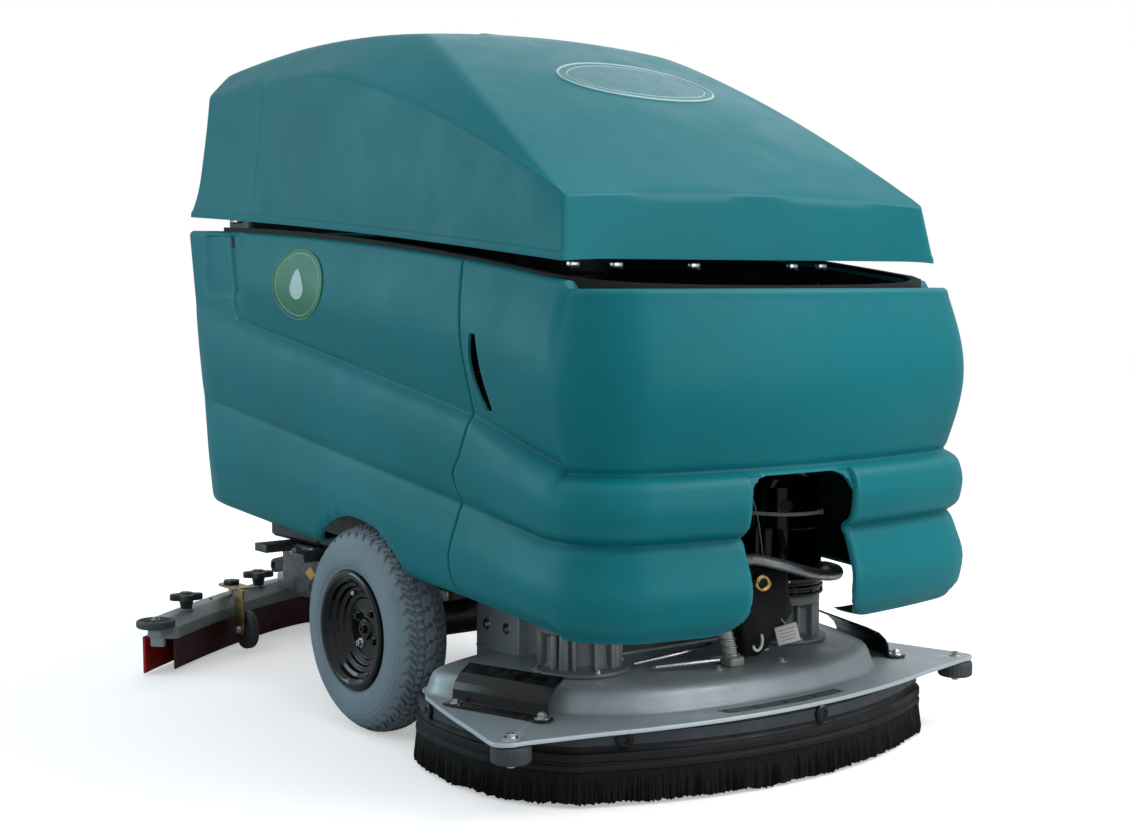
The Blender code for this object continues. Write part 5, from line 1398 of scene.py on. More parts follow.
def flange_at(t):
    """Flange outline: a bow in front, curves at the ear and the back, straight between."""
    if t <= 4:
        x = 0.075 * t
        return (x, -0.582 + 0.5 * x * x)
    if 5 <= t <= 8 or t > 13:
        return curve_at(FLANGE_PTS, t, 0.4)
    k = int(t)
    a, b = FLANGE_PTS[k], FLANGE_PTS[k + 1]
    return (a[0] + (b[0] - a[0]) * (t - k), a[1] + (b[1] - a[1]) * (t - k))


def plateau_at(t):
    return curve_at(PLATEAU_PTS, t, 0.5)


PLATEAU_FRONT = [plateau_at(k / 12) for k in range(97)]


def decal_point(x, v, z):
    """Point of the decal strip on the front of the flange; v runs 0 to 1 forward."""
    foot = min(PLATEAU_FRONT, key=lambda p: abs(p[0] - abs(x)))[1]
    return (x + 0.004 * v, foot - 0.0135 - 0.0190 * v, z)


def deck_body():
    steps = [k + i / n for k in range(16) for n in [14 if 4 <= k <= 8 else 8] for i in range(n)]
    steps.append(16.0)
    flange = whole([flange_at(t) for t in steps])
    foot = whole([plateau_at(t) for t in steps])

    def out(distance):
        return grow(flange, distance)

    def plateau(inset):
        return grow(foot, -inset)

    def shrunk(f):
        """The plateau's top edge drawn towards the deck's middle."""
        return [(x * (1 - f), DECK_MID_Y + (y - DECK_MID_Y) * (1 - f))
                for x, y in plateau(0.0195)]

    def between(f):
        """From just inside the flange's edge to just outside the plateau's foot."""
        return [(a[0] + (b[0] - a[0]) * f, a[1] + (b[1] - a[1]) * f)
                for a, b in zip(out(-0.004), plateau(-0.004))]

    # underside outward, round the flange's edge, then up over the plateau
    rings = [
        (shrunk(0.05), 0.1290), (plateau(0.0185), 0.1262), (plateau(0.0120), 0.1150),
        (plateau(0.0020), 0.0972), (out(-0.0010), 0.0970), (flange, 0.0976), (flange, 0.1018),
        (out(-0.0006), 0.1027), (out(-0.0016), 0.1030), (between(0.0), 0.1030),
        (between(0.5), 0.1031), (between(1.0), 0.1032), (plateau(-0.0008), 0.1038),
        (plateau(0.0015), 0.1056), (plateau(0.0034), 0.1090), (plateau(0.0056), 0.1150),
        (plateau(0.0080), 0.1222), (plateau(0.0110), 0.1280), (plateau(0.0150), 0.1316),
        (plateau(0.0195), 0.1336), (shrunk(0.018), 0.1346), (shrunk(0.030), 0.1350),
        (shrunk(0.036), 0.1345), (shrunk(0.042), 0.1350), (shrunk(0.10), 0.1350),
        (shrunk(0.5), 0.1352)]
    deck = grid([[(x, y, z) for x, y in ring] for ring, z in rings], CAST, close_u=True,
                cap=True, angle=55)
    for _, sign in SIDES:
        cut(deck, disc(0.0066, -0.03, 0.03, (sign * EAR[0], EAR[1], 0.100), "Z", 28, RUBBER))
    shade(deck, 55)
    return deck


def deck_side(sign):
    """Upright side plate with its fold, bolts and weld, and a lug with its pin."""
    outline = fillet([(-0.054, -0.053), (0.054, -0.053), (0.054, 0.040), (0.044, 0.053),
                      (-0.034, 0.053), (-0.054, 0.036)], [0, 0, 0.010, 0.010, 0.016, 0.012], 6)
    parts = [slab(outline, 0.011, (sign * 0.202, -0.165, 0.1530), FACING_X, 0.0022, CAST),
             box((sign * 0.188, -0.2155, 0.1500), (0.034, 0.006, 0.100), 0.0026, 4, CAST)]
    for y in (-0.140, -0.190):
        parts += bolt((sign * 0.2078, y, 0.170), outward(sign), 0.0050, 0.0035)
    parts.append(box((sign * 0.2085, -0.165, 0.1362), (0.006, 0.100, 0.0030), 0.0014, 3, CAST))
    parts.append(box((sign * 0.110, -0.240, 0.1620), (0.010, 0.036, 0.062), 0.0025, 3, CAST))
    parts.append(rod((sign * 0.088, -0.240, 0.180), (sign * 0.114, -0.240, 0.180), 0.0064, 20,
                     BRIGHT))
    return parts


def deck_decal():
    """Dark strip with four outlined boxes on the front of the flange."""
    strip = []
    for k in range(33):
        low = [decal_point(-0.112 + 0.214 * k / 32, v, 0.10345)
               for v in (0.0, 0.25, 0.5, 0.75, 1.0)]
        strip.append([(x, y, z + 0.0003) for x, y, z in low] + low[::-1])
    parts = [grid(strip, DECAL, close_u=True, cap=True, angle=30)]
    v0, v1 = 0.16, 0.84
    for x0, x1 in ((-0.106, -0.062), (-0.058, -0.010), (-0.006, 0.044), (0.048, 0.096)):
        outline = [(x0 + (x1 - x0) * k / 8, v0) for k in range(9)]
        outline += [(x1, v0 + (v1 - v0) * k / 4) for k in range(1, 5)]
        outline += [(x0 + (x1 - x0) * k / 8, v1) for k in range(7, -1, -1)]
        outline += [(x0, v0 + (v1 - v0) * k / 4) for k in range(3, 0, -1)]
        parts.append(tube([decal_point(x, v, 0.10378) for x, v in outline], 0.00042, 6,
                          DECAL_LINE, closed=True, curved=False))
    return parts


def make_deck():
    parts = [deck_body()]
    # raised rims round the ear holes
    for _, sign in SIDES:
        parts.append(lathe([(0.0067, 0.1022), (0.0090, 0.1032), (0.0108, 0.1036),
                            (0.0116, 0.1028), (0.0067, 0.1015)],
                           (sign * EAR[0], EAR[1], 0), "Z", 28, CAST, closed=True))
    for _, sign in SIDES:
        parts += deck_side(sign)
    # post and pin near the middle
    parts.append(box((-0.0125, -0.240, 0.1860), (0.010, 0.030, 0.112), 0.0025, 3, CAST))
    parts.append(rod((-0.015, -0.240, 0.230), (0.005, -0.240, 0.230), 0.0049, 20, BRIGHT))
    # bolts on round seats over the plateau
    for x, y in ((-0.0397, -0.4591), (0.0665, -0.4734), (-0.259, -0.3418), (0.259, -0.342),
                 (-0.300, -0.262), (0.300, -0.262), (0.0, -0.262)):
        parts.append(lathe([(0.0, 0.1349), (0.0082, 0.1349), (0.0090, 0.1353),
                            (0.0082, 0.1360), (0.0, 0.1360)], (x, y, 0), "Z", 24, CAST))
        parts += bolt((x, y, 0.1358), "Z", 0.0042, 0.0034, BRIGHT, 1.4)
    # two cast ribs
    for width, y in ((0.240, -0.300), (0.220, -0.400)):
        parts.append(box((0, y, 0.1362), (width, 0.008, 0.0040), 0.0018, 3, CAST))
    parts += deck_decal()
    piece("scrub_deck_casting", "deck", parts, "scrub_deck")


# ------------------------------------------------------------------ rubber band and bristles
SKIRT_NOSE_R = 0.66
# (x, y) points of the skirt's side and back, +X half, front to back
SKIRT_SIDE = [(0.362, -0.447), (0.384, -0.388), (0.389, -0.325), (0.384, -0.258),
              (0.368, -0.200), (0.346, -0.170), (0.310, -0.163), (0.255, -0.150),
              (0.190, -0.122), (0.110, -0.108), (0.0, -0.104)]
# (offset, z) section of the stepped band and of the strap round it
BAND_SECTION = [(-0.018, 0.0965), (-0.0062, 0.0965), (-0.0062, 0.0735), (-0.0038, 0.0705),
                (0.0000, 0.0690), (0.0000, 0.0590), (-0.0022, 0.0575), (-0.0022, 0.0548),
                (0.0002, 0.0535), (0.0002, 0.0460), (-0.018, 0.0460)]
STRAP_SECTION = [(-0.0062, 0.0935), (-0.0048, 0.0930), (-0.0048, 0.0785), (-0.0062, 0.0780)]
# bristle layers: offset, z, share of the jitter
BRISTLE_LAYERS = (
    (-0.0172, 0.0452, 0.0), (-0.0010, 0.0455, 0.0), (-0.0004, 0.0380, 0.25),
    (0.0004, 0.0280, 0.5), (0.0012, 0.0170, 0.8), (0.0018, 0.0095, 1.0), (0.0016, 0.0045, 1.0),
    (-0.0080, 0.0040, 1.0), (-0.0160, 0.0045, 1.0))


def skirt_ring(step):
    half = []
    for k in range(13):
        x = 0.325 * k / 12
        half.append((x, -0.586 + SKIRT_NOSE_R - math.sqrt(SKIRT_NOSE_R ** 2 - x ** 2)))
    half += SKIRT_SIDE
    # mirrored points past both ends make the curve cross x = 0 squarely; then they are cut off
    curve = spline(mirror_x(half[1:3]) + half + mirror_x(half[-2:-1]), 12)[24:-12]
    curve = [(max(0.0, p[0]), p[1]) for p in curve] + [half[-1]]
    return resample(whole(curve), step, True)


def ring_sweep(ring, section, mat, angle):
    rows = [[(x, y, z) for x, y in grow(ring, offset)] for offset, z in section]
    return grid(rows, mat, close_u=True, close_v=True, angle=angle)


def make_skirt_band():
    ring = skirt_ring(0.005)
    parts = [ring_sweep(ring, fillet(BAND_SECTION, 0.0011, 3), RUBBER, 50),
             ring_sweep(ring, STRAP_SECTION, BAND_STRAP, 40)]
    face = grow(ring, -0.0048)

    def nearest(score):
        """Index of the best face point, with its two neighbours."""
        i = min(range(len(face)), key=lambda j: score(*face[j]))
        return face[i], face[i - 1], face[(i + 1) % len(face)]

    # round buttons: two on the front, one on each side
    spots = [nearest(lambda x, y: abs(x - at_x) + (10 if y > -0.38 else 0))
             for at_x in (-0.262, 0.040)]
    spots += [nearest(lambda x, y: abs(y + 0.250) + (10 if x * sign < 0.25 else 0))
              for _, sign in SIDES]
    for p, a, b in spots:
        nx, ny = (b[1] - a[1]), -(b[0] - a[0])
        if nx * p[0] + ny * (p[1] - DECK_MID_Y) < 0:
            nx, ny = -nx, -ny
        length = math.hypot(nx, ny)
        nx, ny = nx / length, ny / length
        parts.append(lathe(
            [(0.0, 0.0), (0.0120, 0.0), (0.0120, 0.0034), (0.0095, 0.0054), (0.0052, 0.0056),
             (0.0046, 0.0036), (0.0, 0.0036)],
            (p[0] - nx * 0.0004, p[1] - ny * 0.0004, 0.0860), (nx, ny, 0), 28, GLOSS_BLACK,
            0.0006))
    # small clips at the front corners
    for _, sign in SIDES:
        p, a, b = nearest(lambda x, y: math.hypot(x - sign * 0.372, y + 0.424))
        parts.append(box((p[0] + sign * 0.0012, p[1] - 0.0006, 0.0850), (0.013, 0.0050, 0.0215),
                         0.0018, 3, CAST, spin=math.atan2(b[1] - a[1], b[0] - a[0])))
    piece("skirt_band_stepped", "deck", parts, "skirt_band")


def make_skirt_bristles():
    """Close-packed tufts with an uneven trim."""
    ring = skirt_ring(0.0017)
    n = len(ring)
    rng = np.random.default_rng(11)
    rough = rng.normal(0, 1, n)
    slow = np.convolve(np.concatenate([rough, rough[:60]]), np.ones(25) / 5.0, "same")[:n]
    sideways, trim, _ = rng.random((3, n))
    rows = []
    for offset, z, share in BRISTLE_LAYERS:
        row = []
        for i, (x, y) in enumerate(grow(ring, offset)):
            gx, gy = ring[i][0], ring[i][1] - DECK_MID_Y
            length = math.hypot(gx, gy)
            jitter = share * (0.0016 * (sideways[i] - 0.5) * 2 + 0.0010 * (1 if i % 2 else -1))
            jitter *= 1 if offset > -0.01 else 0.3
            drop = 0.0042 * (trim[i] - 0.35) + 0.0009 * float(slow[i]) if z < 0.012 else 0.0
            row.append((x + gx / length * jitter, y + gy / length * jitter,
                        max(0.0012, z + drop)))
        rows.append(row)
    bristles = grid(rows, BRISTLE, close_u=True, close_v=True, angle=28)
    piece("skirt_bristles_trimmed", "deck", [bristles], "skirt_bristles")


make_deck()
make_skirt_band()
make_skirt_bristles()

# ------------------------------------------------------------------ parts on each side of the deck
# (radius, z) profiles
BUMPER_PROFILE = [
    (0.0, 0.0712), (0.0095, 0.0712), (0.0105, 0.0724), (0.0225, 0.0728), (0.0252, 0.0745),
    (0.0260, 0.0775), (0.0260, 0.0910), (0.0252, 0.0942), (0.0225, 0.0956), (0.0110, 0.0958),
    (0.0100, 0.0964), (0.0, 0.0964)]
GEARBOX_PROFILE = [
    (0.0, 0.1358), (0.0700, 0.1358), (0.0700, 0.1410), (0.0560, 0.1455), (0.0520, 0.1500),
    (0.0515, 0.1860), (0.0545, 0.1895), (0.0600, 0.1920), (0.0600, 0.2054), (0.0, 0.2054)]
MOTOR_PROFILE = [
    (0.0, 0.2062), (0.0620, 0.2062), (0.0620, 0.2100), (0.0596, 0.2106), (0.0596, 0.2150),
    (0.0618, 0.2156), (0.0618, 0.2200), (0.0594, 0.2206), (0.0594, 0.2248), (0.0616, 0.2254),
    (0.0616, 0.2330), (0.0590, 0.2345), (0.0590, 0.3060), (0.0596, 0.3066), (0.0596, 0.3090),
    (0.0590, 0.3096), (0.0590, 0.3680), (0.0540, 0.3800), (0.0360, 0.3915), (0.0, 0.3918)]
MOTOR_SWELL = 1.05                      # the can's radii over those of the profile
BRUSH_PROFILE = [
    (0.0, 0.128), (0.018, 0.128), (0.018, 0.084), (0.050, 0.080), (0.070, 0.056),
    (0.171, 0.054), (0.172, 0.040), (0.058, 0.040), (0.0, 0.040)]
# brush filament: radius, z, share of the jitter
FILAMENT_LAYERS = (
    (0.062, 0.0395, 0), (0.172, 0.0395, 0), (0.1735, 0.028, 0.4), (0.1755, 0.014, 0.8),
    (0.1770, 0.004, 1.0), (0.120, 0.0040, 1.0), (0.060, 0.004, 1.0))
FILAMENT_STEPS = 420
# (out, up) centre line of the bent bracket: foot, upright, curled lip
BRACKET_LINE = [(0.0256, 0.0014), (0.0060, 0.0014), (0.0040, 0.0028), (0.0036, 0.0060),
                (0.0024, 0.0175), (-0.0022, 0.0268), (-0.0130, 0.0372), (-0.0332, 0.0467)]
BRACKET_T = 0.0013                      # half thickness


def make_bumper(side, sign):
    x, y = sign * EAR[0], EAR[1]
    parts = [lathe(BUMPER_PROFILE, (x, y, 0), "Z", 120, GREY_RUBBER, 0.0015, 3, angle=45,
                   wave=flutes(0.0006, 24, 0.077, 0.092)),
             disc(0.0060, 0.0940, 0.1030, (x, y, 0), "Z", 24, BRIGHT)]
    parts += bolt((x, y, 0.1036), "Z", 0.0062, 0.0046, BRIGHT, 1.5)
    parts += bolt((x, y, 0.0714), "-Z", 0.0056, 0.0036, BRIGHT, 1.5)
    piece(f"bumper_roller_{side}_fluted", f"bumper_{side}", parts, f"bumper_roller_{side}")


def make_skirt_bracket(side, sign):
    line = fillet(BRACKET_LINE, 0.004, 4, closed=False)
    upper, lower = ([(p[0] + n[0] * t, p[1] + n[1] * t)
                     for p, n in zip(line, left_normals(line))]
                    for t in (BRACKET_T, -BRACKET_T))
    tab = fillet([(-0.014, -0.014), (0.015, -0.014), (0.015, 0.014), (-0.014, 0.014)], 0.011, 6)
    parts = [slab(upper + lower[::-1], 0.160, bevel=0.0005, mat=BRACKET_BLACK),
             slab(tab, 0.0024, (0.0150, 0.0016, 0.0790), Matrix.Rotation(-math.pi / 2, 4, "X"),
                  0.0006, BRACKET_BLACK)]
    parts += bolt((0.0160, 0.0030, 0.0800), (0, 1, 0), 0.0064, 0.0050, BRIGHT, 1.65)
    parts += bolt((0.0160, 0.0078, 0.0800), (0, 1, 0), 0.0044, 0.0034, BRIGHT, 0)
    parts += bolt((0.0160, 0.0030, -0.0640), (0, 1, 0), 0.0050, 0.0040, BRIGHT, 1.6)
    place(parts, Matrix.Translation((sign * 0.3400, -0.3650, 0.1044))
          @ Matrix.Rotation(sign * math.radians(-17), 4, "Z")
          @ Matrix.Scale(sign, 4, (1, 0, 0)) @ FACING_Y)
    for o in parts:
        with editing(o.data) as bm:
            tidy(bm)
        shade(o, 40)
    piece(f"skirt_bracket_{side}_bent", "deck", parts, f"skirt_bracket_{side}")


def make_gearbox(side, sign):
    x, y = axis = (sign * MOTOR[0], MOTOR[1])
    parts = [lathe(GEARBOX_PROFILE, (x, y, 0), "Z", 72, CAST_DARK, 0.0016, 3, angle=45)]
    for k in range(12):
        a = math.radians(30 * k + 15)
        parts.append(box(around(axis, 0.0545, a, 0.1660),
                         (0.0105, 0.0046 if k % 3 else 0.0085, 0.0510), 0.0016, 2, CAST_DARK, a))
    for k in range(4):
        a = math.radians(90 * k + 30)
        parts.append(disc(0.0085, 0.1400, 0.2010, around(axis, 0.0520, a, 0), "Z", 20,
                          CAST_DARK, 0.0012, top=0.0075))
        parts += bolt(around(axis, 0.0630, a + math.radians(45), 0.1412), "Z", 0.0042, 0.0036,
                      BRIGHT, 1.4)
    piece(f"brush_gearbox_{side}_cast", "deck", parts, f"brush_gearbox_{side}")


def make_motor(side, sign):
    """Motor can with a vented foot, domed end, cable tie and a block at the back."""
    x, y = axis = (sign * MOTOR[0], MOTOR[1])
    profile = [(r * MOTOR_SWELL, z) for r, z in fillet(MOTOR_PROFILE, 0.0012, 3, closed=False)]
    parts = [lathe(profile, (x, y, 0), "Z", 96, GLOSS_BLACK, angle=45)]
    for k in range(12):
        a = math.radians(30 * k + 7)
        parts.append(box(around(axis, 0.0633, a, 0.2160), (0.0030, 0.0080, 0.0110), 0.0008, 2,
                         PLASTIC, a))
    for k in range(8):
        a = math.radians(45 * k + 14)
        parts += bolt(around(axis, 0.0643, a, 0.2290), (math.cos(a), math.sin(a), 0), 0.0020,
                      0.0010, BRIGHT, washer=0, socket=False)
    for k in range(2):
        a = math.radians(180 * k + 55)
        parts.append(disc(0.0100, 0.0, 0.0045, around(axis, 0.0605, a, 0.3420),
                          (math.cos(a), math.sin(a), 0.0), 24, PLASTIC, 0.001, top=0.0095))
    parts.append(disc(0.0150, 0.3900, 0.3924, (x, y, 0), "Z", 32, PLASTIC, 0.0006, top=0.0140))
    # cable tie, with its square head
    tie_z = 0.3290
    parts.append(collar(0.0615, 0.0636, tie_z - 0.0026, tie_z + 0.0026, (x, y, 0), "Z", 96,
                        LIGHT_NYLON, 0.0004))
    a = math.radians(-64)
    parts.append(box(around(axis, 0.0650, a, tie_z), (0.0060, 0.0090, 0.0070), 0.0012, 2,
                     GREY_PLASTIC, a))
    parts.append(box((x, y + 0.0600, 0.3000), (0.034, 0.012, 0.030), 0.003, 3, PLASTIC))
    piece(f"brush_motor_{side}_can", "deck", parts, f"brush_motor_{side}")


def make_brush(side, sign):
    """Disc brush: moulded back, a ring of filament and three lugs."""
    x, y = axis = (sign * MOTOR[0], MOTOR[1])
    back = lathe(BRUSH_PROFILE, (x, y, 0), "Z", 72, PLASTIC, 0.002, 3, angle=40)
    sideways, trim = np.random.default_rng(5).random((2, FILAMENT_STEPS))
    rows = []
    for r, z, share in FILAMENT_LAYERS:
        rows.append([around(axis, r + share * 0.0010 * (2 * sideways[k] - 1), a,
                            z + (0.0020 * trim[k] if z < 0.01 else 0))
                     for k, a in enumerate(turns(FILAMENT_STEPS))])
    parts = [back, grid(rows, BRISTLE, close_u=True, close_v=True, angle=28)]
    for k in range(3):
        a = math.radians(120 * k)
        parts.append(box(around(axis, 0.030, a, 0.0880), (0.016, 0.010, 0.010), 0.002, 2,
                         PLASTIC, a))
    piece(f"disc_brush_{side}_filament", f"brush_{side}", parts, f"disc_brush_{side}")


def make_conduit():
    """Flexible conduit between the motors, with a hexagonal gland at each end."""
    path = [(-0.188, -0.4130, 0.258), (-0.150, -0.440, 0.266), (-0.100, -0.462, 0.277),
            (-0.050, -0.476, 0.286), (0.0, -0.482, 0.2885), (0.050, -0.482, 0.277),
            (0.095, -0.478, 0.264), (0.140, -0.466, 0.252), (0.190, -0.447, 0.243),
            (0.232, -0.420, 0.238), (0.264, -0.385, 0.236), (0.272, -0.355, 0.236),
            (0.264, -0.343, 0.236)]
    parts = [tube(path, 0.0076, 12, CONDUIT, rings=(0.0046, 0.0009), angle=40)]
    for at, axis in (((-0.1880, -0.4110, 0.258), (1, -0.60, 0.1)),
                     ((0.2600, -0.3400, 0.236), (1, -0.10, 0))):
        parts.append(lathe([(0.0, -0.012), (0.0100, -0.012), (0.0105, 0.008), (0.0085, 0.012),
                            (0.0, 0.012)], at, axis, 6, BRIGHT, 0.001, angle=20))
    piece("motor_conduit_flexible", "deck", parts, "motor_conduit")


for side, sign in SIDES:
    for make in (make_bumper, make_skirt_bracket, make_gearbox, make_motor, make_brush):
        make(side, sign)
make_conduit()

# ------------------------------------------------------------------ squeegee
SQ_KNOBS = (("outer", 0.335), ("inner", 0.120))         # x of the star knobs
SQ_TIP = (0.428, 0.532)                 # tip roller axis, +X side
SQ_TIP_SPIN = math.radians(-42)
SQ_WHEEL = (0.205, 0.636, 0.040)        # small wheel axle, +X side
SQ_NECK_Y = 0.782                       # hose neck
# (offset, z) section of the cast beam
BEAM_SECTION = fillet(
    [(-0.034, 0.0600), (-0.034, 0.0790), (-0.0160, 0.0958), (0.0100, 0.0958),
     (0.0142, 0.0720), (0.0150, 0.0585), (-0.0200, 0.0582)],
    [0.002, 0.004, 0.005, 0.003, 0.002, 0.001, 0.002], 4)
NECK_PROFILE = [
    (0.0, 0.104), (0.0270, 0.104), (0.0270, 0.1130), (0.0240, 0.1150), (0.0240, 0.1240),
    (0.0252, 0.1250), (0.0240, 0.1265), (0.0240, 0.1420), (0.0232, 0.1550), (0.0210, 0.1550),
    (0.0205, 0.1000), (0.0, 0.1000)]
TIP_PROFILE = [
    (0.0, 0.0856), (0.0300, 0.0858), (0.0328, 0.0882), (0.0328, 0.0960), (0.0305, 0.0984),
    (0.0270, 0.0985), (0.0255, 0.0966), (0.0105, 0.0966), (0.0095, 0.0990), (0.0, 0.0990)]
SQ_WHEEL_PROFILE = mirror_profile(
    [(0.0053, -0.0090), (0.0130, -0.0090), (0.0150, -0.0070), (0.0270, -0.0070),
     (0.0300, -0.0088), (0.0340, -0.0072), (0.0350, -0.0040)])


def squeegee_y(x):
    return 0.815 - 0.261 * (abs(x) / 0.42) ** 1.35


def swept(section, x_end, n, mat, wave=None):
    """Sweeps an (offset, z) section along the squeegee; wave(x) bends its lower edge."""
    xs = [x_end * (2 * k / n - 1) for k in range(n + 1)]
    path = [(x, squeegee_y(x)) for x in xs]
    rows = []
    for (x, y), (nx, ny) in zip(path, left_normals(path)):
        bend = wave(x) if wave else 0.0
        row = []
        for offset, z in section:
            shift = offset + (bend if z < 0.03 else 0.0)
            row.append((x + nx * shift, y + ny * shift, z))
        rows.append(row)
    return grid(rows, mat, close_u=True, cap=True, angle=40)


def make_squeegee_frame():
    strip = fillet([(0.0140, 0.0600), (0.0154, 0.0600), (0.0154, 0.0665), (0.0140, 0.0690)],
                   0.0003, 1)
    parts = [swept(BEAM_SECTION, 0.405, 96, SQ_CAST), swept(strip, 0.403, 80, BRIGHT)]
    for _, sign in SIDES:
        # end arm that carries the tip roller
        spin = sign * SQ_TIP_SPIN
        parts.append(box((sign * 0.411, 0.5470, 0.0760), (0.060, 0.026, 0.0140), 0.0030, 3,
                         SQ_CAST, spin))
        parts.append(box((sign * 0.4220, 0.5375, 0.0660), (0.0100, 0.024, 0.030), 0.0020, 3,
                         SQ_CAST, spin))
        parts += bolt((sign * 0.4055, 0.5610, 0.0830), "Z", 0.0050, 0.0034, BRIGHT, 1.5)
        parts += bolt((sign * SQ_TIP[0], SQ_TIP[1], 0.0825), "Z", 0.0060, 0.0028, BRIGHT, 0)
        for _, x in SQ_KNOBS:
            parts.append(disc(0.0150, 0.0950, 0.0966, (sign * x, squeegee_y(x) - 0.012, 0), "Z",
                              32, SQ_CAST, 0.0005))
        for x in (0.26, 0.05):
            parts += bolt((sign * x, squeegee_y(x) - 0.006, 0.0952), "Z", 0.0042, 0.0030)
    # middle block with the hose neck, a post and a tongue
    parts.append(box((0, 0.757, 0.0960), (0.120, 0.080, 0.0315), 0.0060, 4, SQ_CAST))
    parts.append(lathe(NECK_PROFILE, (0, SQ_NECK_Y, 0), "Z", 48, PLASTIC, 0.0008, 3))
    parts.append(disc(0.0140, 0.100, 0.1238, (0, 0.702, 0), "Z", 32, BRIGHT, 0.001))
    parts.append(box((0, 0.722, 0.1020), (0.040, 0.050, 0.0120), 0.0020, 3, SQ_CAST))
    piece("squeegee_frame_casting", "squeegee", parts, "squeegee_frame")


def make_squeegee_blades():
    rear = fillet([(0.0157, 0.0022), (0.0200, 0.0022), (0.0200, 0.0655), (0.0157, 0.0655)],
                  0.0004, 2)
    front = fillet([(-0.0236, 0.0040), (-0.0204, 0.0040), (-0.0204, 0.0590), (-0.0236, 0.0590)],
                   0.0004, 2)
    parts = [swept(rear, 0.425, 160, RED,
                   wave=lambda x: 0.0012 * math.sin(41 * x + 1.1) * math.sin(17 * x)),
             swept(front, 0.398, 120, DARK_RED)]
    piece("squeegee_blade_rubber", "squeegee", parts, "squeegee_blade")


def make_star_knob(where, knob_x, side, sign):
    x, y = sign * knob_x, squeegee_y(knob_x) - 0.012
    star = [around((0, 0), 0.0232 + 0.0054 * math.cos(4 * a), a + 0.35 * sign, 0)
            for a in turns(72)]
    parts = [slab(star, 0.0118, (x, y, 0.1170), bevel=0.0026, mat=PLASTIC, resolution=3),
             lathe([(0.0, 0.0970), (0.0098, 0.0970), (0.0124, 0.1110), (0.0124, 0.1220),
                    (0.0100, 0.1252), (0.0, 0.1252)], (x, y, 0), "Z", 36, PLASTIC, 0.0012, 3)]
    parts += bolt((x, y, 0.1240), "Z", 0.0036, 0.0024, BRIGHT, 0)
    piece(f"star_knob_{where}_{side}_lobed", f"knob_{where}_{side}", parts,
          f"star_knob_{where}_{side}")


def make_tip_roller(side, sign):
    x, y = axis = (sign * SQ_TIP[0], SQ_TIP[1])
    parts = [lathe(TIP_PROFILE, (x, y, 0), "Z", 112, GREY_RUBBER, 0.0008, angle=40,
                   wave=flutes(0.0005, 28))]
    for k in range(8):
        a = math.radians(45 * k)
        parts.append(box(around(axis, 0.0180, a, 0.0972), (0.0170, 0.0034, 0.0022), 0.0008, 2,
                         GREY_RUBBER, a))
    parts += bolt((x, y, 0.0986), "Z", 0.0055, 0.0036, BRIGHT, 1.3)
    piece(f"tip_roller_{side}_ribbed", f"tip_{side}", parts, f"tip_roller_{side}")


def make_squeegee_wheel(side, sign):
    """Small wheel and its bent, plated bracket."""
    x, y, z = sign * SQ_WHEEL[0], SQ_WHEEL[1], SQ_WHEEL[2]
    plate = fillet([(-0.016, -0.043), (0.016, -0.043), (0.016, 0.043), (-0.016, 0.043)],
                   [0.013, 0.013, 0.003, 0.003], 6)
    foot = fillet([(-0.018, -0.038), (0.018, -0.038), (0.018, 0.038), (-0.018, 0.038)],
                  [0.003, 0.003, 0.012, 0.012], 5)
    parts = [slab(plate, 0.0038, (x + sign * 0.0145, y, 0.0720), FACING_X, 0.0008, YELLOW_ZINC),
             slab(foot, 0.0038, (x + sign * 0.001, y + 0.046, 0.1130), bevel=0.0008,
                  mat=YELLOW_ZINC),
             rod((x - 0.0155, y, z), (x + 0.0155, y, z), 0.0044, 20, BRIGHT)]
    parts += bolt((x + sign * 0.0164, y, z), outward(sign), 0.0066, 0.0048, BRIGHT, 1.3)
    parts += bolt((x - sign * 0.0100, y, z), outward(-sign), 0.0060, 0.0040, BRIGHT, 1.2)
    parts.append(rod((x, y + 0.060, 0.0966), (x, y + 0.060, 0.1160), 0.0058, 20, BRIGHT))
    parts.append(lathe([(0.0, 0.1148), (0.0150, 0.1148), (0.0165, 0.1200), (0.0150, 0.1225),
                        (0.0, 0.1225)], (x, y + 0.060, 0), "Z", 6, PLASTIC, 0.001, angle=20))
    piece(f"wheel_bracket_{side}_plated", "squeegee", parts, f"wheel_bracket_{side}")
    wheel = lathe(SQ_WHEEL_PROFILE, (x, y, z), "X", 64, GREY_RUBBER, 0.0009, closed=True,
                  angle=40)
    piece(f"squeegee_wheel_{side}_turned", f"squeegee_wheel_{side}", [wheel],
          f"squeegee_wheel_{side}")


def make_caster_wheel():
    at = (0, 0.430, 0.050)
    tyre = mirror_profile([(0.0102, -0.016), (0.0230, -0.0185), (0.0250, -0.0140),
                           (0.0360, -0.0140), (0.0390, -0.0185), (0.0470, -0.0165),
                           (0.0500, -0.0100)])
    hub = mirror_profile([(0.0072, -0.0195), (0.0160, -0.0195), (0.0180, -0.0150)])
    parts = [lathe(tyre, at, "X", 72, RUBBER, 0.0015, 3, closed=True, angle=40),
             lathe(hub, at, "X", 40, GREY_PLASTIC, 0.001, closed=True)]
    piece("rear_caster_wheel_tyred", "caster_wheel", parts, "rear_caster_wheel")


make_squeegee_frame()
make_squeegee_blades()
for side, sign in SIDES:
    for where, knob_x in SQ_KNOBS:
        make_star_knob(where, knob_x, side, sign)
    make_tip_roller(side, sign)
    make_squeegee_wheel(side, sign)
make_caster_wheel()

# ------------------------------------------------------------------ console and controls
PANEL_Y = 0.658
KEY_X, BUTTON_X, KNOB_X, STOP_X = -0.140, -0.070, 0.010, 0.115
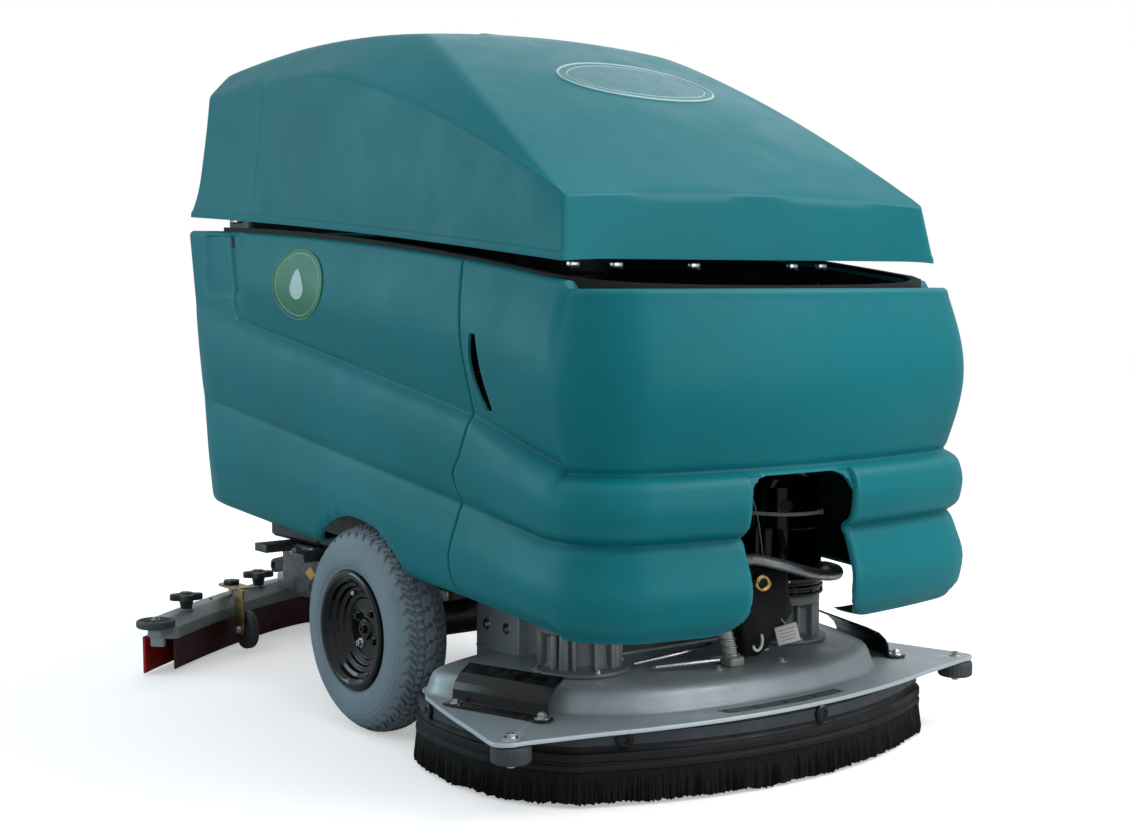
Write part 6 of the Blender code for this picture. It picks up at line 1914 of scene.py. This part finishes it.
# radius of the panel's hole for each control
PANEL_HOLES = ((KEY_X, 0.0087), (BUTTON_X, 0.0110), (KNOB_X, 0.0067), (STOP_X, 0.0092))


def make_console():
    parts = [box((0, PANEL_Y, 0.8150), (0.400, 0.092, 0.2500), 0.0150, 6, PLASTIC),
             box((0, 0.6390, 0.6200), (0.240, 0.050, 0.170), 0.0080, 4, PLASTIC),
             box((0, 0.7035, 0.9150), (0.340, 0.0060, 0.034), 0.0026, 3, PLASTIC),
             box((0, 0.7035, 0.8000), (0.250, 0.0050, 0.120), 0.0022, 3, GREY_PLASTIC)]
    # louvres
    for k in range(7):
        parts.append(box((0, 0.7062, 0.7520 + 0.0155 * k), (0.220, 0.0030, 0.0052), 0.0012, 2,
                         PLASTIC))
    for x in (-0.165, 0.165):
        for z in (0.715, 0.915):
            parts += bolt((x, 0.7036, z), "Y", 0.0042, 0.0026, BRIGHT, 1.5)
    for x in (-0.100, 0.100):
        for z in (0.560, 0.680):
            parts += bolt((x, 0.6636, z), "Y", 0.0050, 0.0032, BRIGHT, 1.5)
    piece("console_housing_moulded", "chassis", parts, "console_housing")


def make_control_panel():
    """Top panel, open round the four controls, with a dark field and four lamps."""
    holes = [[around((x, 0.0), r, a, 0) for a in turns(28)] for x, r in PANEL_HOLES]
    parts = [slab(rounded_rect(0.360, 0.080, 0.008, 6), 0.0098, (0, PANEL_Y, 0.9455),
                  bevel=0.0012, mat=GREY_PLASTIC, holes=holes),
             slab(rounded_rect(0.034, 0.046, 0.003, 4), 0.0014, (0.060, PANEL_Y, 0.9509),
                  bevel=0.0004, mat=GLOSS_BLACK)]
    for k, mat in enumerate((RED_GLOSS, YELLOW_LABEL, GREEN_PRINT, PALE)):
        parts.append(lathe([(0.0, 0.9500), (0.0030, 0.9500), (0.0030, 0.9512),
                            (0.0020, 0.9518), (0.0, 0.9520)], (-0.034, 0.6400 + 0.012 * k, 0),
                           "Z", 20, mat))
    for x, mat in ((KEY_X, BRIGHT), (BUTTON_X, PLASTIC)):
        parts.append(collar(0.0122, 0.0160, 0.9498, 0.9514, (x, PANEL_Y, 0), "Z", 36, mat,
                            0.0004))
    parts.append(collar(0.0205, 0.0290, 0.9498, 0.9509, (STOP_X, PANEL_Y, 0), "Z", 48,
                        YELLOW_LABEL, 0.0003))
    # ticks round the speed knob, each longer than the last
    for k in range(11):
        a = math.radians(-130 + 26 * k)
        parts.append(box((KNOB_X + 0.0235 * math.sin(a), PANEL_Y + 0.0235 * math.cos(a), 0.9506),
                         (0.0012, 0.0044 + 0.0002 * k, 0.0006), 0.0002, 1, PLASTIC, -a))
    for x in (-0.172, 0.172):
        for y in (-0.032, 0.032):
            parts += bolt((x, PANEL_Y + y, 0.9502), "Z", 0.0030, 0.0014, BRIGHT, 0)
    piece("control_panel_face", "chassis", parts, "control_panel")


def make_controls():
    bow = fillet([(-0.0100, -0.0060), (0.0100, -0.0060), (0.0110, 0.0060), (-0.0110, 0.0060)],
                 0.005, 6)
    parts = [lathe([(0.0, 0.9430), (0.0076, 0.9430), (0.0076, 0.9530), (0.0066, 0.9545),
                    (0.0, 0.9545)], (KEY_X, PANEL_Y, 0), "Z", 36, BRIGHT, 0.0006),
             box((KEY_X, PANEL_Y, 0.9620), (0.0026, 0.0080, 0.0200), 0.0006, 2, BRIGHT),
             slab(bow, 0.0034, (KEY_X, PANEL_Y, 0.9760), FACING_X, 0.0010, PLASTIC)]
    piece("key_switch_with_key", "key", parts, "key_switch")

    cap = lathe([(0.0, 0.9452), (0.0098, 0.9452), (0.0098, 0.9525), (0.0085, 0.9538),
                 (0.0060, 0.9530), (0.0, 0.9528)], (BUTTON_X, PANEL_Y, 0), "Z", 40, GREEN_PRINT,
                0.0006, 3)
    piece("push_button_cap", "button", [cap], "push_button")

    parts = [lathe([(0.0, 0.9432), (0.0056, 0.9432), (0.0056, 0.9512), (0.0170, 0.9512),
                    (0.0165, 0.9560), (0.0140, 0.9700), (0.0120, 0.9718), (0.0, 0.9718)],
                   (KNOB_X, PANEL_Y, 0), "Z", 96, PLASTIC, 0.0008, 3,
                   wave=flutes(0.0007, 16, 0.952, 0.970)),
             box((KNOB_X, 0.6640, 0.9718), (0.0016, 0.0100, 0.0010), 0.0003, 2, WHITE_LABEL)]
    piece("speed_knob_fluted", "knob", parts, "speed_knob")

    parts = [lathe([(0.0, 0.9470), (0.0080, 0.9470), (0.0080, 0.9632), (0.0180, 0.9650),
                    (0.0190, 0.9670), (0.0190, 0.9710), (0.0172, 0.9748), (0.0120, 0.9770),
                    (0.0, 0.9778)], (STOP_X, PANEL_Y, 0), "Z", 64, RED_GLOSS, 0.0008, 3)]
    for k in range(3):
        arc = [around((STOP_X, PANEL_Y), 0.0125, math.radians(120 * k + t * 70), 0.9771)
               for t in (0.0, 0.25, 0.5, 0.75, 1.0)]
        parts.append(tube(arc, 0.0007, 8, WHITE_LABEL))
    piece("emergency_stop_mushroom", "stop", parts, "emergency_stop")


def soften_path(path, setback, segments=4):
    """Replaces the inner corners of a 3-D path with quadratic curves."""
    P = [np.array(p, float) for p in path]
    out = [P[0]]
    for before, p, after in zip(P, P[1:], P[2:]):
        va, vb = before - p, after - p
        len_a, len_b = np.linalg.norm(va), np.linalg.norm(vb)
        d = min(setback, 0.45 * len_a, 0.45 * len_b)
        p0, p1 = p + va / len_a * d, p + vb / len_b * d
        for k in range(segments + 1):
            t = k / segments
            out.append((1 - t) ** 2 * p0 + 2 * t * (1 - t) * p + t * t * p1)
    return out + [P[-1]]


def make_handle():
    """Steering handle with rubber grips, and the drive bail below it."""
    half = [(-0.185, 0.7046, 0.850), (-0.185, 0.722, 0.850), (-0.185, 0.738, 0.868),
            (-0.185, 0.757, 0.905), (-0.165, 0.766, 0.920)]
    parts = [tube(half + mirror_x(half), 0.0122, 28, STEEL_BLACK, per=8)]
    for _, sign in SIDES:
        parts.append(tube([(sign * 0.040, 0.766, 0.920), (sign * 0.150, 0.766, 0.920)], 0.0130,
                          28, RUBBER, curved=False, rings=(0.0090, 0.0004)))
        parts.append(disc(0.0200, 0.0, 0.0040, (sign * 0.185, 0.7036, 0.850), "Y", 36,
                          STEEL_BLACK, 0.001))
    piece("steering_handle_grips", "chassis", parts, "steering_handle")

    half = [(-0.150, 0.718, 0.780), (-0.150, 0.758, 0.794), (-0.140, 0.766, 0.797)]
    parts = [tube(soften_path(half + mirror_x(half), 0.012), 0.0068, 20, YELLOW_BAIL,
                  curved=False)]
    for _, sign in SIDES:
        parts.append(disc(0.0100, -0.0055, 0.0055, (sign * 0.150, 0.718, 0.780), "X", 32,
                          PLASTIC, 0.001))
    piece("drive_bail_bar", "bail", parts, "drive_bail")


def make_hoses():
    path = [(0.060, 0.690, 0.660), (0.060, 0.702, 0.600), (0.056, 0.716, 0.480),
            (0.040, 0.744, 0.340), (0.008, 0.780, 0.250), (0.0, SQ_NECK_Y, 0.210),
            (0.0, SQ_NECK_Y, 0.1600)]
    parts = [tube(path, 0.0178, 24, HOSE, rings=(0.0075, 0.0011)),
             disc(0.0205, -0.018, 0.018, (0.0, SQ_NECK_Y, 0.180), "Z", 36, RUBBER, 0.001,
                  top=0.0195)]
    hose = piece("squeegee_hose_ribbed", None, parts, "squeegee_hose")
    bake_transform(hose)

    path = [(0.170, 0.690, 0.660), (0.172, 0.694, 0.600), (0.175, 0.688, 0.480),
            (0.180, 0.670, 0.380), (0.182, 0.650, 0.340)]
    plug = [(0.0, -0.016), (0.0215, -0.016), (0.0215, 0.004), (0.0190, 0.008), (0.0, 0.008)]
    parts = [tube(path, 0.0168, 24, RUBBER, rings=(0.0075, 0.0010)),
             lathe(plug, path[-1], (0.02, 0.2, 0.38), 36, YELLOW_LABEL, 0.001)]
    piece("drain_hose_capped", "chassis", parts, "drain_hose")


# ------------------------------------------------------------------ painted shade in the gap between cover and body
def make_gap_shade_strip():
    """Dark strip of painted shade in the gap under the cover's edge, set back from the skin."""
    half = [(-0.322, 0.455 - (0.455 + 0.470) * k / 24) for k in range(25)]
    half += [(-0.300, -0.505), (-0.250, -0.535), (-0.150, -0.553), (0.0, -0.560)]
    path = half + mirror_x(half[:-1])
    rows = []
    for (x, y), normal in zip(path, left_normals(path)):
        nx, ny = normal[0] * 0.007, normal[1] * 0.007
        low, high = z_top(y) - 0.030, z_top(y) + 0.0035
        rows.append([(x + nx, y + ny, low), (x - nx, y - ny, low),
                     (x - nx, y - ny, high), (x + nx, y + ny, high)])
    gap_strip = grid(rows, DARK_GAP, close_u=True, cap=True, angle=40)
    piece("cover_gap_painted_shade", "chassis", [gap_strip])


def make_floor_clips():
    """Small bright clips hanging from the cover's floor at the front, and one at the back."""
    parts = []
    for x, y in ((-0.300, -0.470), (-0.236, -0.478), (-0.110, -0.484), (0.070, -0.484),
                 (0.130, -0.480)):
        z = cover_z(y)
        parts.append(box((x, y, z - 0.0045), (0.016, 0.010, 0.0080), 0.0020, 3, BRIGHT))
        parts.append(box((x + 0.004, y, z - 0.0090), (0.007, 0.012, 0.0030), 0.0012, 2, PLASTIC))
    parts.append(box((-0.318, 0.430, cover_z(0.430) - 0.0050), (0.012, 0.026, 0.0080), 0.0026,
                     3, BRIGHT))
    piece("tank_floor_clips", "tank", parts)


# ------------------------------------------------------------------ marks on the bodywork
MARK_Y, MARK_Z, MARK_R, MARK_STRETCH = 0.170, 0.6660, 0.053, 1.42
DROP_Z = MARK_Z - 0.006
OVAL_X, OVAL_Y, OVAL_HALF_X, OVAL_HALF_Y = 0.020, -0.205, 0.146, 0.060


def skin_point(y, z, lift):
    """A point just over the lower body's skin on the -X side."""
    line = wall_profiles(y)[0]
    offset = max(o0 + (o1 - o0) * (z - z0) / (z1 - z0)
                 for (z0, o0), (z1, o1) in zip(line, line[1:])
                 if min(z0, z1) - 1e-9 <= z <= max(z0, z1) + 1e-9 and abs(z1 - z0) > 1e-9)
    return (-(BODY_W + offset + lift), y, z)


def make_side_mark():
    """Green oval with two rings and a pale droplet, on the -X side."""
    def oval(share, count):
        return [skin_point(MARK_Y + MARK_R * share * math.cos(a) * MARK_STRETCH,
                           MARK_Z + MARK_R * share * math.sin(a), 0.0010) for a in turns(count)]

    parts = [grid([oval(share, 64) for share in (0.0, 0.30, 0.6, 0.86, 0.93, 1.0)], DISC_GREEN,
                  close_u=True, angle=60, merge=1e-6)]
    for share, radius, mat in ((1.02, 0.0008, GREEN_PRINT), (0.90, 0.00045, PALE)):
        parts.append(tube(oval(share, 72), radius, 6, mat, closed=True, curved=False))
    drop = []
    for a in turns(48):
        rise = max(0.0, math.sin(a))
        r = 0.017 * (1 + 0.75 * rise ** 3)
        width = 1 - 0.45 * rise ** 2
        drop.append((MARK_Y + r * math.cos(a) * width * 1.25, DROP_Z + r * math.sin(a)))
    rows = [[skin_point(MARK_Y + (y - MARK_Y) * f, DROP_Z + (z - DROP_Z) * f, 0.0015)
             for y, z in drop] for f in (0.0, 0.5, 1.0)]
    parts.append(grid(rows, PALE, close_u=True, angle=60, merge=1e-6))
    piece("side_mark_droplet", "chassis", parts)


def make_oval_plate():
    """Raised oval on the cover's front slope: dark field, two pale rims."""
    cover = bpy.data.objects["recovery_tank_moulding"]
    tree = BVHTree.FromPolygons([cover.matrix_world @ v.co for v in cover.data.vertices],
                                [tuple(p.vertices) for p in cover.data.polygons])

    def on_cover(dx, dy, lift):
        x, y = OVAL_X + dx, OVAL_Y + dy
        hit = tree.ray_cast(Vector((x, y + AXLE_Y, 2.0)), Vector((0, 0, -1)))[0]
        return (x, y, (hit.z if hit is not None else roof_z(x, y)) + lift)

    def ring(f, lift, count, squash=1.0):
        return [on_cover(OVAL_HALF_X * f * math.cos(a), OVAL_HALF_Y * f * math.sin(a) * squash,
                         lift) for a in turns(count)]

    rows = [ring(f, lift, 80) for f, lift in (
        (1.0, 0.0002), (0.99, 0.0010), (0.955, 0.0014), (0.90, 0.0011), (0.6, 0.0011),
        (0.3, 0.0011), (0.0, 0.0011))]
    parts = [grid(rows, OVAL_FIELD, close_u=True, angle=60, merge=1e-6)]
    for f, radius, squash in ((0.965, 0.0019, 1), (0.86, 0.0009, 0.93)):
        parts.append(tube(ring(f, 0.0008, 96, squash), radius, 8, PALE, closed=True,
                          curved=False))
    piece("plain_oval_plate", "tank", parts)


# ------------------------------------------------------------------ inside the front notch
# black boot: z, half width, half depth, x shift
BOOT_ROWS = (
    (0.144, 0.012, 0.010, -0.010), (0.152, 0.022, 0.016, -0.008), (0.170, 0.031, 0.022, -0.004),
    (0.190, 0.043, 0.025, 0.006), (0.203, 0.050, 0.026, 0.012), (0.232, 0.044, 0.025, 0.008),
    (0.256, 0.046, 0.022, 0.010), (0.270, 0.042, 0.017, 0.010), (0.278, 0.026, 0.010, 0.008))
# thin leads: material, radius, points
LEADS = (
    (PLASTIC, 0.0022, [(-0.012, -0.440, 0.330), (-0.004, -0.446, 0.300),
                       (0.016, -0.452, 0.270), (0.030, -0.455, 0.240)]),
    (PLASTIC, 0.0026, [(0.150, -0.385, 0.300), (0.110, -0.430, 0.290),
                       (0.070, -0.452, 0.255), (0.055, -0.455, 0.235)]),
    (GREY_PLASTIC, 0.0009, [(0.028, -0.446, 0.380), (0.040, -0.448, 0.350),
                            (0.046, -0.452, 0.310), (0.050, -0.455, 0.262)]))


def boot_with_ring():
    def squared(v):
        return math.copysign(abs(v) ** 0.7, v)

    rows = []
    for z, width, depth, shift in BOOT_ROWS:
        rows.append([(0.045 + shift + width * squared(math.cos(a)),
                      -0.443 + depth * squared(math.sin(a)) + 0.002 * math.sin(5 * a + 40 * z), z)
                     for a in turns(28)])
    at = (0.0200, -0.484, 0.2540)
    facing = (-0.30, -1.0, 0.05)
    ring = [(0.0062, -0.0030), (0.0118, -0.0030), (0.0130, -0.0005), (0.0118, 0.0030),
            (0.0095, 0.0042), (0.0062, 0.0030)]
    bore = [(0.0, -0.0020), (0.0064, -0.0020), (0.0064, 0.0004), (0.0, 0.0000)]
    return [grid(rows, RUBBER, close_u=True, cap=True, angle=50),
            lathe(ring, at, facing, 48, BRASS, 0.0008, 3, closed=True),
            lathe(bore, at, facing, 32, RUBBER),
            tube([(0.0200, -0.482, 0.2540), (0.0240, -0.470, 0.2545), (0.036, -0.456, 0.2545)],
                 0.0085, 18, RUBBER)]


def hanging_tag():
    """White tag with four grey lines, and its tie."""
    frame = (Matrix.Translation((0.0760, -0.4760, 0.1740))
             @ Matrix.Rotation(math.radians(-28), 4, "Z")
             @ Matrix.Rotation(math.radians(-14), 4, "Y"))
    parts = [box((0, 0, 0), (0.0330, 0.0010, 0.0270), 0.0004, 1, WHITE_LABEL)]
    for k in range(4):
        parts.append(box((0.0, -0.0006, 0.0070 - 0.0048 * k),
                         (0.0240 - 0.004 * (k % 2), 0.0004, 0.0012), 0.0, 1, GREY_PLASTIC))
    place(parts, frame)
    parts.append(tube([(0.078, -0.470, 0.187), (0.070, -0.462, 0.200), (0.060, -0.460, 0.215)],
                      0.0010, 8, LIGHT_NYLON))
    return parts


def make_notch_parts():
    parts = boot_with_ring() + hanging_tag()
    # white hook
    hook = []
    for degrees in range(-160, 41, 20):
        c, s = math.cos(math.radians(degrees)), math.sin(math.radians(degrees))
        hook.append((0.0190 + 0.0125 * c, -0.4760 + 0.004 * c, 0.1700 + 0.0125 * s))
    parts.append(tube(hook, 0.0020, 12, WHITE_LABEL))
    for mat, radius, points in LEADS:
        parts.append(tube(points, radius, 10, mat))
    # milky tube with six steel coils and an elbow at its foot
    parts.append(tube([(-0.035, -0.430, 0.225), (-0.022, -0.440, 0.200),
                       (-0.012, -0.446, 0.172), (-0.006, -0.450, 0.136)], 0.0105, 20, CLEAR))
    for k in range(6):
        coil = []
        for degrees in range(0, 360, 24):
            a = math.radians(degrees)
            coil.append(around((-0.018 + 0.0022 * k, -0.443 - 0.0012 * k), 0.0122, a,
                               0.205 - 0.0105 * k + 0.0006 * math.sin(a)))
        parts.append(tube(coil, 0.0009, 8, BRIGHT, closed=True))
    parts.append(box((-0.006, -0.452, 0.1420), (0.026, 0.024, 0.0140), 0.0040, 3, CLEAR))
    # bent steel rods over the plateau
    parts.append(tube([(-0.120, -0.420, 0.1420), (-0.070, -0.440, 0.1450),
                       (-0.030, -0.450, 0.1460)], 0.0035, 14, BRIGHT))
    parts.append(tube([(-0.130, -0.385, 0.1420), (-0.060, -0.405, 0.1520),
                       (0.000, -0.400, 0.1560)], 0.0030, 14, BRIGHT))
    piece("deck_cable_boot", "deck", parts)


def make_corner_plates():
    """Upright plates behind the drive tyres, with two bolts and a yellow diamond."""
    diamond = fillet([(-0.018, 0.0), (0.0, -0.0110), (0.018, 0.0), (0.0, 0.0110)], 0.0015, 3)
    parts = []
    for _, sign in SIDES:
        parts.append(box((sign * 0.2525, 0.3300, 0.1925), (0.0040, 0.146, 0.080), 0.0012, 2,
                         STEEL_BLACK))
        for y, radius, height in ((0.300, 0.0068, 0.0046), (0.365, 0.0060, 0.0040)):
            parts += bolt((sign * 0.2545, y, 0.2230), outward(sign), radius, height, BRIGHT, 1.6)
        parts.append(slab(diamond, 0.0006, (sign * 0.2549, 0.3060, 0.1900), FACING_X, 0.0001,
                          YELLOW_LABEL))
    piece("frame_corner_plates", "chassis", parts)


for make in (make_console, make_control_panel, make_controls, make_handle, make_hoses,
             make_gap_shade_strip, make_floor_clips, make_side_mark, make_oval_plate, make_notch_parts,
             make_corner_plates):
    make()

# ------------------------------------------------------------------ finishes of the CAD nodes
# a star stands for left and right
CAD_FINISHES = (
    (TEAL, "solution_tank front_shroud recovery_tank tank_lid"),
    (FRAME_BLACK, "main_frame drive_transaxle lower_lift_arm upper_lift_link squeegee_arm"),
    (BRIGHT, "tank_hinge_rail lift_actuator rear_caster_fork key_switch"),
    (BATTERY, "battery_1 battery_2 battery_3"),
    (CABLE_RED, "battery_cable"),
    (PLASTIC, "console_housing vacuum_motor speed_knob drive_bail star_knob_outer_* "
              "star_knob_inner_*"),
    (GREY_PLASTIC, "control_panel float_shutoff push_button"),
    (STEEL_BLACK, "steering_handle"),
    (HOSE, "squeegee_hose"),
    (RUBBER, "drain_hose skirt_band rear_caster_wheel squeegee_wheel_*"),
    (CAST, "scrub_deck squeegee_frame"),
    (CAST_DARK, "brush_gearbox_*"),
    (BRISTLE, "skirt_bristles disc_brush_*"),
    (GLOSS_BLACK, "brush_motor_* skirt_bracket_* wheel_rim_*"),
    (CONDUIT, "motor_conduit"),
    (RED, "squeegee_blade"),
    (YELLOW_ZINC, "wheel_bracket_*"),
    (RED_GLOSS, "emergency_stop"),
    (TYRE, "drive_tyre_*"),
    (GREY_RUBBER, "bumper_roller_* tip_roller_*"),
)
SOFTENED = ("main_frame", "drive_transaxle", "lift_actuator", "lower_lift_arm",
            "upper_lift_link", "squeegee_arm", "rear_caster_fork", "rear_caster_wheel",
            "tank_hinge_rail", "float_shutoff", "vacuum_motor")


def soften_edges(ob):
    """Small bevels on a CAD node's sharp edges."""
    weld = ob.modifiers.new("weld", "WELD")
    weld.merge_threshold = 0.00002
    bevel = ob.modifiers.new("soft", "BEVEL")
    bevel.width = 0.0009
    bevel.segments = 2
    bevel.limit_method = "ANGLE"
    bevel.angle_limit = math.radians(38)
    ob.data.shade_smooth()
    split = ob.modifiers.new("smooth", "EDGE_SPLIT")
    split.split_angle = math.radians(38)


finish_of = {name.replace("*", side): mat for mat, names in CAD_FINISHES
             for name in names.split() for side, _ in SIDES}
for name, ob in CAD_NODES.items():
    ob.data.materials.clear()
    ob.data.materials.append(finish_of[name])
    if name in SOFTENED and not ob.hide_render:
        soften_edges(ob)

# ------------------------------------------------------------------ stage, light and camera
FLOOR_HALF, FLOOR_Z = 9, -0.0004
mesh_object([(x * FLOOR_HALF, y * FLOOR_HALF, FLOOR_Z)
                      for x, y in ((-1, -1), (1, -1), (1, 1), (-1, 1))],
                     [(0, 1, 2, 3)], floor_material(), name="studio_floor")


def build_world():
    """White to the camera; a soft grey gradient, brighter above, to everything else."""
    world = bpy.data.worlds.new("studio")
    bpy.context.scene.world = world
    world.use_nodes = True
    nodes, link = world.node_tree.nodes, world.node_tree.links.new
    height = nodes.new("ShaderNodeSeparateXYZ")
    link(nodes.new("ShaderNodeTexCoord").outputs["Generated"], height.inputs[0])
    ramp = nodes.new("ShaderNodeValToRGB")
    stops = ((0.0, (0.40, 0.41, 0.43, 1)), (0.60, (0.68, 0.70, 0.72, 1)))
    for element, (position, colour) in zip(ramp.color_ramp.elements, stops):
        element.position = position
        element.color = colour
    link(height.outputs["Z"], ramp.inputs["Fac"])
    pick = nodes.new("ShaderNodeMix")
    pick.data_type = "RGBA"
    link(nodes.new("ShaderNodeLightPath").outputs["Is Camera Ray"], pick.inputs[0])
    link(ramp.outputs["Color"], pick.inputs[6])
    pick.inputs[7].default_value = (1.0, 1.0, 1.0, 1)
    background = nodes["Background"]
    link(pick.outputs[2], background.inputs["Color"])
    background.inputs["Strength"].default_value = 1.0


def area_light(name, at, target, size, power, colour=(1, 1, 1)):
    light = bpy.data.lights.new(name, "AREA")
    light.shape = "RECTANGLE"
    light.size, light.size_y = size
    light.energy = power
    light.color = colour
    ob = add_object(name, light)
    ob.location = at
    ob.rotation_euler = (Vector(target) - Vector(at)).to_track_quat("-Z", "Y").to_euler()


def build_camera():
    """In front on the operator's right, turned from +Y towards +X and a little down."""
    turn, down = math.radians(36.93), math.radians(4.36)
    view = Vector((math.sin(turn) * math.cos(down), math.cos(turn) * math.cos(down),
                   -math.sin(down)))
    lens = bpy.data.cameras.new("camera")
    camera = add_object("camera", lens)
    lens.sensor_width = 36.0
    lens.lens = 57.14
    camera.location = (-1.680, -2.289 + AXLE_Y, 0.671)
    camera.rotation_euler = view.to_track_quat("-Z", "Y").to_euler()
    lens.clip_start, lens.clip_end = 0.05, 60
    bpy.context.scene.camera = camera


build_world()
area_light("top_soft", at=(1.6, -1.9, 2.8), target=(0, -0.2, 0.8), size=(2.2, 1.6), power=48)
area_light("left_fill", at=(-2.6, 2.3, 1.25), target=(-0.3, 0.1, 0.7), size=(1.8, 1.4),
           power=26, colour=(0.58, 0.93, 1.0))
area_light("front_fill", at=(0.9, -3.2, 1.0), target=(0, -0.3, 0.4), size=(2.0, 1.4), power=18)
area_light("back_fill", at=(1.9, 1.5, 2.6), target=(0, -0.2, 0.9), size=(2.0, 1.4), power=7)
build_camera()
try:
    bpy.context.scene.view_settings.view_transform = "Standard"
except TypeError:
    pass    # a colour configuration without this view transform keeps its own
